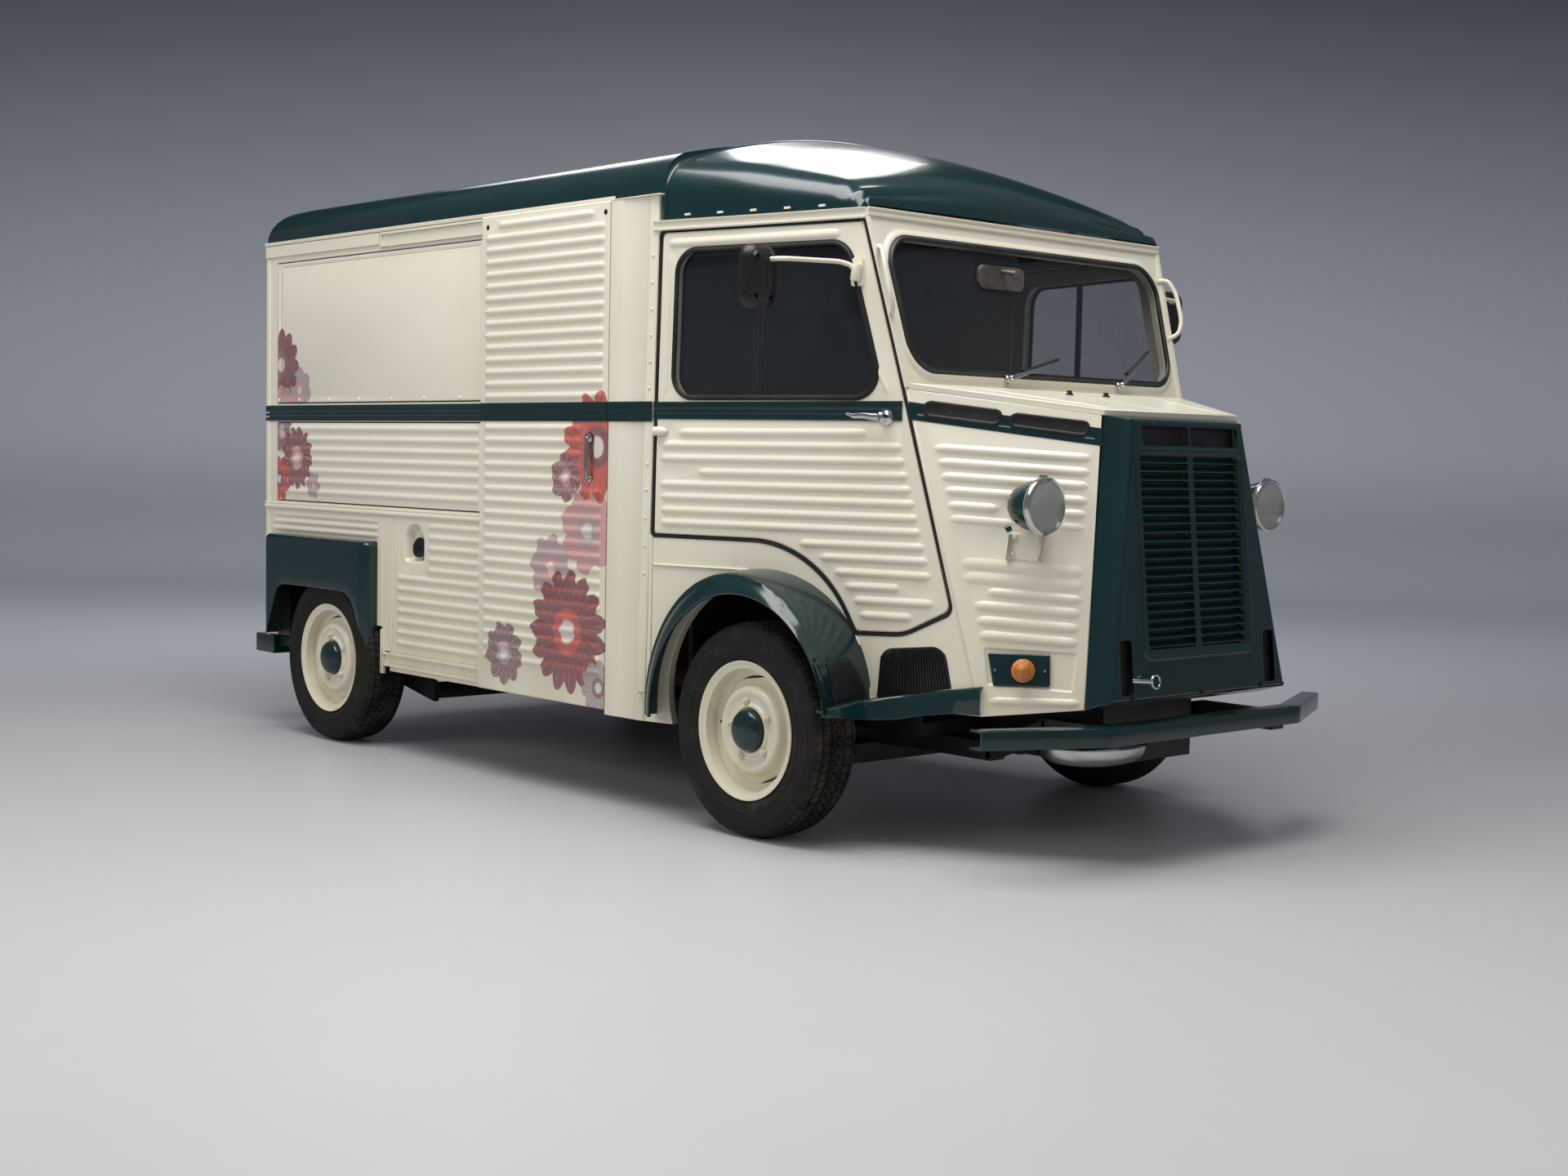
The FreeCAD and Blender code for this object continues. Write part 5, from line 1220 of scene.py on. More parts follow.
def eased(table, x):
    # smooth run through a table of stations
    xs = [row[0] for row in table]
    index = max(0, min(len(xs) - 2, next((i for i in range(len(xs) - 1) if x <= xs[i + 1]), len(xs) - 2)))
    p1, p2 = table[index], table[index + 1]
    p0 = table[index - 1] if index else p1
    p3 = table[index + 2] if index + 2 < len(table) else p2
    span = p2[0] - p1[0]
    t = (x - p1[0]) / span
    found = []
    for k in range(1, len(p1)):
        m1 = (p2[k] - p0[k]) / max(1e-6, p2[0] - p0[0]) * span if index else p2[k] - p1[k]
        m2 = (p3[k] - p1[k]) / max(1e-6, p3[0] - p1[0]) * span
        found.append((2 * t ** 3 - 3 * t ** 2 + 1) * p1[k] + (t ** 3 - 2 * t ** 2 + t) * m1
                     + (3 * t ** 2 - 2 * t ** 3) * p2[k]
                     + (t ** 3 - t ** 2) * m2)
    return found


def loadRoof():
    size = roofs
    outer, inner = [], []
    for step in range(34):
        share = step / 33
        x = size["rearX"] + (size["frontX"] - size["rearX"]) * share ** 2.2
        for rows, inset in ((outer, 0.0), (inner, size["skin"])):
            radius = size["endRadius"] - inset
            start = size["rearX"] + inset
            place = max(x, start)
            near = max(0.0, radius - (place - start))
            limit = size["crownZ"] - inset - radius + math.sqrt(max(0.0, radius ** 2 - near ** 2))
            rows.append(roofRing(place, size["half"] - inset, size["baseZ"], size["crownZ"] - inset,
                                 size["crownRadius"] - inset,
                                 size["shoulder"] - inset, limit if near > 0 else None))
    width = len(outer[0])
    shell = gridShape(outer)
    shell.join(gridShape(list(reversed(inner))))
    # end wall at the back and the edge under both skins
    shell.join(gridShape([[Vector((point.x, point.y, size["baseZ"])) for point in outer[0]], outer[0]]))
    shell.join(gridShape([inner[0], [Vector((point.x, point.y, size["baseZ"])) for point in inner[0]]]))
    for side in (0, width - 1):
        shell.join(gridShape([[row[side] for row in outer], [row[side] for row in inner]]))
    shell.join(gridShape([outer[-1], inner[-1]]))
    finish("loadRoofSkin", shell, "green", hides=["load_roof"], crease=45)
    gutter = Shape()
    for side in (-1, 1):
        gutter.join(lofted([[Vector((x, side * 862 + side * a, 1990 + b)) for a, b in size["gutter"]]
                            for x in (-2049, -1000, 345)]))
    gutter.join(lofted([[Vector((-2039 - a, y, 1990 + b)) for a, b in size["gutter"]]
                        for y in (-872, 0, 872)]))
    finish("loadGutter", gutter, "cream")


def cabRoof():
    table = roofs["cab"]
    rows, under = [], []
    for step in range(46):
        share = step / 45
        x = 590 + (1346 - 590) * (1 - (1 - share) ** 1.7)
        crown, radius, shoulder = eased(table, x)
        half = -sideY(x)
        rows.append(roofRing(x, half, 1903, crown, radius, shoulder))
        drop = 25 * (1 - share) + 4
        under.append(roofRing(min(x, 1322), half - drop, 1903, crown - drop, radius,
                              max(shoulder - drop, 5.0)))
    shell = gridShape(rows)
    shell.join(gridShape(list(reversed(under))))
    for a, b in ((rows[0], under[0]), (rows[-1], under[-1])):
        shell.join(gridShape([a, b]))
    for side in (0, len(rows[0]) - 1):
        shell.join(gridShape([[row[side] for row in rows], [row[side] for row in under]]))
    finish("cabRoofSkin", shell, "green", hides=["cab_roof"], crease=50)
    # half-round bead pressed along the rear edge, and the drip clips over the door
    path = [Vector((603, p.y * 0.9985, p.z - 5.0))
            for p in roofRing(603, -sideY(603), 1906, *eased(table, 603))]
    finish("cabRoofBead", tube(path, 8.5, 8), "green")
    clips = Shape()
    for side in (-1, 1):
        clips.join(bars("green", (690, side * 847, 1921), (124, -side * 28.4, 0), 5, (26, 5, 7)))
    finish("dripClips", clips, "cream", bevel=0.8)


# Posts behind the cab doors


def postX(z):
    return 549.0 + (z - 301.0) * 31.0 / 1689.0


def pillarX(z):
    if z >= 1372.0:
        return 1337.0 + (1903.0 - z) * 153.0 / 531.0
    return 1490.0 + (1372.0 - z) * 273.0 / 942.0


postSizes = {
    "heights": (301.0, 700.0, 1260.0, 1700.0, 1990.0),
    "rivetsZ": (1798, 1713, 1628, 1545, 1461, 1377, 1133, 1050, 960, 870, 780),
    # top plate and the two catches at the foot
    "plates": ((346, 604, -892, -840, 1987, 1990.5), (538, 546, -905, -876, 392, 398),
               (520, 546, -884, -876, 306, 372)),
}


def doorPosts():
    rows = []
    for z in postSizes["heights"]:
        shift = postX(z) - 549.0
        front = 549.0 + shift
        ring = [(348, -837), (348, -884), (350, -889.5), (354, -890), (408, -890), (414, -888.6),
                (419, -886.9)]
        ring += [(512 + shift, sideY(512 + shift) + 1.0), (518 + shift, sideY(518 + shift) - 3.2),
                 (front - 3, sideY(front) - 3.4),
                 (front, sideY(front) - 1), (front, -837)]
        rows.append([Vector((x, y, z)) for x, y in ring])
    post = lofted(rows)
    post.join(*[block(*plate) for plate in postSizes["plates"]])
    finish("doorPostSkins", post.both(), "cream", hides=["door_posts"], bevel=1.2)
    rivets = Shape()
    for z in postSizes["rivetsZ"]:
        x = postX(z) - 16
        rivets.join(domes((x, sideY(x) - 3.4, z), (x, sideY(x) - 3.4, z + 1), 1, 5.5, (0.2, -1, 0)))
    finish("postRivets", rivets.both(), "cream")
    path = [(347, -891), (354, -891.5), (408, -891.5), (416, -889.5), (512, sideY(512) - 1.0),
            (530, sideY(530) - 5), (566, sideY(566) - 5)]
    outs = [(-0.3, -1, 0), (0, -1, 0), (0, -1, 0), (0.1, -1, 0), (0.22, -1, 0), (0.22, -1, 0),
            (0.22, -1, 0)]
    finish("postStrips", stripRun(path, *walls["stripZ"], outs, 0.35, 3.0).both(), "green")


# Cab doors: seam over the wheel, pressed ribs, window rubber, mirror and lever


doorSizes = {
    "topZ": 1870.0, "seamZ": 909.0, "window": (642.0, 1345.0, 1811.0, 75.0),
    # each rib's rear and front ends, x and z on the door's plane
    "ribs": (((665, 1236), (1362, 1241)), ((599, 1196), (1485, 1200)), ((594, 1154), (1495, 1158)),
             ((741, 1112), (1508, 1116)), ((594, 1071), (1519, 1075)), ((597, 1031), (1532, 1034)),
             ((598, 989), (1543, 992)), ((599, 949), (1555, 951)), ((1126, 904), (1568, 908)),
             ((1199, 865), (1581, 868)), ((1252, 823), (1591, 824)), ((1291, 782), (1489, 784)),
             ((1322, 741), (1601, 744)), ((1344, 698), (1534, 700))),
}


def doorOutline(shrink):
    top = doorSizes["topZ"] - shrink
    flat = doorSizes["seamZ"]
    corners = [(postX(top) + 14 + shrink, top), (postX(flat) + 14 + shrink, flat + shrink),
               (1189 + shrink / 2, flat + shrink),
               (1337 + shrink / 2, 646 + shrink), (1500, 652 + shrink), (1655 - shrink, 728 + shrink),
               (pillarX(1372) - 15 - shrink, 1372), (pillarX(top) - 15 - shrink, top)]
    return roundedLoop(corners, [20, 12, 400, 14, 150, 30, 30, 20])


def windowOutline(grow):
    rear, bottom, top, corner = doorSizes["window"]
    bottom, top = bottom - grow, top + grow
    corners = [(rear - grow + 12, top), (rear - grow, bottom), (pillarX(bottom) - 83 + grow, bottom),
               (pillarX(top) - 83 + grow, top)]
    return roundedLoop(corners, corner + grow, 9)


sealProfile = [(-9, -1), (-10, 3), (-8, 7), (-3, 9), (0, 8), (2, 5), (6, 4), (8, 1), (7, -3), (0, -5)]


def cabDoors():
    beads = [Bead(a, b, 31, 7.5, 30) for a, b in doorSizes["ribs"]]
    beads += [Bead((613, 1833), (1256, 1836), 34, 7, 30), Bead((614, 1352), (626, 1800), 15, 3.5, 26),
              Bead((1306, 1596), (1432, 1352), 17, 4, 30), Bead((566, 1239), (652, 1240), 62, -3.5, 30)]
    panel = pressedPanel(cabPlane, doorOutline(3), 30, [windowOutline(0)], beads, roll=2.2, rollWidth=6)
    boss = spun([(-8, 0), (-8, 15), (18, 15), (30, 12), (40, 5), (42, 0)], cabPlane.at((586, 1239), 6),
                (1, cabSlope, 0), 24)
    strip = stripRun([(570, sideY(570) - 1.5), (1000, sideY(1000) - 1.5), (1478, sideY(1478) - 1.5)],
                     lambda x: 1277.0, lambda x: 1333.0 + (x - 570) * 0.004, [(cabSlope, -1, 0)] * 3, 0.45)
    path = loopOn(cabPlane, windowOutline(0), 0)
    rubber = sweep(path, sealProfile, True, cabPlane.out)
    bar = Shape()
    for x in (948, 962):
        bar.join(slab([cabPlane.at((x, 1350), -16), cabPlane.at((x + 10, 1350), -16),
                       cabPlane.at((x + 10, 1806), -16),
                       cabPlane.at((x, 1806), -16)], -cabPlane.out * 9))
    pane = slab(loopOn(cabPlane, windowOutline(-0.5), -12), -cabPlane.out * 5)
    handle = spun([(0, 0), (0, 24), (3, 23), (6, 14), (10, 11), (26, 10), (30, 14), (38, 14), (42, 9),
                   (42, 0)],
                  cabPlane.at((1426, 1288), 3), cabPlane.out, 32)
    knob = cabPlane.at((1426, 1288), 38)
    lever = [knob, knob + Vector((-26, -7, 1)), knob + Vector((-60, -12, 5)), knob + Vector((-92, -20, 3)),
             knob + Vector((-116, -25, 9))]
    rows = []
    for point, tall, thick in zip(lever, (11, 10, 9, 7, 3), (9, 7, 5.5, 4.5, 2.5)):
        rows.append([point + Vector((0, thick * c, tall * s)) for c, s in circle(12)])
    handle.join(lofted(rows))
    finishPair("cab_door_", ("cabDoor", panel, "cream", "cab_door_", 0), ("doorBoss", boss, "cream", "", 0),
               ("doorStrip", strip, "green", "", 0), ("windowRubber", rubber, "rubber", "", 0),
               ("windowBar", bar, "blackMetal", "", 0.8), ("doorPane", pane, "glass", "cab_door_glass_", 0),
               ("doorLever", handle, "chrome", "", 0))


mirrorSizes = {
    "foot": (1318.0, 1716.0), "head": (1195.0, -985.0), "halfHead": (63.0, 93.0), "corner": 42.0,
    # the head's loops from its face to its back: along, drawn in
    "loops": ((-14, 0), (-20, 4), (-14, 8), (4, 0), (12, 5), (20, 16), (26, 34), (27, 52)),
}


def mirrors():
    foot = cabPlane.at(mirrorSizes["foot"], 0)
    elbow = foot + Vector((-2, -46, 22))
    headX, headY = mirrorSizes["head"]
    wide, tall = mirrorSizes["halfHead"]
    arm = tube(curved([foot + cabPlane.out * 20 + Vector((0, 0, -14)), foot + Vector((0, -24, 18)),
                       elbow + Vector((-24, -6, 8)),
                       Vector((headX + 60, headY + 36, 1742)), Vector((headX - 18, headY + 18, 1742))], 26),
               7.5, 12)
    arm.join(spun([(0, 0), (0, 9.5), (10, 9.5), (11, 7), (11, 0)], (headX - 26, headY + 17, 1742),
                  (1, 0, 0), 16))
    bracket = spun([(-26, 0), (-26, 13), (-20, 15), (18, 15), (24, 13), (24, 0)], foot + cabPlane.out * 15,
                   (0.12, 0.03, 1), 22)
    bracket.join(slab(loopOn(cabPlane, roundedLoop([(1296, 1676), (1340, 1676), (1334, 1760), (1298, 1760)],
            8), 0), cabPlane.out * 6))
    clamp = spun([(-14, 0), (-14, 13), (14, 13), (14, 0)], (headX + 2, headY + 21, 1742), (1, -0.1, 0), 20)
    clamp.join(tube([(headX + 2, headY + 20, 1742), (headX + 6, headY + 6, 1716),
                     (headX + 10, headY, 1692)], 12, 12))
    # rounded head: loops that close towards the back, and a bright face inside the rim
    rows = []
    outline = roundedLoop([(-wide, -tall), (wide, -tall), (wide, tall), (-wide, tall)],
                          mirrorSizes["corner"], 9)
    for out, inset in mirrorSizes["loops"]:
        loop = insetLoop(outline, inset)
        rows.append([Vector((headX - 6 + out, headY + p.x, 1690 + p.y)) for p in loop])
    inner = [Vector((headX - 16, p.y, p.z)) for p in rows[2]]
    head = gridShape([inner, rows[2], rows[1], rows[0], *rows[3:]], False, True)
    capped(head, len(rows[0]), 8)
    face = slab([Vector((headX - 20.5, p.y, p.z)) for p in rows[2]], (2.5, 0, 0))
    finishPair("cab_door_", ("mirrorArm", arm, "cream", "", 0), ("mirrorBracket", bracket, "cream", "", 0),
               ("mirrorClamp", clamp, "plastic", "", 0), ("mirrorHead", head, "plastic", "mirror_", 0),
               ("mirrorFace", face, "chrome", "", 0))


# Cab side panels, with the shelf line, the fender's piping and a louvred vent


sideSizes = {
    "rootLine": ((579, 812), (760, 812), (900, 812), (944, 811), (1022, 807), (1095, 791), (1157, 766),
                 (1218, 731), (1269, 692), (1309, 656), (1344, 625), (1360, 575), (1376, 526), (1390, 476),
                 (1395, 449)),
    "vent": ((1411, 446), (1667, 500), (1640, 628), (1423, 605)), "ventCorners": (6, 6, 52, 46),
    "slats": 25,
}


def cabSides():
    outline = [(postX(1903) + 1, 1903), (postX(301) + 1, 301), (663, 301)]
    for step in range(1, 26):
        angle = math.radians(198.6 - (198.6 - 1.6) * step / 26)
        outline.append((1016 + 372 * math.cos(angle), 420 + 372 * math.sin(angle)))
    outline += [(1388, 430), (1763, 430), (1490, 1372), (1337, 1903)]
    vent = roundedLoop(sideSizes["vent"], sideSizes["ventCorners"])
    beads = [Bead((1517, 1330), (1738, 560), 12, 2.5, 30)]
    panel = pressedPanel(cabPlane, outline, 30, [doorOutline(-3)], beads, roll=1.0, rollWidth=3)
    finish("cabSideSkins", panel.both(), "cream", hides=["cab_side_right", "cab_side_left"])
    piping = tube([cabPlane.at(point, 2) for point in sideSizes["rootLine"]], 4.2, 8)
    flange = sweep([cabPlane.at((566, z), 0) for z in (905, 812, 640, 420)],
                   [(-7, 0), (-7, 4), (5, 4), (5, 0)], False, cabPlane.out)
    rail = []
    for x, z in ((562, 1891), (900, 1891), (1341, 1893)):
        ring = [cabPlane.at((x, z + up), out) for out, up in ((0, -17), (9, -17), (11, -14), (11, -11),
                (6, -8), (6, 8), (13, 11), (14, 14), (12, 15),
                                                         (0, 15))]
        rail.append(ring)
    side = lofted(rail)
    finish("cabSideTrim", side.join(piping, flange).both(), "cream")
    seal = sweep(loopOn(cabPlane, doorOutline(-5.5), -1),
                 [(-5.5, -3), (-5.5, 2.6), (4, 3.2), (5.2, 0), (5.2, -3)], True, cabPlane.out)
    finish("doorSeals", seal.both(), "rubber")
    plate = pressedPanel(Plane(cabPlane.origin - Vector((0, 1.0, 0)), cabPlane.across, cabPlane.up), vent,
                         3, roll=2.5, rollWidth=7)
    finish("cabVents", plate.both(), "blackMetal")
    slats = Shape()
    (x0, z0), (x1, z1), (x2, z2), (x3, z3) = sideSizes["vent"]
    for number in range(sideSizes["slats"]):
        share = (number + 0.8) / (sideSizes["slats"] + 0.6)
        low = Vector((x0 + (x1 - x0) * share, z0 + (z1 - z0) * share + 9))
        high = Vector((x3 + (x2 - x3) * share, z3 + (z2 - z3) * share - 9))
        drop = 34 * max(0.0, abs(share - 0.5) * 2 - 0.62) ** 1.3 * 2.2
        high = high + (low - high).normalized() * drop
        slats.join(sweep([cabPlane.at(low, 2), cabPlane.at((low + high) / 2, 2), cabPlane.at(high, 2)],
                         [(-3.2, -1), (-1.2, 3.6), (1.6, 3.6), (2.6, -1)], False, cabPlane.out))
    finish("cabVentSlats", slats.both(), "blackMetal")


# Windscreen, its frame, rubber and fittings


screenSizes = {"top": (650.0, 1828.0), "bottom": (624.0, 1426.0), "corner": 95.0,
               "wipers": ((-217.0, 250.0, 62.0), (327.0, 190.0, 112.0))}


def screenLoop(grow):
    (half, top), (low, bottom) = screenSizes["top"], screenSizes["bottom"]
    corners = [(-low - grow, bottom - grow), (low + grow, bottom - grow), (half + grow, top + grow),
               (-half - grow, top + grow)]
    return roundedLoop(corners, screenSizes["corner"] + grow, 9)


def windscreen():
    outline = [(-663, 1372), (663, 1372), (698, 1903), (-698, 1903)]
    raised = Pad([(-648, 1396), (648, 1396), (676, 1858), (-676, 1858)], 112, 8.5, 20, 9)
    panel = pressedPanel(screenPlane, outline, 30, [screenLoop(0)], [raised], roll=1.5, rollWidth=4)
    finish("screenFrame", panel, "cream", hides=["windscreen_frame"])
    path = loopOn(screenPlane, screenLoop(0), 8)
    finish("screenRubber",
           sweep(path, [(-11, -2), (-12, 3), (-9, 7), (-3, 8), (0, 5), (4, 2), (9, 0), (10, -4), (6, -12),
                        (0, -14)],
                                 True, screenPlane.out), "rubber")
    pane = slab(loopOn(screenPlane, screenLoop(-0.5), -8), -screenPlane.out * 5)
    finish("screenPane", pane, "glass", hides=["windscreen_glass"])
    brow = []
    for y in (-699, 0, 699):
        brow.append([screenPlane.at((y, 1892 + up), out)
                     for out, up in ((0, -10), (8, -9), (10, -4), (9, 6), (16, 9), (17, 12), (14, 14),
                             (0, 14))])
    lip = lofted(brow)
    for side in (-1, 1):
        lip.join(sweep([screenPlane.at((side * 661, 1376), 2), screenPlane.at((side * 696, 1888), 2)],
                       [(-9, -3), (-9, 3), (7, 4), (7, -3)], False, screenPlane.out))
    finish("screenBrow", lip, "cream", bevel=0.8)
    arms, blades = Shape(), Shape()
    for y, across, rise in screenSizes["wipers"]:
        out = screenPlane.out
        foot, tip = screenPlane.at((y, 1414), 8), screenPlane.at((y + across, 1414 + rise), 22)
        run = (tip - foot).normalized()
        side = run.cross(out).normalized()
        arms.join(spun([(0, 0), (0, 14), (9, 13), (12, 10), (24, 9), (28, 6), (28, 0)], foot, out, 22))
        start = foot + out * 18
        end = start + (tip - foot) * 0.66
        rows = []
        for share, wide, thick in ((-0.07, 8, 5), (0, 10, 7), (0.4, 7, 5), (0.75, 4, 3), (1, 3, 2)):
            point = start + (end - start) * share
            rows.append([point + side * (wide * c) + out * (thick * s) for c, s in circle(10)])
        arms.join(lofted(rows))
        low, high = foot + (tip - foot) * 0.30 - side * 9, tip - side * 9
        blades.join(sweep([low + out * 4, (low + high) / 2 + out * 8, high],
                          [(-5, -6), (-3, 4), (0, 8), (3, 4), (5, -6), (1.4, -12), (-1.4, -12)], False,
                          out))
    finish("wiperArms", arms, "chrome", hides=["wipers"])
    finish("wiperBlades", blades, "rubber")
    glassBack = spun([(0, 0), (0, 9), (60, 8), (62, 0)], (1452, -149, 1748), (-1, 0, 0.15), 14)
    loop = roundedLoop([(-105, -36), (105, -36), (105, 36), (-105, 36)], 24)
    glassBack.join(slab([Vector((1394, -149 + p.x, 1736 + p.y)) for p in loop], (-14, 0, 2)))
    finish("innerMirror", glassBack, "steel", bevel=2)
    handles = tube(curved([screenPlane.at(p, out)
                           for p, out in (((-672, 1592), 2), ((-690, 1600), 30), ((-704, 1640), 42),
                                   ((-704, 1735), 42),
                                                              ((-690, 1782), 30), ((-676, 1790), 2))], 26),
                   7.5, 12)
    for z in (1590, 1792):
        handles.join(spun([(0, 0), (0, 13), (4, 12), (5, 0)], screenPlane.at((-673, z), 1), screenPlane.out,
                          16))
    finish("screenHandles", handles.both(), "cream", hides=["grab_handles"])


# Bonnet and nose


noseSizes = {
    "ribs": (((1570, 1201), (1947, 1179), 30, 7), ((1583, 1160), (1949, 1138), 30, 7),
             ((1595, 1119), (1950, 1099), 30, 7), ((1609, 1078), (1790, 1068), 30, 7),
             ((1880, 1061), (1952, 1056), 30, 7), ((1620, 1036), (1750, 1028), 30, 7),
             ((1888, 1021), (1953, 1017), 30, 7), ((1627, 997), (1790, 986), 28, 5),
             ((1886, 983), (1953, 979), 26, 4), ((1671, 870), (1962, 852), 40, 5),
             ((1679, 829), (1965, 811), 40, 5), ((1738, 789), (1968, 773), 30, 7),
             ((1712, 749), (1969, 734), 34, 7), ((1722, 706), (1970, 691), 34, 7),
             ((1732, 664), (1971, 650), 34, 7), ((1775, 476), (1994, 480), 28, 6)),
    "recess": ((1768, 520), (1972, 508), (1972, 624), (1748, 632)),
    "vents": (((1541, 1289), (1729, 1264), (1723, 1315), (1528, 1342)),
              ((1745, 1263), (1936, 1237), (1931, 1286), (1738, 1310))),
    "strip": ((1505, 1282), (1968, 1215), (1961, 1266), (1499, 1335)),
    "plate": ((1785, 519), (1916, 523), (1907, 615), (1762, 615)),
    "bracket": ((1776, 889), (1862, 876), (1858, 955), (1782, 962)),
}


def noseSides():
    foot = nosePlane
    outline = [(1763, 430), (2002, 462), (1956, 1304), (1490, 1372)]
    beads = [Bead(a, b, wide, tall, 28) for a, b, wide, tall in noseSizes["ribs"]]
    beads.append(Pad(noseSizes["recess"], 10, -5, 9))
    panel = pressedPanel(foot, outline, 20, (), beads, roll=1.5, rollWidth=4)
    finish("noseSkins", panel.both(), "cream", hides=["nose_sides"])
    band = pressedPanel(foot.raised(2.4), list(noseSizes["strip"]), 3, (),
                        [Bead((1520, 1300), (1950, 1237), 7, -1.6, 8)], roll=1.6, rollWidth=4)
    finish("noseStrips", band.both(), "green")
    vents = Shape()
    for corners in noseSizes["vents"]:
        loop = roundedLoop(corners, 20)
        vents.join(pressedPanel(foot.raised(5.6), loop, 4, (),
                                [Pad(insetLoop(loop, 7), 16, -3, 4)], roll=2.4, rollWidth=5))
    finish("noseVents", vents.both(), "blackMetal")
    plate = pressedPanel(foot.raised(5), roundedLoop(noseSizes["plate"], 6), 9, roll=3, rollWidth=7)
    finish("indicatorPlates", plate.both(), "green", hides=["indicators"])
    at = foot.at((1850, 567), 6)
    lens = spun([(0, 0), (0, 34), (7, 34), (9, 30), (22, 28), (24, 24), (36, 18), (38, 13), (48, 7),
                 (51, 0)], at, foot.out, 36)
    finish("indicatorLenses", lens.both(), "amber")
    screws = Shape()
    for spot in ((1784, 566), (1900, 568)):
        screws.join(spun([(0, 0), (0, 5), (2, 4), (2.5, 0)], foot.at(spot, 6.2), foot.out, 12))
    finish("indicatorScrews", screws.both(), "chrome")


bonnetSizes = {"rear": (1498.0, 1390.3), "fall": 68.0, "run": 458.0, "jets": ((1604, -58), (1606, 118))}


def bonnet():
    (rearX, rearZ), fall, run = bonnetSizes["rear"], bonnetSizes["fall"], bonnetSizes["run"]
    plane = Plane((0, 0, rearZ + rearX * fall / run), (1, 0, -fall / run), (0, 1, 0))
    outline = [(1498, -659), (1958, -326), (1958, 326), (1498, 659)]
    beads = [Bead((1530, -430), (1946, -262), 26, 3, 60), Bead((1530, 430), (1946, 262), 26, 3, 60),
             Bead((1520, 0), (1950, 0), 60, 2.5, 90), Bead((1512, -560), (1512, 560), 10, -3, 40)]
    panel = pressedPanel(plane, outline, 18, (), beads, roll=3, rollWidth=9)
    finish("bonnetSkin", panel, "cream", "bonnet", ["bonnet"])
    jets = Shape()
    for x, y in bonnetSizes["jets"]:
        z = rearZ - (x - rearX) * fall / run
        jets.join(spun([(0, 0), (0, 12), (4, 11), (6, 7), (12, 6), (14, 4), (14, 0)], (x, y, z),
                       (0.1, 0, 1), 20))
        jets.join(spun([(0, 0), (0, 4), (8, 3), (8, 0)], (x - 2, y, z + 9), (-1, 0, 0.3), 10))
    finish("washerJets", jets, "plastic", "bonnet")


# Grille shell


shellSizes = {
    "windows": ((-226, -6, 1221, 1277), (6, 240, 1221, 1277)), "columns": ((-240, -13), (13, 240)),
    "louvres": (632.0, 1190.0),
    "frame": (-268, 268, 598, 1216), "slots": ((-378, -322, 508, 664), (322, 378, 508, 664)), "slats": 22,
}


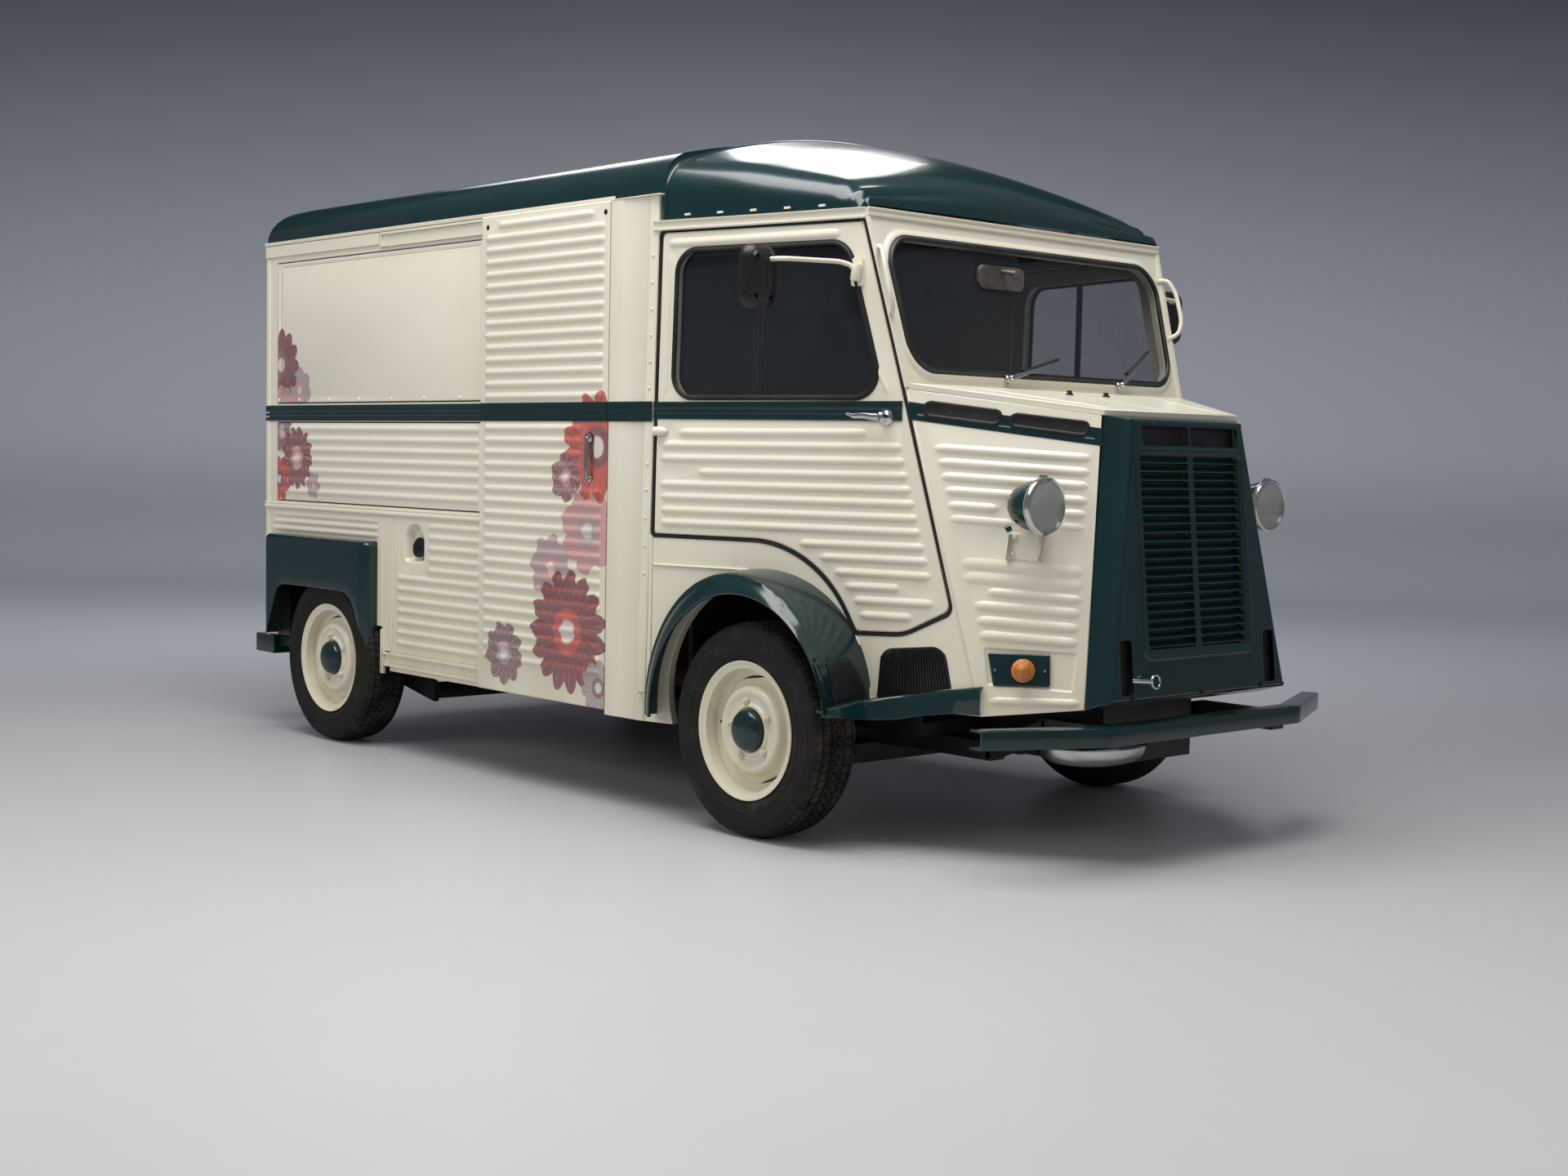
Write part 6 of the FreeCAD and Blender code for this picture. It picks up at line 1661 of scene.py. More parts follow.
def grilleShell():
    plane = shellPlane
    foot = -nosePlane.at((2002, 462)).y
    full = roundedLoop([(-431, 486), (431, 486), (271, 1298), (-271, 1298)], 4, 9)
    # the rear edge follows the front outline, spread to the nose's width
    rear = []
    for point in full:
        share = (point.y - 486) / 812
        spread = (foot + (326 - foot) * share) / (431 - 160 * share)
        rear.append(Vector((2002 - 46 * share, point.x * spread, 462 + 842 * share)))
    rows = [rear]
    for height, inset in ((-24, 0.0), (-14, 0.4), (-7, 2.4), (-2.5, 6.0), (-0.4, 10.5)):
        rows.append(loopOn(plane, insetLoop(full, inset), height))
    face = insetLoop(full, 14.0)
    inner = [[point + (Vector((1980, 0, 900)) - point) * 0.035 for point in row] for row in rows[:2]]
    rows.append([plane.at(point, -0.2) for point in insetLoop(full, 13.8)])
    skin = gridShape([inner[1], inner[0], *rows], False, True)
    (c0, c1), (c2, c3) = shellSizes["columns"]
    z0, z1 = shellSizes["louvres"]
    holes = [rect(c0, c1, z0, z1, 10), rect(c2, c3, z0, z1, 10)]
    holes += [rect(*window, 9) for window in shellSizes["windows"]]
    holes += [rect(*slot, 12) for slot in shellSizes["slots"]]
    x0, x1, f0, f1 = shellSizes["frame"]
    ridge = Pad([(x0, f0), (x1, f0), (x1, f1), (x0, f1)], 34, 4.5, 7)
    sunk = Pad([(x0 + 15, f0 + 15), (x1 - 15, f0 + 15), (x1 - 15, f1 - 15), (x0 + 15, f1 - 15)], 24, -6.5,
               7)
    panel = pressedPanel(plane, face, 4, holes, [ridge, sunk], roll=0)
    finish("grilleFace", panel, "green", hides=["grille_shell"])
    finish("grilleSides", skin, "green", crease=50)
    slats = Shape()
    pitch = (z1 - z0) / shellSizes["slats"]
    for low, high in shellSizes["columns"]:
        middle, wide = (low + high) / 2, high - low + 4
        start = plane.at((middle, z1 - pitch * 0.5), -9)
        step = (plane.at((0, z0), 0) - plane.at((0, z1), 0)) / shellSizes["slats"]
        slats.join(bars("green", start, step, shellSizes["slats"], (22, wide, 3.4), (0, 0.62, 0)))
    finish("grilleSlats", slats, "green", bevel=1.2)
    # black sheets behind every opening: painted shade standing in for the dark inside of the nose
    dark = Shape()
    for low, high in shellSizes["columns"]:
        dark.join(slab(loopOn(plane, rect(low - 6, high + 6, z0 - 6, z1 + 6), -24), -plane.out * 4))
    for window in (*shellSizes["windows"], *shellSizes["slots"]):
        a, b, c, d = window
        dark.join(slab(loopOn(plane, rect(a - 6, b + 6, c - 6, d + 6), -22), -plane.out * 3))
    finish("grilleShadeBacking", dark, "blackMetal")
    clip = tube([plane.at((-322, 548), -4), plane.at((-300, 546), 14), plane.at((-268, 543), 24)], 7, 12)
    ring = [plane.at((-252 + 19 * c, 541 + 19 * s), 25) for c, s in circle(24)]
    clip.join(tube(ring, 3.2, 8, True))
    finish("towClip", clip, "chrome")
    bolts = Shape()
    for y, z in ((-330, 494), (300, 494), (0, 492)):
        bolts.join(spun([(0, 0), (0, 8), (5, 8), (6, 5), (6, 0)], plane.at((y, z + 6), -1), plane.out, 6))
    finish("shellBolts", bolts, "blackMetal")


# Headlamps on stalks, with a bolted bracket on the nose


lampSizes = {"place": (1932.0, -546.0, 1041.0), "flutes": 11}


def headlamps():
    centre = Vector(lampSizes["place"])
    rows = []
    for along, reach in ((-125, 3), (-124, 12), (-119, 24), (-108, 39), (-90, 54), (-66, 66), (-40, 73),
                         (-14, 76), (-4, 77)):
        ring = []
        swell = 0.035 * math.sin(math.pi * min(1, max(0, (along + 125) / 60)))
        for k, (c, s) in enumerate(circle(88)):
            flute = 1.0 + swell * (math.cos(math.tau * k / 88 * lampSizes["flutes"]) ** 2)
            ring.append(centre + Vector((along, reach * flute * c, reach * flute * s)))
        rows.append(ring)
    bowl = lofted(rows)
    finish("lampBowls", bowl.both(), "green", hides=["headlamps"])
    rim = spun([(-14, 74), (-14, 79), (-8, 83.5), (0, 84), (6, 82), (9, 77), (7, 74), (0, 72)], centre,
               (1, 0, 0), 64, True)
    rim.join(block(centre.x - 18, centre.x - 2, centre.y - 9, centre.y + 9, centre.z + 76, centre.z + 88))
    finish("lampRims", rim.both(), "chrome")
    dish = spun([(-2, 74), (-20, 66), (-44, 48), (-58, 26), (-62, 6), (-62, 0), (-64, 0), (-64, 8),
                 (-60, 28), (-46, 51), (-22, 69), (-4, 76)],
                centre, (1, 0, 0), 48)
    finish("lampReflectors", dish.both(), "chrome")
    bulb = spun([(-60, 0), (-60, 11), (-36, 11), (-30, 13), (-20, 12), (-12, 6), (-11, 0)], centre,
                (1, 0, 0), 24)
    finish("lampBulbs", bulb.both(), "amber")
    lens = spun([(5, 74), (10, 68), (17, 50), (22, 28), (24, 8), (24, 0), (20, 0), (20, 8), (18, 28),
                 (13, 50), (6, 67), (1, 74)], centre, (1, 0, 0), 56)
    finish("lampGlasses", lens.both(), "lampGlass", hides=["headlamp_lenses"])
    stalk = tube(curved([centre + Vector((-70, 0, -20)), centre + Vector((-104, 22, -34)),
                         nosePlane.at((1826, 1002), -2)], 24), 15, 16)
    stalk.join(spun([(0, 0), (0, 10), (14, 10), (17, 7), (17, 0)], centre + Vector((-96, -34, -62)),
                    (-0.5, -0.6, -0.4), 12))
    finish("lampStalks", stalk.both(), "green")
    corners = roundedLoop(noseSizes["bracket"], 8)
    plate = pressedPanel(nosePlane.raised(5), corners, 6, roll=1.5, rollWidth=4)
    for x in (1778, 1856):
        plate.join(slab([nosePlane.at((x, 880), 4), nosePlane.at((x + 5, 880), 4),
                         nosePlane.at((x + 5, 955), 4), nosePlane.at((x, 955), 4)],
                        nosePlane.out * 12))
    finish("lampBrackets", plate.both(), "cream")
    bolts = Shape()
    for spot in ((1792, 947), (1845, 941), (1790, 900), (1848, 890)):
        bolts.join(spun([(0, 0), (0, 7), (4, 7), (5, 5), (5, 0)], nosePlane.at(spot, 5), nosePlane.out, 6))
    finish("lampBracketBolts", bolts.both(), "cream")


# Front fenders: lip, rounded shoulder and root, one section for each angle about the wheel


fenderSizes = {
    "hub": (1040.0, 380.0), "lip": (1061.0, 340.0, 413.0, 945.0), "root": (1000.0, 436.0, 388.0, 600.0),
    "outer": (428, 423.6, 420.6, 418.9, 417.3, 415, 411.9, 407.5, 403.9, 402.4, 403.1, 403.3, 400),
    "outerY": 920.0,
    "inner": (448, 447.3, 447.7, 448, 446, 440.3, 431.9, 422.8, 414.4, 407, 399.4, 390, 378),
    "innerY": 880.0,
    "angles": (180.0, 7.0), "rearFootZ": 330.0, "skin": 9.0, "vent": ((9.0, 30.0), (0.36, 0.96, 0.74)),
    "ventSlats": 10,
    "skirt": ((1448.0, -934.0), (1452.0, -880.0), (1440.0, -740.0), (1500.0, -680.0), (1610.0, -650.0),
              (1765.0, -614.0)),
    "skirtTop": ((0, 436), (0.1, 444), (0.36, 455), (0.5, 469), (0.75, 494), (1, 517)),
    "skirtBottom": ((0, 420), (0.1, 414), (0.36, 398), (0.5, 402), (0.65, 420), (0.85, 436), (1, 438)),
}


def spline(values, place):
    # smooth value between evenly spaced ones
    index = max(0, min(len(values) - 2, int(place)))
    t = place - index
    b, c = values[index], values[index + 1]
    a = values[index - 1] if index else b * 2 - c
    d = values[index + 2] if index + 2 < len(values) else c * 2 - b
    first, second, third = c - a, a * 2 - b * 5 + c * 4 - d, (b - c) * 3 + d - a
    return b + first * (0.5 * t) + second * (0.5 * t * t) + third * (0.5 * t ** 3)


def between(table, place):
    for (p0, v0), (p1, v1) in zip(table, table[1:]):
        if place <= p1:
            return v0 + (v1 - v0) * (place - p0) / (p1 - p0)
    return table[-1][1]


def circleReach(angle, circle):
    hubX, hubZ = fenderSizes["hub"]
    offX, offZ = hubX - circle[0], hubZ - circle[1]
    along = offX * math.cos(angle) + offZ * math.sin(angle)
    return -along + math.sqrt(along ** 2 - offX ** 2 - offZ ** 2 + circle[2] ** 2)


def fenderSection(degrees, inset=0.0):
    size = fenderSizes
    angle = math.radians(degrees)
    place = (180 - degrees) / 15
    lip = circleReach(angle, size["lip"])
    knots = [Vector((size["lip"][3] + 12, lip - 46)), Vector((size["lip"][3], lip)),
             Vector((size["outerY"], spline(size["outer"], place))),
             Vector((size["innerY"], spline(size["inner"], place))),
             Vector((size["root"][3], circleReach(angle, size["root"]))),
             Vector((300.0, circleReach(angle, size["root"])))]
    curve = [spline(knots, 1 + step / 40 * 3) for step in range(41)]
    hubX, hubZ = size["hub"]
    points = []
    for index, point in enumerate(curve):
        ahead = curve[min(index + 1, 40)] - curve[max(index - 1, 0)]
        normal = Vector((-ahead.y, ahead.x)).normalized()
        normal = normal if normal.y > 0 or normal.x > 0.5 else -normal
        placed = point - normal * inset
        points.append(Vector((hubX + placed.y * math.cos(angle), -placed.x,
                              hubZ + placed.y * math.sin(angle))))
    kept = []
    for before, after in zip(points, points[1:]):
        gap0, gap1 = sideY(before.x) - before.y, sideY(after.x) - after.y
        if gap0 > 0 >= gap1:
            return [*kept, before, before + (after - before) * (gap0 / (gap0 - gap1))]
        kept.append(before)
    return [*kept, points[-1]]


def resampled(points, count):
    runs = [0.0]
    for a, b in zip(points, points[1:]):
        runs.append(runs[-1] + (b - a).length)
    made, index = [], 0
    for step in range(count):
        want = runs[-1] * step / (count - 1)
        while index < len(runs) - 2 and runs[index + 1] < want:
            index += 1
        share = (want - runs[index]) / max(1e-6, runs[index + 1] - runs[index])
        made.append(points[index] + (points[index + 1] - points[index]) * min(1.0, share))
    return made


def frontFenders():
    size = fenderSizes
    first, last = size["angles"]
    rows = []
    for step in range(61):
        degrees = first + (last - first) * step / 60
        outer = resampled(fenderSection(degrees), 22)
        inner = resampled(fenderSection(degrees, size["skin"]), 22)
        hub = Vector((size["lip"][0], outer[0].y, size["lip"][1]))
        toHub = (hub - outer[0]).normalized()
        lip = [outer[0] + toHub * 5 + Vector((0, 3, 0)), outer[0] + toHub * 5.5 + Vector((0, 9, 0)),
               outer[0] + toHub * 1 + Vector((0, 12, 0))]
        rows.append([*outer[::-1], *lip, *inner[1:]])
    foot = [Vector((point.x, point.y, size["rearFootZ"] + (point.z - rows[0][0].z) * 0.02))
            for point in rows[0]]
    shape = lofted([foot, *rows])
    # skirt that follows the fender's front face, turns and runs on along the cab side
    path = resampled(curved([Vector((*spot, 0)) for spot in size["skirt"]], 60), 37)
    rings = []
    for step, at in enumerate(path):
        share = step / 36
        ahead = (path[min(step + 1, 36)] - path[max(step - 1, 0)]).normalized()
        inward = Vector((-ahead.y, ahead.x, 0))
        top, bottom = between(size["skirtTop"], share), between(size["skirtBottom"], share)
        ring = [(-8, bottom), (-2, top - 12), (0, top - 6), (3, top - 1.5), (8, top), (30, top),
                (30, top - 8), (12, top - 8),
                (7, top - 11), (0, bottom + 3), (8, bottom), (8, bottom - 3), (-6, bottom - 3)]
        rings.append([at + inward * back + Vector((0, 0, z)) for back, z in ring])
    shape.join(lofted(rings))
    finish("fenderSkins", shape.both(), "green", hides=["front_fenders"], crease=40)
    low, high = size["vent"][0]
    near, farLow, farHigh = size["vent"][1]
    patch = []
    for step in range(12):
        section = resampled(fenderSection(low + (high - low) * step / 11, -2.5), 81)
        shrink = 0.05 * max(0.0, abs(step / 11 - 0.5) * 2 - 0.6)
        last = farLow + (farHigh - farLow) * step / 11 - shrink
        patch.append([section[round((near + shrink + (last - near - shrink) * k / 10) * 80)]
                      for k in range(11)])
    vent = thickened(gridShape(patch), 3.0)
    for number in range(size["ventSlats"]):
        vent.join(tube([row[number] for row in patch[1:-1]], 2.4, 6))
    finish("fenderVents", vent.both(), "blackMetal", crease=60)


def thickened(shape, depth):
    # an open sheet given a back and edges, along the average normal of each point
    normals = [Vector() for _ in shape.points]
    for face in shape.faces:
        a, b, c = (shape.points[index] for index in face[:3])
        turn = (b - a).cross(c - a)
        for index in face:
            normals[index] += turn
    count = len(shape.points)
    back = [point - normal.normalized() * depth for point, normal in zip(shape.points, normals)]
    faces = shape.faces + [[count + index for index in reversed(face)] for face in shape.faces]
    faces += [[b, a, count + a, count + b] for a, b in openEdges(shape.faces)]
    return Shape(shape.points + back, faces)


# Rear fenders: a box with rounded upright corners and a soft top edge over each rear wheel


rearFenderSizes = {
    "x": (-1947.0, -1140.0), "outY": 929.0, "rootY": 863.0, "corner": 36.0, "topZ": 806.0, "sheet": 8.0,
    "edge": 22.0,
    # lower edge along the outer face, and down the front return
    "bottom": ((-1947, 392), (-1921, 394), (-1878, 490), (-1840, 570), (-1824, 591), (-1795, 603),
               (-1755, 606), (-1330, 606), (-1290, 602),
               (-1256, 588), (-1229, 566), (-1210, 540), (-1176, 470)),
    "bottomFront": ((0, 470), (0.55, 352), (1, 342)),
}


def rearFenders():
    size = rearFenderSizes
    (x0, x1), out, root, corner, top = size["x"], size["outY"], size["rootY"], size["corner"], size["topZ"]
    spots = [(x0, -root, (-1.0, 0.0), 392.0)]
    for step in range(13):
        angle = math.pi / 2 * step / 12
        c, s = math.cos(angle), math.sin(angle)
        spots.append((x0 + corner * (1 - c), -out + corner * (1 - s), (-c, -s), 393.0))
    along = [x0 + corner + 4 + 12 * k for k in range(17)] + [-1680 + 80 * k for k in range(5)]
    along += [-1320 + 8 * k for k in range(17)]
    spots += [(x, -out, (0.0, -1.0), between(size["bottom"], x))
              for x in along if x0 + corner < x < x1 - corner]
    depth = out - root
    for step in range(13):
        angle = math.pi / 2 * step / 12
        c, s = math.cos(angle), math.sin(angle)
        y = -out + corner * (1 - c)
        share = (0.5 * step / 12 * corner + max(0.0, y + out)) / (depth + corner * 0.5)
        spots.append((x1 - corner * (1 - s), y, (s, -c), between(size["bottomFront"], share)))
    spots += [(x1, -root - 14, (1.0, 0.0), 344.0), (x1, -root, (1.0, 0.0), 342.0)]
    rows = []
    sheet, edge = size["sheet"], size["edge"]
    for x, y, away, bottom in spots:
        away = Vector((*away, 0))
        ring = [(sheet, bottom + 1), (3, bottom - 1), (0.8, bottom + 1), (0, bottom + 5)]
        ring += [(0, bottom + (top - edge - bottom) * share) for share in (0.25, 0.5, 0.75, 1.0)]
        ring += [(edge * (1 - math.cos(math.pi / 2 * k / 6)),
                  top - edge + edge * math.sin(math.pi / 2 * k / 6)) for k in range(1, 7)]
        line = [Vector((x, y, z)) - away * inset for inset, z in ring]
        line += [Vector((min(max(x, x0 + 20), x1 - 20), -root, z)) for z in (top, top - sheet)]
        line += [Vector((x, y, z)) - away * inset
                 for inset, z in ((edge + 6, top - sheet), (sheet + 2, top - edge), (sheet, bottom + 20))]
        rows.append([Vector((p.x, min(p.y, 0.5 - root), p.z)) for p in line])
    shape = lofted(rows)
    finish("rearFenderSkins", shape.both(), "green", hides=["rear_fenders"], crease=60)


# Wheels: tyre with tread blocks, pressed steel rim, studs and a domed cap


wheelSizes = {
    "radius": 331.0, "blocks": 74, "studs": 5, "studCircle": 90.0, "studTurn": 29.0, "slots": (98.0, -66.0),
    "slotHalf": 18.0, "slotDepth": 155.0,
    # bands of tread blocks and shoulder lugs: across, reach, block size, turn of the block, share of a step
    "bands": ((0.0, 327.6, (5.6, 23.0, 11.0), (0.30, 0.0), 0.0),
              (13.8, 327.6, (5.6, 23.0, 9.0), (0.30, 0.0), 0.5),
              (-13.8, 327.6, (5.6, 23.0, 9.0), (-0.30, 0.0), 0.5),
              (42.5, 327.2, (5.6, 23.0, 22.0), (0.30, 0.05), 0.2),
              (-42.5, 327.2, (5.6, 23.0, 22.0), (-0.30, -0.05), 0.7),
              (70.5, 321.6, (5.0, 22.0, 18.0), (0.0, 0.42), 0.0),
              (-70.5, 321.6, (5.0, 22.0, 18.0), (0.0, -0.42), 0.5)),
    "places": {"front_right": (1064.0, -815.0), "front_left": (1064.0, 815.0),
               "rear_right": (-1444.0, -824.0), "rear_left": (-1444.0, 824.0)},
    # half profile from the bead to the groove floor: across, radius
    "tyre": ((55, 198), (67, 198), (74, 207), (79, 217), (84, 226), (88, 238), (90, 246), (92.4, 247.5),
             (92.4, 250), (91, 251.5), (92.6, 262), (92.8, 272), (91.8, 286), (93.0, 288), (93.0, 291),
             (90.6, 293), (89.6, 299), (87, 306), (83, 314), (76, 320), (68, 323.5), (64, 324.6), (62, 319),
             (57, 319), (55, 325), (30, 325.6), (28, 319.5), (21, 319.5), (19, 325.8)),
    "rim": ((84, 214), (83.5, 209), (78, 203), (75, 195), (74, 190), (34, 190), (25, 166), (8, 164),
            (-25, 164), (-34, 190), (-74, 190), (-76, 203), (-82, 206), (-84, 214), (-80, 213), (-73, 204),
            (-68, 196), (-30, 196), (-22, 171), (22, 171), (30, 196), (68, 196), (73, 204), (79, 213)),
    "disc": ((20, 166), (22, 160), (25, 154), (28, 148), (32, 142), (38, 137), (48, 132.5), (56, 129),
             (60, 124.5), (60.5, 119), (57, 112), (53, 104), (52, 98), (52, 83), (54, 80), (58, 77),
             (59, 73), (57, 69), (51, 66), (48.5, 60), (48, 30)),
    "cap": ((47, 0), (47, 62.5), (50, 64.5), (70, 64.5), (77, 63), (84, 58.5), (89.5, 50), (93, 38),
            (95, 22), (95.8, 8), (96, 0)),
}


def wheelPart(profile, x, y, side, steps, closed):
    return spun([(side * along, radius) for along, radius in profile], (x, y, wheelSizes["radius"]),
                (0, 1, 0), steps, closed)


def wheelDisc(x, y, side):
    size = wheelSizes
    steps = 144
    rows = []
    for number, (along, radius) in enumerate(size["disc"]):
        ring = []
        for k, (c, s) in enumerate(circle(steps)):
            # flats cut across the disc's edge leave the two slim openings beside the rim
            reach = radius
            for slot in size["slots"]:
                turned = abs((360.0 * k / steps - slot + 180) % 360 - 180)
                if turned < size["slotHalf"] + 4:
                    flat = size["slotDepth"] * math.cos(math.radians(2))
                    reach = min(reach, flat / math.cos(math.radians(turned)) - number * 2.2)
            ring.append(Vector((x + reach * c, y + side * along, size["radius"] + reach * s)))
        rows.append(ring)
    sheet = gridShape(rows, False, True)
    if side < 0:
        sheet.faces = [face[::-1] for face in sheet.faces]
    sheet.normals = [None] * len(sheet.faces)
    return thickened(sheet, 4.0)


def wheels():
    size = wheelSizes
    radius = size["radius"]
    for place, (x, y) in size["places"].items():
        side = -1 if y < 0 else 1
        body = "wheel_" + place
        half = list(size["tyre"])
        profile = half + [(8, 325.8), (6, 319.5), (-6, 319.5), (-8, 325.8)]
        profile += [(-a, r) for a, r in reversed(half)]
        profile += [(-60, 204), (-70, 240), (-76, 275), (-66, 300), (0, 306), (66, 300), (76, 275),
                    (70, 240), (60, 204)]
        finish("tyre_" + place + "_skin", wheelPart(profile, x, y, side, 120, True), "tyre", body,
               ["tyre_" + place], crease=32)
        blocks = Shape()
        for offset, reach, block, skew, phase in size["bands"]:
            band = grown("treadBand", "tyre", {
                "Count": size["blocks"], "Circle": reach * mm,
                "Block": tuple(value * mm for value in block),
                "Skew": (*skew, 0.0), "Turn": (math.pi / 2, phase * math.tau / size["blocks"], 0.0)},
                         treadBand)
            blocks.join(band.moved(Matrix.Translation((x, y + offset, radius))))
        finish("tread_" + place, blocks, "tyre", body)
        rim = wheelPart(size["rim"], x, y, side, 96, True)
        rim.join(wheelDisc(x, y, side))
        finish("rim_" + place + "_skin", rim, "cream", body, ["rim_" + place], crease=40)
        nuts = grown("wheelNuts", "cream", {
            "Count": size["studs"], "Circle": size["studCircle"] * mm, "Head": 12.0 * mm,
            "Height": 17.0 * mm, "Cap": 7.5 * mm,
            "Lift": (0.0, 0.0, side * -8.5 * mm)}, boltRing)
        turned = Matrix.Rotation(-math.radians(size["studTurn"]), 4, "Y")
        nuts = nuts.moved(Matrix.Translation((x, y + side * 58.0, radius)) @ turned)
        finish("nuts_" + place, nuts, "cream", body)
        finish("cap_" + place, wheelPart(size["cap"], x, y, side, 56, False), "green", body)
        valve = tube([(x - 152, y + side * 22, radius + 10), (x - 149, y + side * 40, radius + 10),
                      (x - 146, y + side * 50, radius + 9)], 4.2, 10)
        finish("valve_" + place, valve, "plastic", body)


# Bumpers and the parts under the nose


bumperSizes = {"end": (1964.0, 822.0), "front": (2130.0, 465.0), "z": (372.0, 427.0)}


def bumperSpot(index, inset):
    (endX, endY), (frontX, frontY) = bumperSizes["end"], bumperSizes["front"]
    across = frontY - inset * 0.35 if index in (1, 2) else endY - inset * 0.2
    along = frontX - inset if index in (1, 2) else endX - inset * 0.9
    return along, -across if index < 2 else across


def bumpers():
    z0, z1 = bumperSizes["z"]
    ring = [(60, z1), (5, z1), (1.6, z1 - 1.2), (0, z1 - 5), (0, z0 + 5), (1.6, z0 + 1.2), (5, z0),
            (60, z0), (60, z0 + 6), (7, z0 + 6),
            (7, z1 - 6), (60, z1 - 6)]
    rows = []
    for index in range(4):
        rows.append([Vector((*bumperSpot(index, inset), z)) for inset, z in ring])
    full = [rows[0]]
    for a, b in zip(rows, rows[1:]):
        full += [[p + (q - p) * share for p, q in zip(a, b)] for share in (0.02, 0.98, 1.0)]
    shape = lofted(full)
    finish("bumperFace", shape, "green", hides=["front_bumper"], crease=30)
    bolts = Shape()
    for y in (-372, -340, 340, 372):
        bolts.join(spun([(0, 0), (0, 9), (4, 9), (7, 6), (8, 0)], (2129, y, 400), (1, 0, 0), 14))
    finish("bumperBolts", bolts.moved(Matrix.Translation((-8.2, 0, 0))), "green")
    arms = Shape()
    for side in (-1, 1):
        low, high = sorted((side * 332.0, side * 398.0))
        for a, b in (((1240, 293), (1620, 293)), ((1600, 293), (1830, 388)), ((1812, 388), (2116, 388))):
            (xa, za), (xb, zb) = a, b
            arms.join(Shape([Vector((x, y, z)) for x, z0 in ((xa, za), (xb, zb)) for y, z in
                             ((low, z0 - 29), (high, z0 - 29), (high, z0 + 29), (low, z0 + 29))],
                            [[0, 1, 2, 3], [7, 6, 5, 4], [1, 0, 4, 5], [2, 1, 5, 6], [3, 2, 6, 7],
                             [0, 3, 7, 4]]))
    finish("bumperArms", arms, "blackMetal", bevel=2.5)
    rear = Shape()
    for side in (-1, 1):
        low, high = sorted((side * 690.0, side * 868.0))
        plan = roundedLoop([(-2129, low), (-1965, low), (-1965, high), (-2129, high)], [14, 3, 3, 14])
        rows = []
        for z, inset in ((300, 4), (302, 1.2), (306, 0), (370, 0), (374, 1.2), (376, 4)):
            rows.append([Vector((p.x, p.y, z)) for p in insetLoop(plan, inset)])
        rear.join(lofted(rows))
    finish("rearBumperBlocks", rear, "green", hides=["rear_bumper"])


panSizes = {
    "centre": (1815.0, -150.0), "half": (132.0, 196.0), "lip": 4.0,
    # height and share of the half sizes, from the lip down
    "rings": ((322, 1.0), (318, 1.02), (300, 0.99), (284, 0.93), (271, 0.80), (262, 0.55), (259, 0.2)),
}


def sumpPan():
    # bright oval pan and the box behind it, low under the nose
    (x, y), (along, across), lip = panSizes["centre"], panSizes["half"], panSizes["lip"]
    pan = lofted([[Vector((x + along * grow * c, y + across * grow * s, z)) for c, s in circle(48)]
                  for z, grow in panSizes["rings"]])
    lip = tube([(x + (along + lip) * c, y + (across + lip) * s, panSizes["rings"][0][0])
                for c, s in circle(48)], lip, 6, True)
    finish("sumpPan", pan.join(lip), "chrome")
    box = block(1560, 1735, -190, 190, 264, 420).join(block(1330, 1560, -150, 150, 282, 420))
    finish("gearCase", box, "blackMetal", bevel=12)


# Back of the body: frame, two doors, window flap, lamps


rearSizes = {
    "open": (660.0, 385.0, 1890.0), "split": 1330.0, "window": (-430.0, 430.0, 1450.0, 1800.0, 60.0),
    "lamp": (760.0, 640.0),
    "ribPitch": 42.5, "ribTop": 1238.0, "ribs": 19,
}


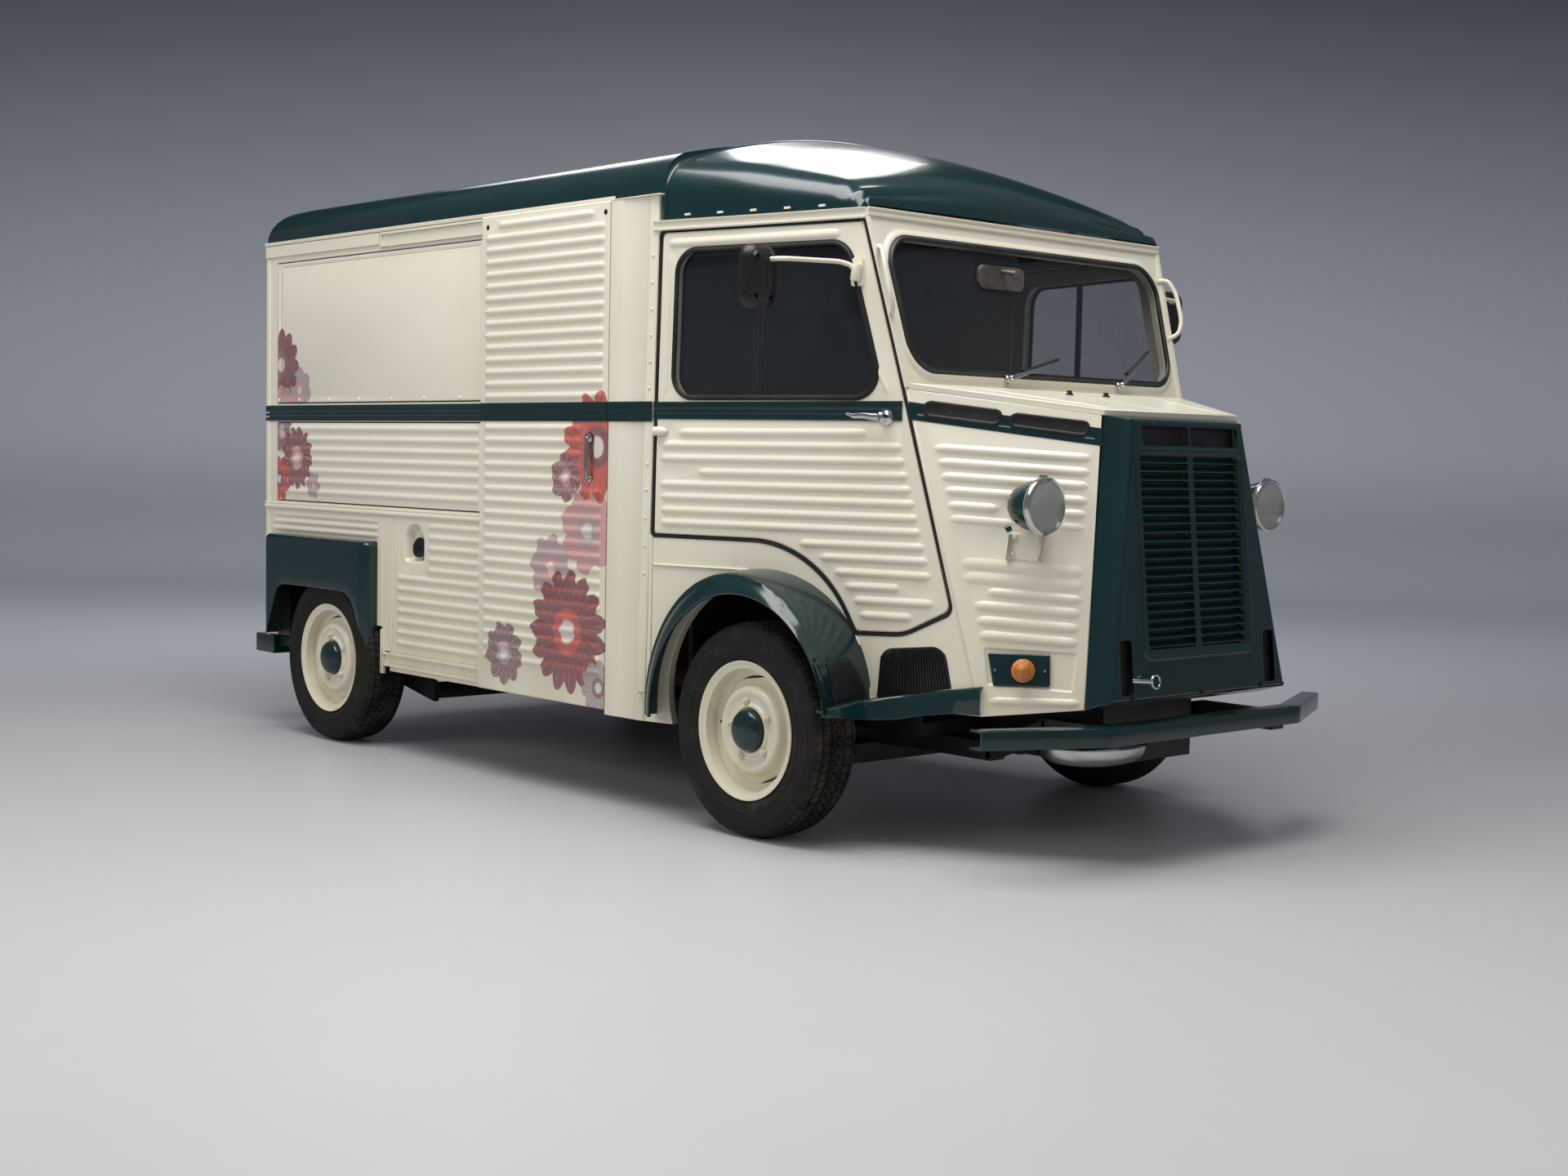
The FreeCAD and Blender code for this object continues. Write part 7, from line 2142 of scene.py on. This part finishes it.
def rearEnd():
    half, low, high = rearSizes["open"]
    frame = pressedPanel(rearPlane, rect(-862, 862, 312, 1990, 4), 25, [rect(-half, half, low, high, 6)],
                         (), roll=2, rollWidth=5)
    frame.join(block(-2049, -2038, -858, 858, 1952, 1960), block(-2046, -2038, -858, -850, 330, 1950),
               block(-2046, -2038, 850, 858, 330, 1950))
    finish("rearFrameSkin", frame, "cream", hides=["rear_frame"])
    a, b, c, d, corner = rearSizes["window"]
    window = rect(a, b, c, d, corner)
    rim = Pad([(a - 46, c - 46), (b + 46, c - 46), (b + 46, d + 46), (a - 46, d + 46)], 90, 6, 16)
    flap = pressedPanel(rearPlane, rect(-half + 5, half - 5, rearSizes["split"] + 2.5, high - 5, 5), 25,
                        [window], [rim], roll=2, rollWidth=5)
    finish("rearFlapSkin", flap, "cream", "rear_top_flap", ["rear_top_flap"])
    rubber = sweep(loopOn(rearPlane, window, 6), sealProfile, True, rearPlane.out)
    finish("rearFlapRubber", rubber, "rubber", "rear_top_flap")
    finish("rearFlapPane", slab(loopOn(rearPlane, insetLoop(window, 0.5), -10), -rearPlane.out * 5),
           "glass", "rear_top_flap", ["rear_flap_glass"])
    hinges = Shape()
    for y in (-450, 450):
        hinges.join(spun([(-44, 0), (-44, 7.5), (44, 7.5), (44, 0)], (-2043, y, 1888), (0, 1, 0), 14))
        hinges.join(block(-2043, -2039, y - 40, y + 40, 1846, 1884))
    finish("rearFlapHinges", hinges, "cream", "rear_top_flap", bevel=1)
    ribs = []
    for row in range(rearSizes["ribs"]):
        z = rearSizes["ribTop"] - rearSizes["ribPitch"] * row
        ribs.append(Bead((34, z), (half - 34, z), 30, 6.5, 24))
    door = pressedPanel(rearPlane, rect(2.5, half - 5, low + 5, rearSizes["split"] - 2.5, 5), 25, (), ribs,
                        roll=2, rollWidth=5)
    strip = stripRun([(-2040, -4), (-2040, -300), (-2040, -half + 6)], 1269, 1325, [(-1, 0, 0)] * 3, 0.6)
    barrels = Shape()
    for z in (520, 1200):
        barrels.join(spun([(-40, 0), (-40, 8), (40, 8), (40, 0)], (-2043, -657.5, z), (0, 0, 1), 14))
        barrels.join(block(-2045, -2040, -650, -560, z - 16, z + 16))
    finishPair("rear_door_", ("rearDoor", door, "cream", "rear_door_", 0),
               ("rearDoorStrip", strip, "green", "", 0),
               ("rearDoorHinges", barrels, "cream", "", 0))
    sides = Shape()
    for near, far in ((-862, -664), (664, 862)):
        sides.join(stripRun([(-2040, far), (-2040, (near + far) / 2), (-2040, near)], *walls["stripZ"],
                            [(-1, 0, 0)] * 3, 0.8))
    finish("rearStrips", sides, "green")
    handle = spun([(0, 0), (0, 22), (4, 21), (7, 12), (26, 10), (30, 0)], (-2040, -52, 1190), (-1, 0, 0),
                  24)
    handle.join(tube(curved([(-2064, -52, 1190), (-2072, -70, 1190), (-2074, -160, 1186)], 12), 7, 12))
    finish("rearDoorHandle", handle, "chrome", "rear_door_right")
    plate = slab([Vector((-2048, p.x, p.y)) for p in rect(150, 560, 700, 812, 10)], (5, 0, 0))
    plate.join(block(-2070, -2040, 310, 400, 826, 846))
    finish("rearPlate", plate, "plastic", "rear_door_left", bevel=1)
    lampY, lampZ = rearSizes["lamp"]
    base = spun([(0, 0), (0, 45), (14, 45), (18, 42), (18, 0)], (-2039, -lampY, lampZ), (-1, 0, 0), 40)
    lens = spun([(18, 0), (18, 40), (34, 39), (42, 34), (46.5, 20), (48, 0)], (-2039, -lampY, lampZ),
                (-1, 0, 0), 40)
    finish("tailLampBases", base.both(), "plastic", hides=["tail_lamps"])
    finish("tailLampLenses", lens.both(), "red")


# Inside the cab


cabinSizes = {"seatX": (620.0, 1060.0), "seatZ": (804.0, 925.0), "seatY": 410.0, "seatHalf": 225.0,
              "wheel": (1150.0, 400.0, 1190.0), "axis": (0.55, 0.0, -0.835)}


cushionCare = {"corner": 55.0, "voxel": 0.014, "pressure": 4.0, "mass": 0.4, "frames": 12,
               "mostMove": 0.009}


def padShape(name, corners, thick, lean=0.0):
    # plump cushion: a rounded slab, remeshed and blown up a little by a short cloth run
    x0, x1, y0, y1, z0 = corners
    mesh = bpy.data.meshes.new(name)
    loop = roundedLoop([(x0, y0), (x1, y0), (x1, y1), (x0, y1)], cushionCare["corner"])
    rows = []
    for lift, inset in ((0, 14), (6, 4), (18, 0), (thick - 18, 0), (thick - 6, 4), (thick, 14)):
        rows.append([Vector((p.x, p.y, z0 + lift)) for p in insetLoop(loop, inset)])
    shape = lofted(rows)
    if lean:
        there, back = Matrix.Translation((x0, 0, z0)), Matrix.Translation((-x0, 0, -z0))
        shape = shape.moved(there @ Matrix.Rotation(lean, 4, "Y") @ back)
    mesh.from_pydata([point * mm for point in shape.points], [], shape.faces)
    cleaned(mesh, 0.0001, 0.0)
    thing = linked(name, mesh)
    bpy.context.view_layer.objects.active = thing
    rebuilt = thing.modifiers.new("rebuilt", "REMESH")
    rebuilt.mode, rebuilt.voxel_size = "VOXEL", cushionCare["voxel"]
    bpy.ops.object.modifier_apply(modifier="rebuilt")
    before = [vertex.co.copy() for vertex in thing.data.vertices]
    cloth = thing.modifiers.new("cloth", "CLOTH")
    cloth.settings.use_pressure = True
    cloth.settings.uniform_pressure_force = cushionCare["pressure"]
    cloth.settings.effector_weights.gravity = 0.0
    cloth.settings.mass = cushionCare["mass"]
    cloth.point_cache.frame_end = cushionCare["frames"]
    for number in range(1, cushionCare["frames"] + 1):
        bpy.context.scene.frame_set(number)
    graph = bpy.context.evaluated_depsgraph_get()
    blown = [vertex.co.copy() for vertex in thing.evaluated_get(graph).data.vertices]
    thing.modifiers.remove(cloth)
    bpy.context.scene.frame_set(1)
    for vertex, was, now in zip(thing.data.vertices, before, blown):
        move = now - was
        vertex.co = was + move.normalized() * min(move.length, cushionCare["mostMove"])
    thing.data.shade_smooth()
    thing.data.materials.clear()
    thing.data.materials.append(looks["vinyl"][0])
    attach(thing, "body")


def cabin():
    x0, x1 = cabinSizes["seatX"]
    z0, z1 = cabinSizes["seatZ"]
    half = cabinSizes["seatHalf"]
    for side, centre in (("Right", -cabinSizes["seatY"]), ("Left", cabinSizes["seatY"])):
        padShape("seatCushion" + side, (x0 + 8, x1, centre - half, centre + half, z0 + 22), 96)
        padShape("seatBack" + side, (x0 + 52, x0 + 52 + 470, centre - half + 6, centre + half - 6, z1 - 10),
                 70, -math.radians(97))
    frame = Shape()
    for centre in (-cabinSizes["seatY"], cabinSizes["seatY"]):
        frame.join(block(x0 - 18, x0 + 58, centre - 148, centre + 98, 372, 812),
                   block(x0, x1 - 6, centre - 215, centre + 215, 806, 826))
        frame.join(tube(curved([(x0 - 12, centre - 190, 812), (x0 - 34, centre - 190, 1300),
                                (x0 - 34, centre + 190, 1300), (x0 - 12, centre + 190, 812)], 60), 12, 12))
    finish("seatFrames", frame, "blackMetal", hides=["seats"], bevel=3)
    centre, axis = Vector(cabinSizes["wheel"]), Vector(cabinSizes["axis"]).normalized()
    side = Vector((0, 1, 0))
    other = axis.cross(side).normalized()
    ring = [centre + side * (215 * c) + other * (215 * s) for c, s in circle(64)]
    wheel = tube(ring, 12.5, 12, True)
    for turn in (90, 210, 330):
        way = side * math.cos(math.radians(turn)) + other * math.sin(math.radians(turn))
        wheel.join(tube([centre + axis * 12 + way * 30, centre + axis * 14 + way * 120, centre + way * 212],
                        7.5, 10))
    wheel.join(spun([(-15, 0), (-15, 26), (-10, 36), (0, 38), (34, 36), (34, 0)], centre, axis, 32))
    wheel.join(spun([(30, 0), (30, 22), (370, 22), (370, 0)], centre, axis, 20))
    finish("steeringWheelSkin", wheel, "plastic", "body", ["steering_wheel"])
    board = block(1397, 1460, -598, 598, 1182, 1298)
    finish("dashSkin", board, "plastic", hides=["dashboard"], bevel=9)
    dials = Shape()
    for y, radius in ((400, 46), (300, 26), (500, 26)):
        dials.join(spun([(0, 0), (0, radius), (6, radius), (8, radius - 3), (4, radius - 5), (4, 0)],
                        (1398, y, 1244), (-1, 0, 0.1), 32))
    finish("dashDials", dials, "chrome")
    lever = tube(curved([(1398, 330, 1210), (1330, 330, 1230), (1240, 330, 1236)], 20), 6, 10)
    lever.join(spun([(0, 0), (6, 12), (18, 15), (28, 8), (30, 0)], (1244, 330, 1236), (-1, 0, 0), 16))
    finish("gearLever", lever, "plastic")


# Stage, light and camera


viewSizes = {"place": (5.567, -4.843, 1.170), "yaw": 137.695, "pitch": 3.833, "roll": 1.172, "lens": 45.44}


studioSizes = {
    "around": (0.155, 0.162, 0.185), "floor": (0.62, 0.62, 0.605), "floorFarShade": (0.40, 0.405, 0.41),
    "wall": (0.86, 0.89, 0.95), "wallTop": (0.072, 0.085, 0.11),
    # the backdrop stands behind the vehicle, square to the view: distance from the camera, curve, height
    "backdrop": (20.0, 3.2, 13.0), "halfWidth": 24.0, "near": 9.0,
    # where the tones change: heights on the wall, and distances along the floor, where painted shade
    # darkens the far floor
    "lowBlend": (0.05, 1.36), "highBlend": (1.2, 7.4), "farShadeBlend": (2.5, 7.5), "wallBlend": (8.0, 14.0),
    "floorBlend": (0.0, 0.9),
    "lamps": (
        # name, place, aim, width, height, power, seen in the paint
        ("overhead", (1.2, -1.6, 5.4), (0.2, -0.2, 0.6), 5.0, 3.4, 360.0, True),
        ("skylightRear", (-4.6, 1.7, 5.2), (-0.6, -0.2, 1.8), 1.9, 1.5, 34.0, True),
        ("skylightMiddle", (-3.0, 3.3, 5.2), (0.2, -0.2, 1.8), 1.7, 1.5, 32.0, True),
        ("sideFill", (-1.5, -8.5, 3.6), (-0.4, 0.0, 1.1), 6.0, 3.5, 215.0, False),
        ("frontFill", (8.2, -2.2, 3.4), (1.2, 0.0, 0.9), 4.0, 3.0, 75.0, False),
    ),
}


def studio():
    # floor that curves up into a backdrop square to the view
    distance, curve, height = studioSizes["backdrop"]
    yaw = math.radians(viewSizes["yaw"])
    ahead = Vector((math.cos(yaw), math.sin(yaw), 0))
    side = Vector((ahead.y, -ahead.x, 0))
    foot = Vector((viewSizes["place"][0], viewSizes["place"][1], 0))
    profile = [(-studioSizes["near"], 0.0), (distance - curve, 0.0)]
    profile += [(distance - curve + curve * math.sin(math.pi / 2 * k / 16),
                 curve - curve * math.cos(math.pi / 2 * k / 16)) for k in range(1, 17)]
    profile.append((distance, height))
    points, faces = [], []
    for along, up in profile:
        for half in (-studioSizes["halfWidth"], studioSizes["halfWidth"]):
            points.append(foot + ahead * along + side * half + Vector((0, 0, up)))
    for k in range(len(profile) - 1):
        faces.append([2 * k, 2 * k + 1, 2 * k + 3, 2 * k + 2])
    mesh = bpy.data.meshes.new("studioBackdrop")
    mesh.from_pydata(points, [], faces)
    mesh.shade_smooth()
    thing = linked("studioBackdrop", mesh)
    material, nodes = newMaterial("studioBackdrop", colour(*studioSizes["floor"]), 0.6)
    x, y, z = nodes.parts(nodes.place())
    tone = nodes.noise(0.8, 5.0, 0.62)
    base = nodes.mix(nodes.step(z, *studioSizes["lowBlend"]), colour(*studioSizes["floor"]),
                     colour(*studioSizes["wall"]))
    base = nodes.mix(nodes.step(z, *studioSizes["highBlend"]), base, colour(*studioSizes["wallTop"]))
    shaded = nodes.mix(nodes.step(tone, 0.3, 0.7) * 0.35, base,
                       colour(*[value * 0.86 for value in studioSizes["floor"]]))
    # painted shade: the floor darker with distance from the camera, for the lamps' light falling off
    away = x * ahead.x + y * ahead.y - foot.dot(ahead)
    shaded = nodes.mix(nodes.step(away, *studioSizes["farShadeBlend"]) * 0.9, shaded,
                       colour(*studioSizes["floorFarShade"]))
    shaded = nodes.mix(nodes.step(away, *studioSizes["wallBlend"]), shaded, colour(*studioSizes["wall"]))
    shade(nodes, Base_Color=nodes.mix(nodes.step(z, *studioSizes["floorBlend"]), shaded, base),
          Roughness=0.34 + tone * 0.2)
    mesh.materials.append(material)
    world = bpy.data.worlds.new("studio")
    bpy.context.scene.world = world
    world.use_nodes = True
    nodes = Nodes(world.node_tree)
    around = nodes.add("ShaderNodeBackground", inputs={"Color": colour(*studioSizes["around"]),
            "Strength": 1.0})
    nodes.add("ShaderNodeOutputWorld", inputs={"Surface": around})
    for name, place, aim, width, height, power, seen in studioSizes["lamps"]:
        lamp = bpy.data.lights.new(name, "AREA")
        lamp.shape = "RECTANGLE"
        lamp.size, lamp.size_y, lamp.energy = width, height, power
        holder = linked(name, lamp)
        holder.location = place
        holder.visible_glossy = seen
        holder.rotation_euler = (Vector(aim) - Vector(place)).to_track_quat("-Z", "Y").to_euler()


def camera():
    yaw, pitch, roll = (math.radians(viewSizes[key]) for key in ("yaw", "pitch", "roll"))
    ahead = Vector((math.cos(pitch) * math.cos(yaw), math.cos(pitch) * math.sin(yaw), -math.sin(pitch)))
    side = ahead.cross(Vector((0, 0, 1))).normalized()
    top = side.cross(ahead)
    right = side * math.cos(roll) + top * math.sin(roll)
    up = top * math.cos(roll) - side * math.sin(roll)
    lens = bpy.data.cameras.new("view")
    lens.lens = viewSizes["lens"]
    lens.sensor_width = 36.0
    lens.clip_end = 100.0
    holder = linked("view", lens)
    turned = Matrix((right, up, -ahead)).transposed().to_4x4()
    holder.matrix_world = Matrix.Translation(viewSizes["place"]) @ turned
    bpy.context.scene.camera = holder
    bpy.context.scene.view_settings.view_transform = "Standard"


dressing = {
    "looks": {"cream_paint": "cream", "green_paint": "green", "glass": "glass", "lamp_glass": "lampGlass",
              "amber_plastic": "amber",
              "red_plastic": "red", "tyre": "tyre", "black_metal": "blackMetal", "black_plastic": "plastic",
              "bright_metal": "chrome", "raw_metal": "steel", "seat_vinyl": "vinyl"},
    "special": {"load_floor": "boards", "rear_wheel_houses": "blackMetal", "engine_block": "blackMetal"},
}


def dress():
    # pieces that stay as built take their finish from their slot
    for row in frame["record"]["subparts"]:
        look = dressing["special"].get(row["node"], dressing["looks"][row["material_slot"]])
        mesh = frame["nodes"][row["node"]].data
        mesh.materials.clear()
        mesh.materials.append(looks[look][0])


dress()
print("built pieces dressed:", len(frame["nodes"]))

steps = (rightWall, fuelPanel, sillAndTrim, doorTracks, slidingDoor, hatchAndFlap, leftWall, loadRoof,
         cabRoof, doorPosts, cabDoors,
         mirrors, cabSides, windscreen, noseSides, bonnet, grilleShell, headlamps, frontFenders,
         rearFenders, wheels, bumpers, sumpPan, rearEnd, cabin)
for step in steps:
    step()
    print("made", step.__name__)
studio()
camera()
print("stage, lamps and camera set")
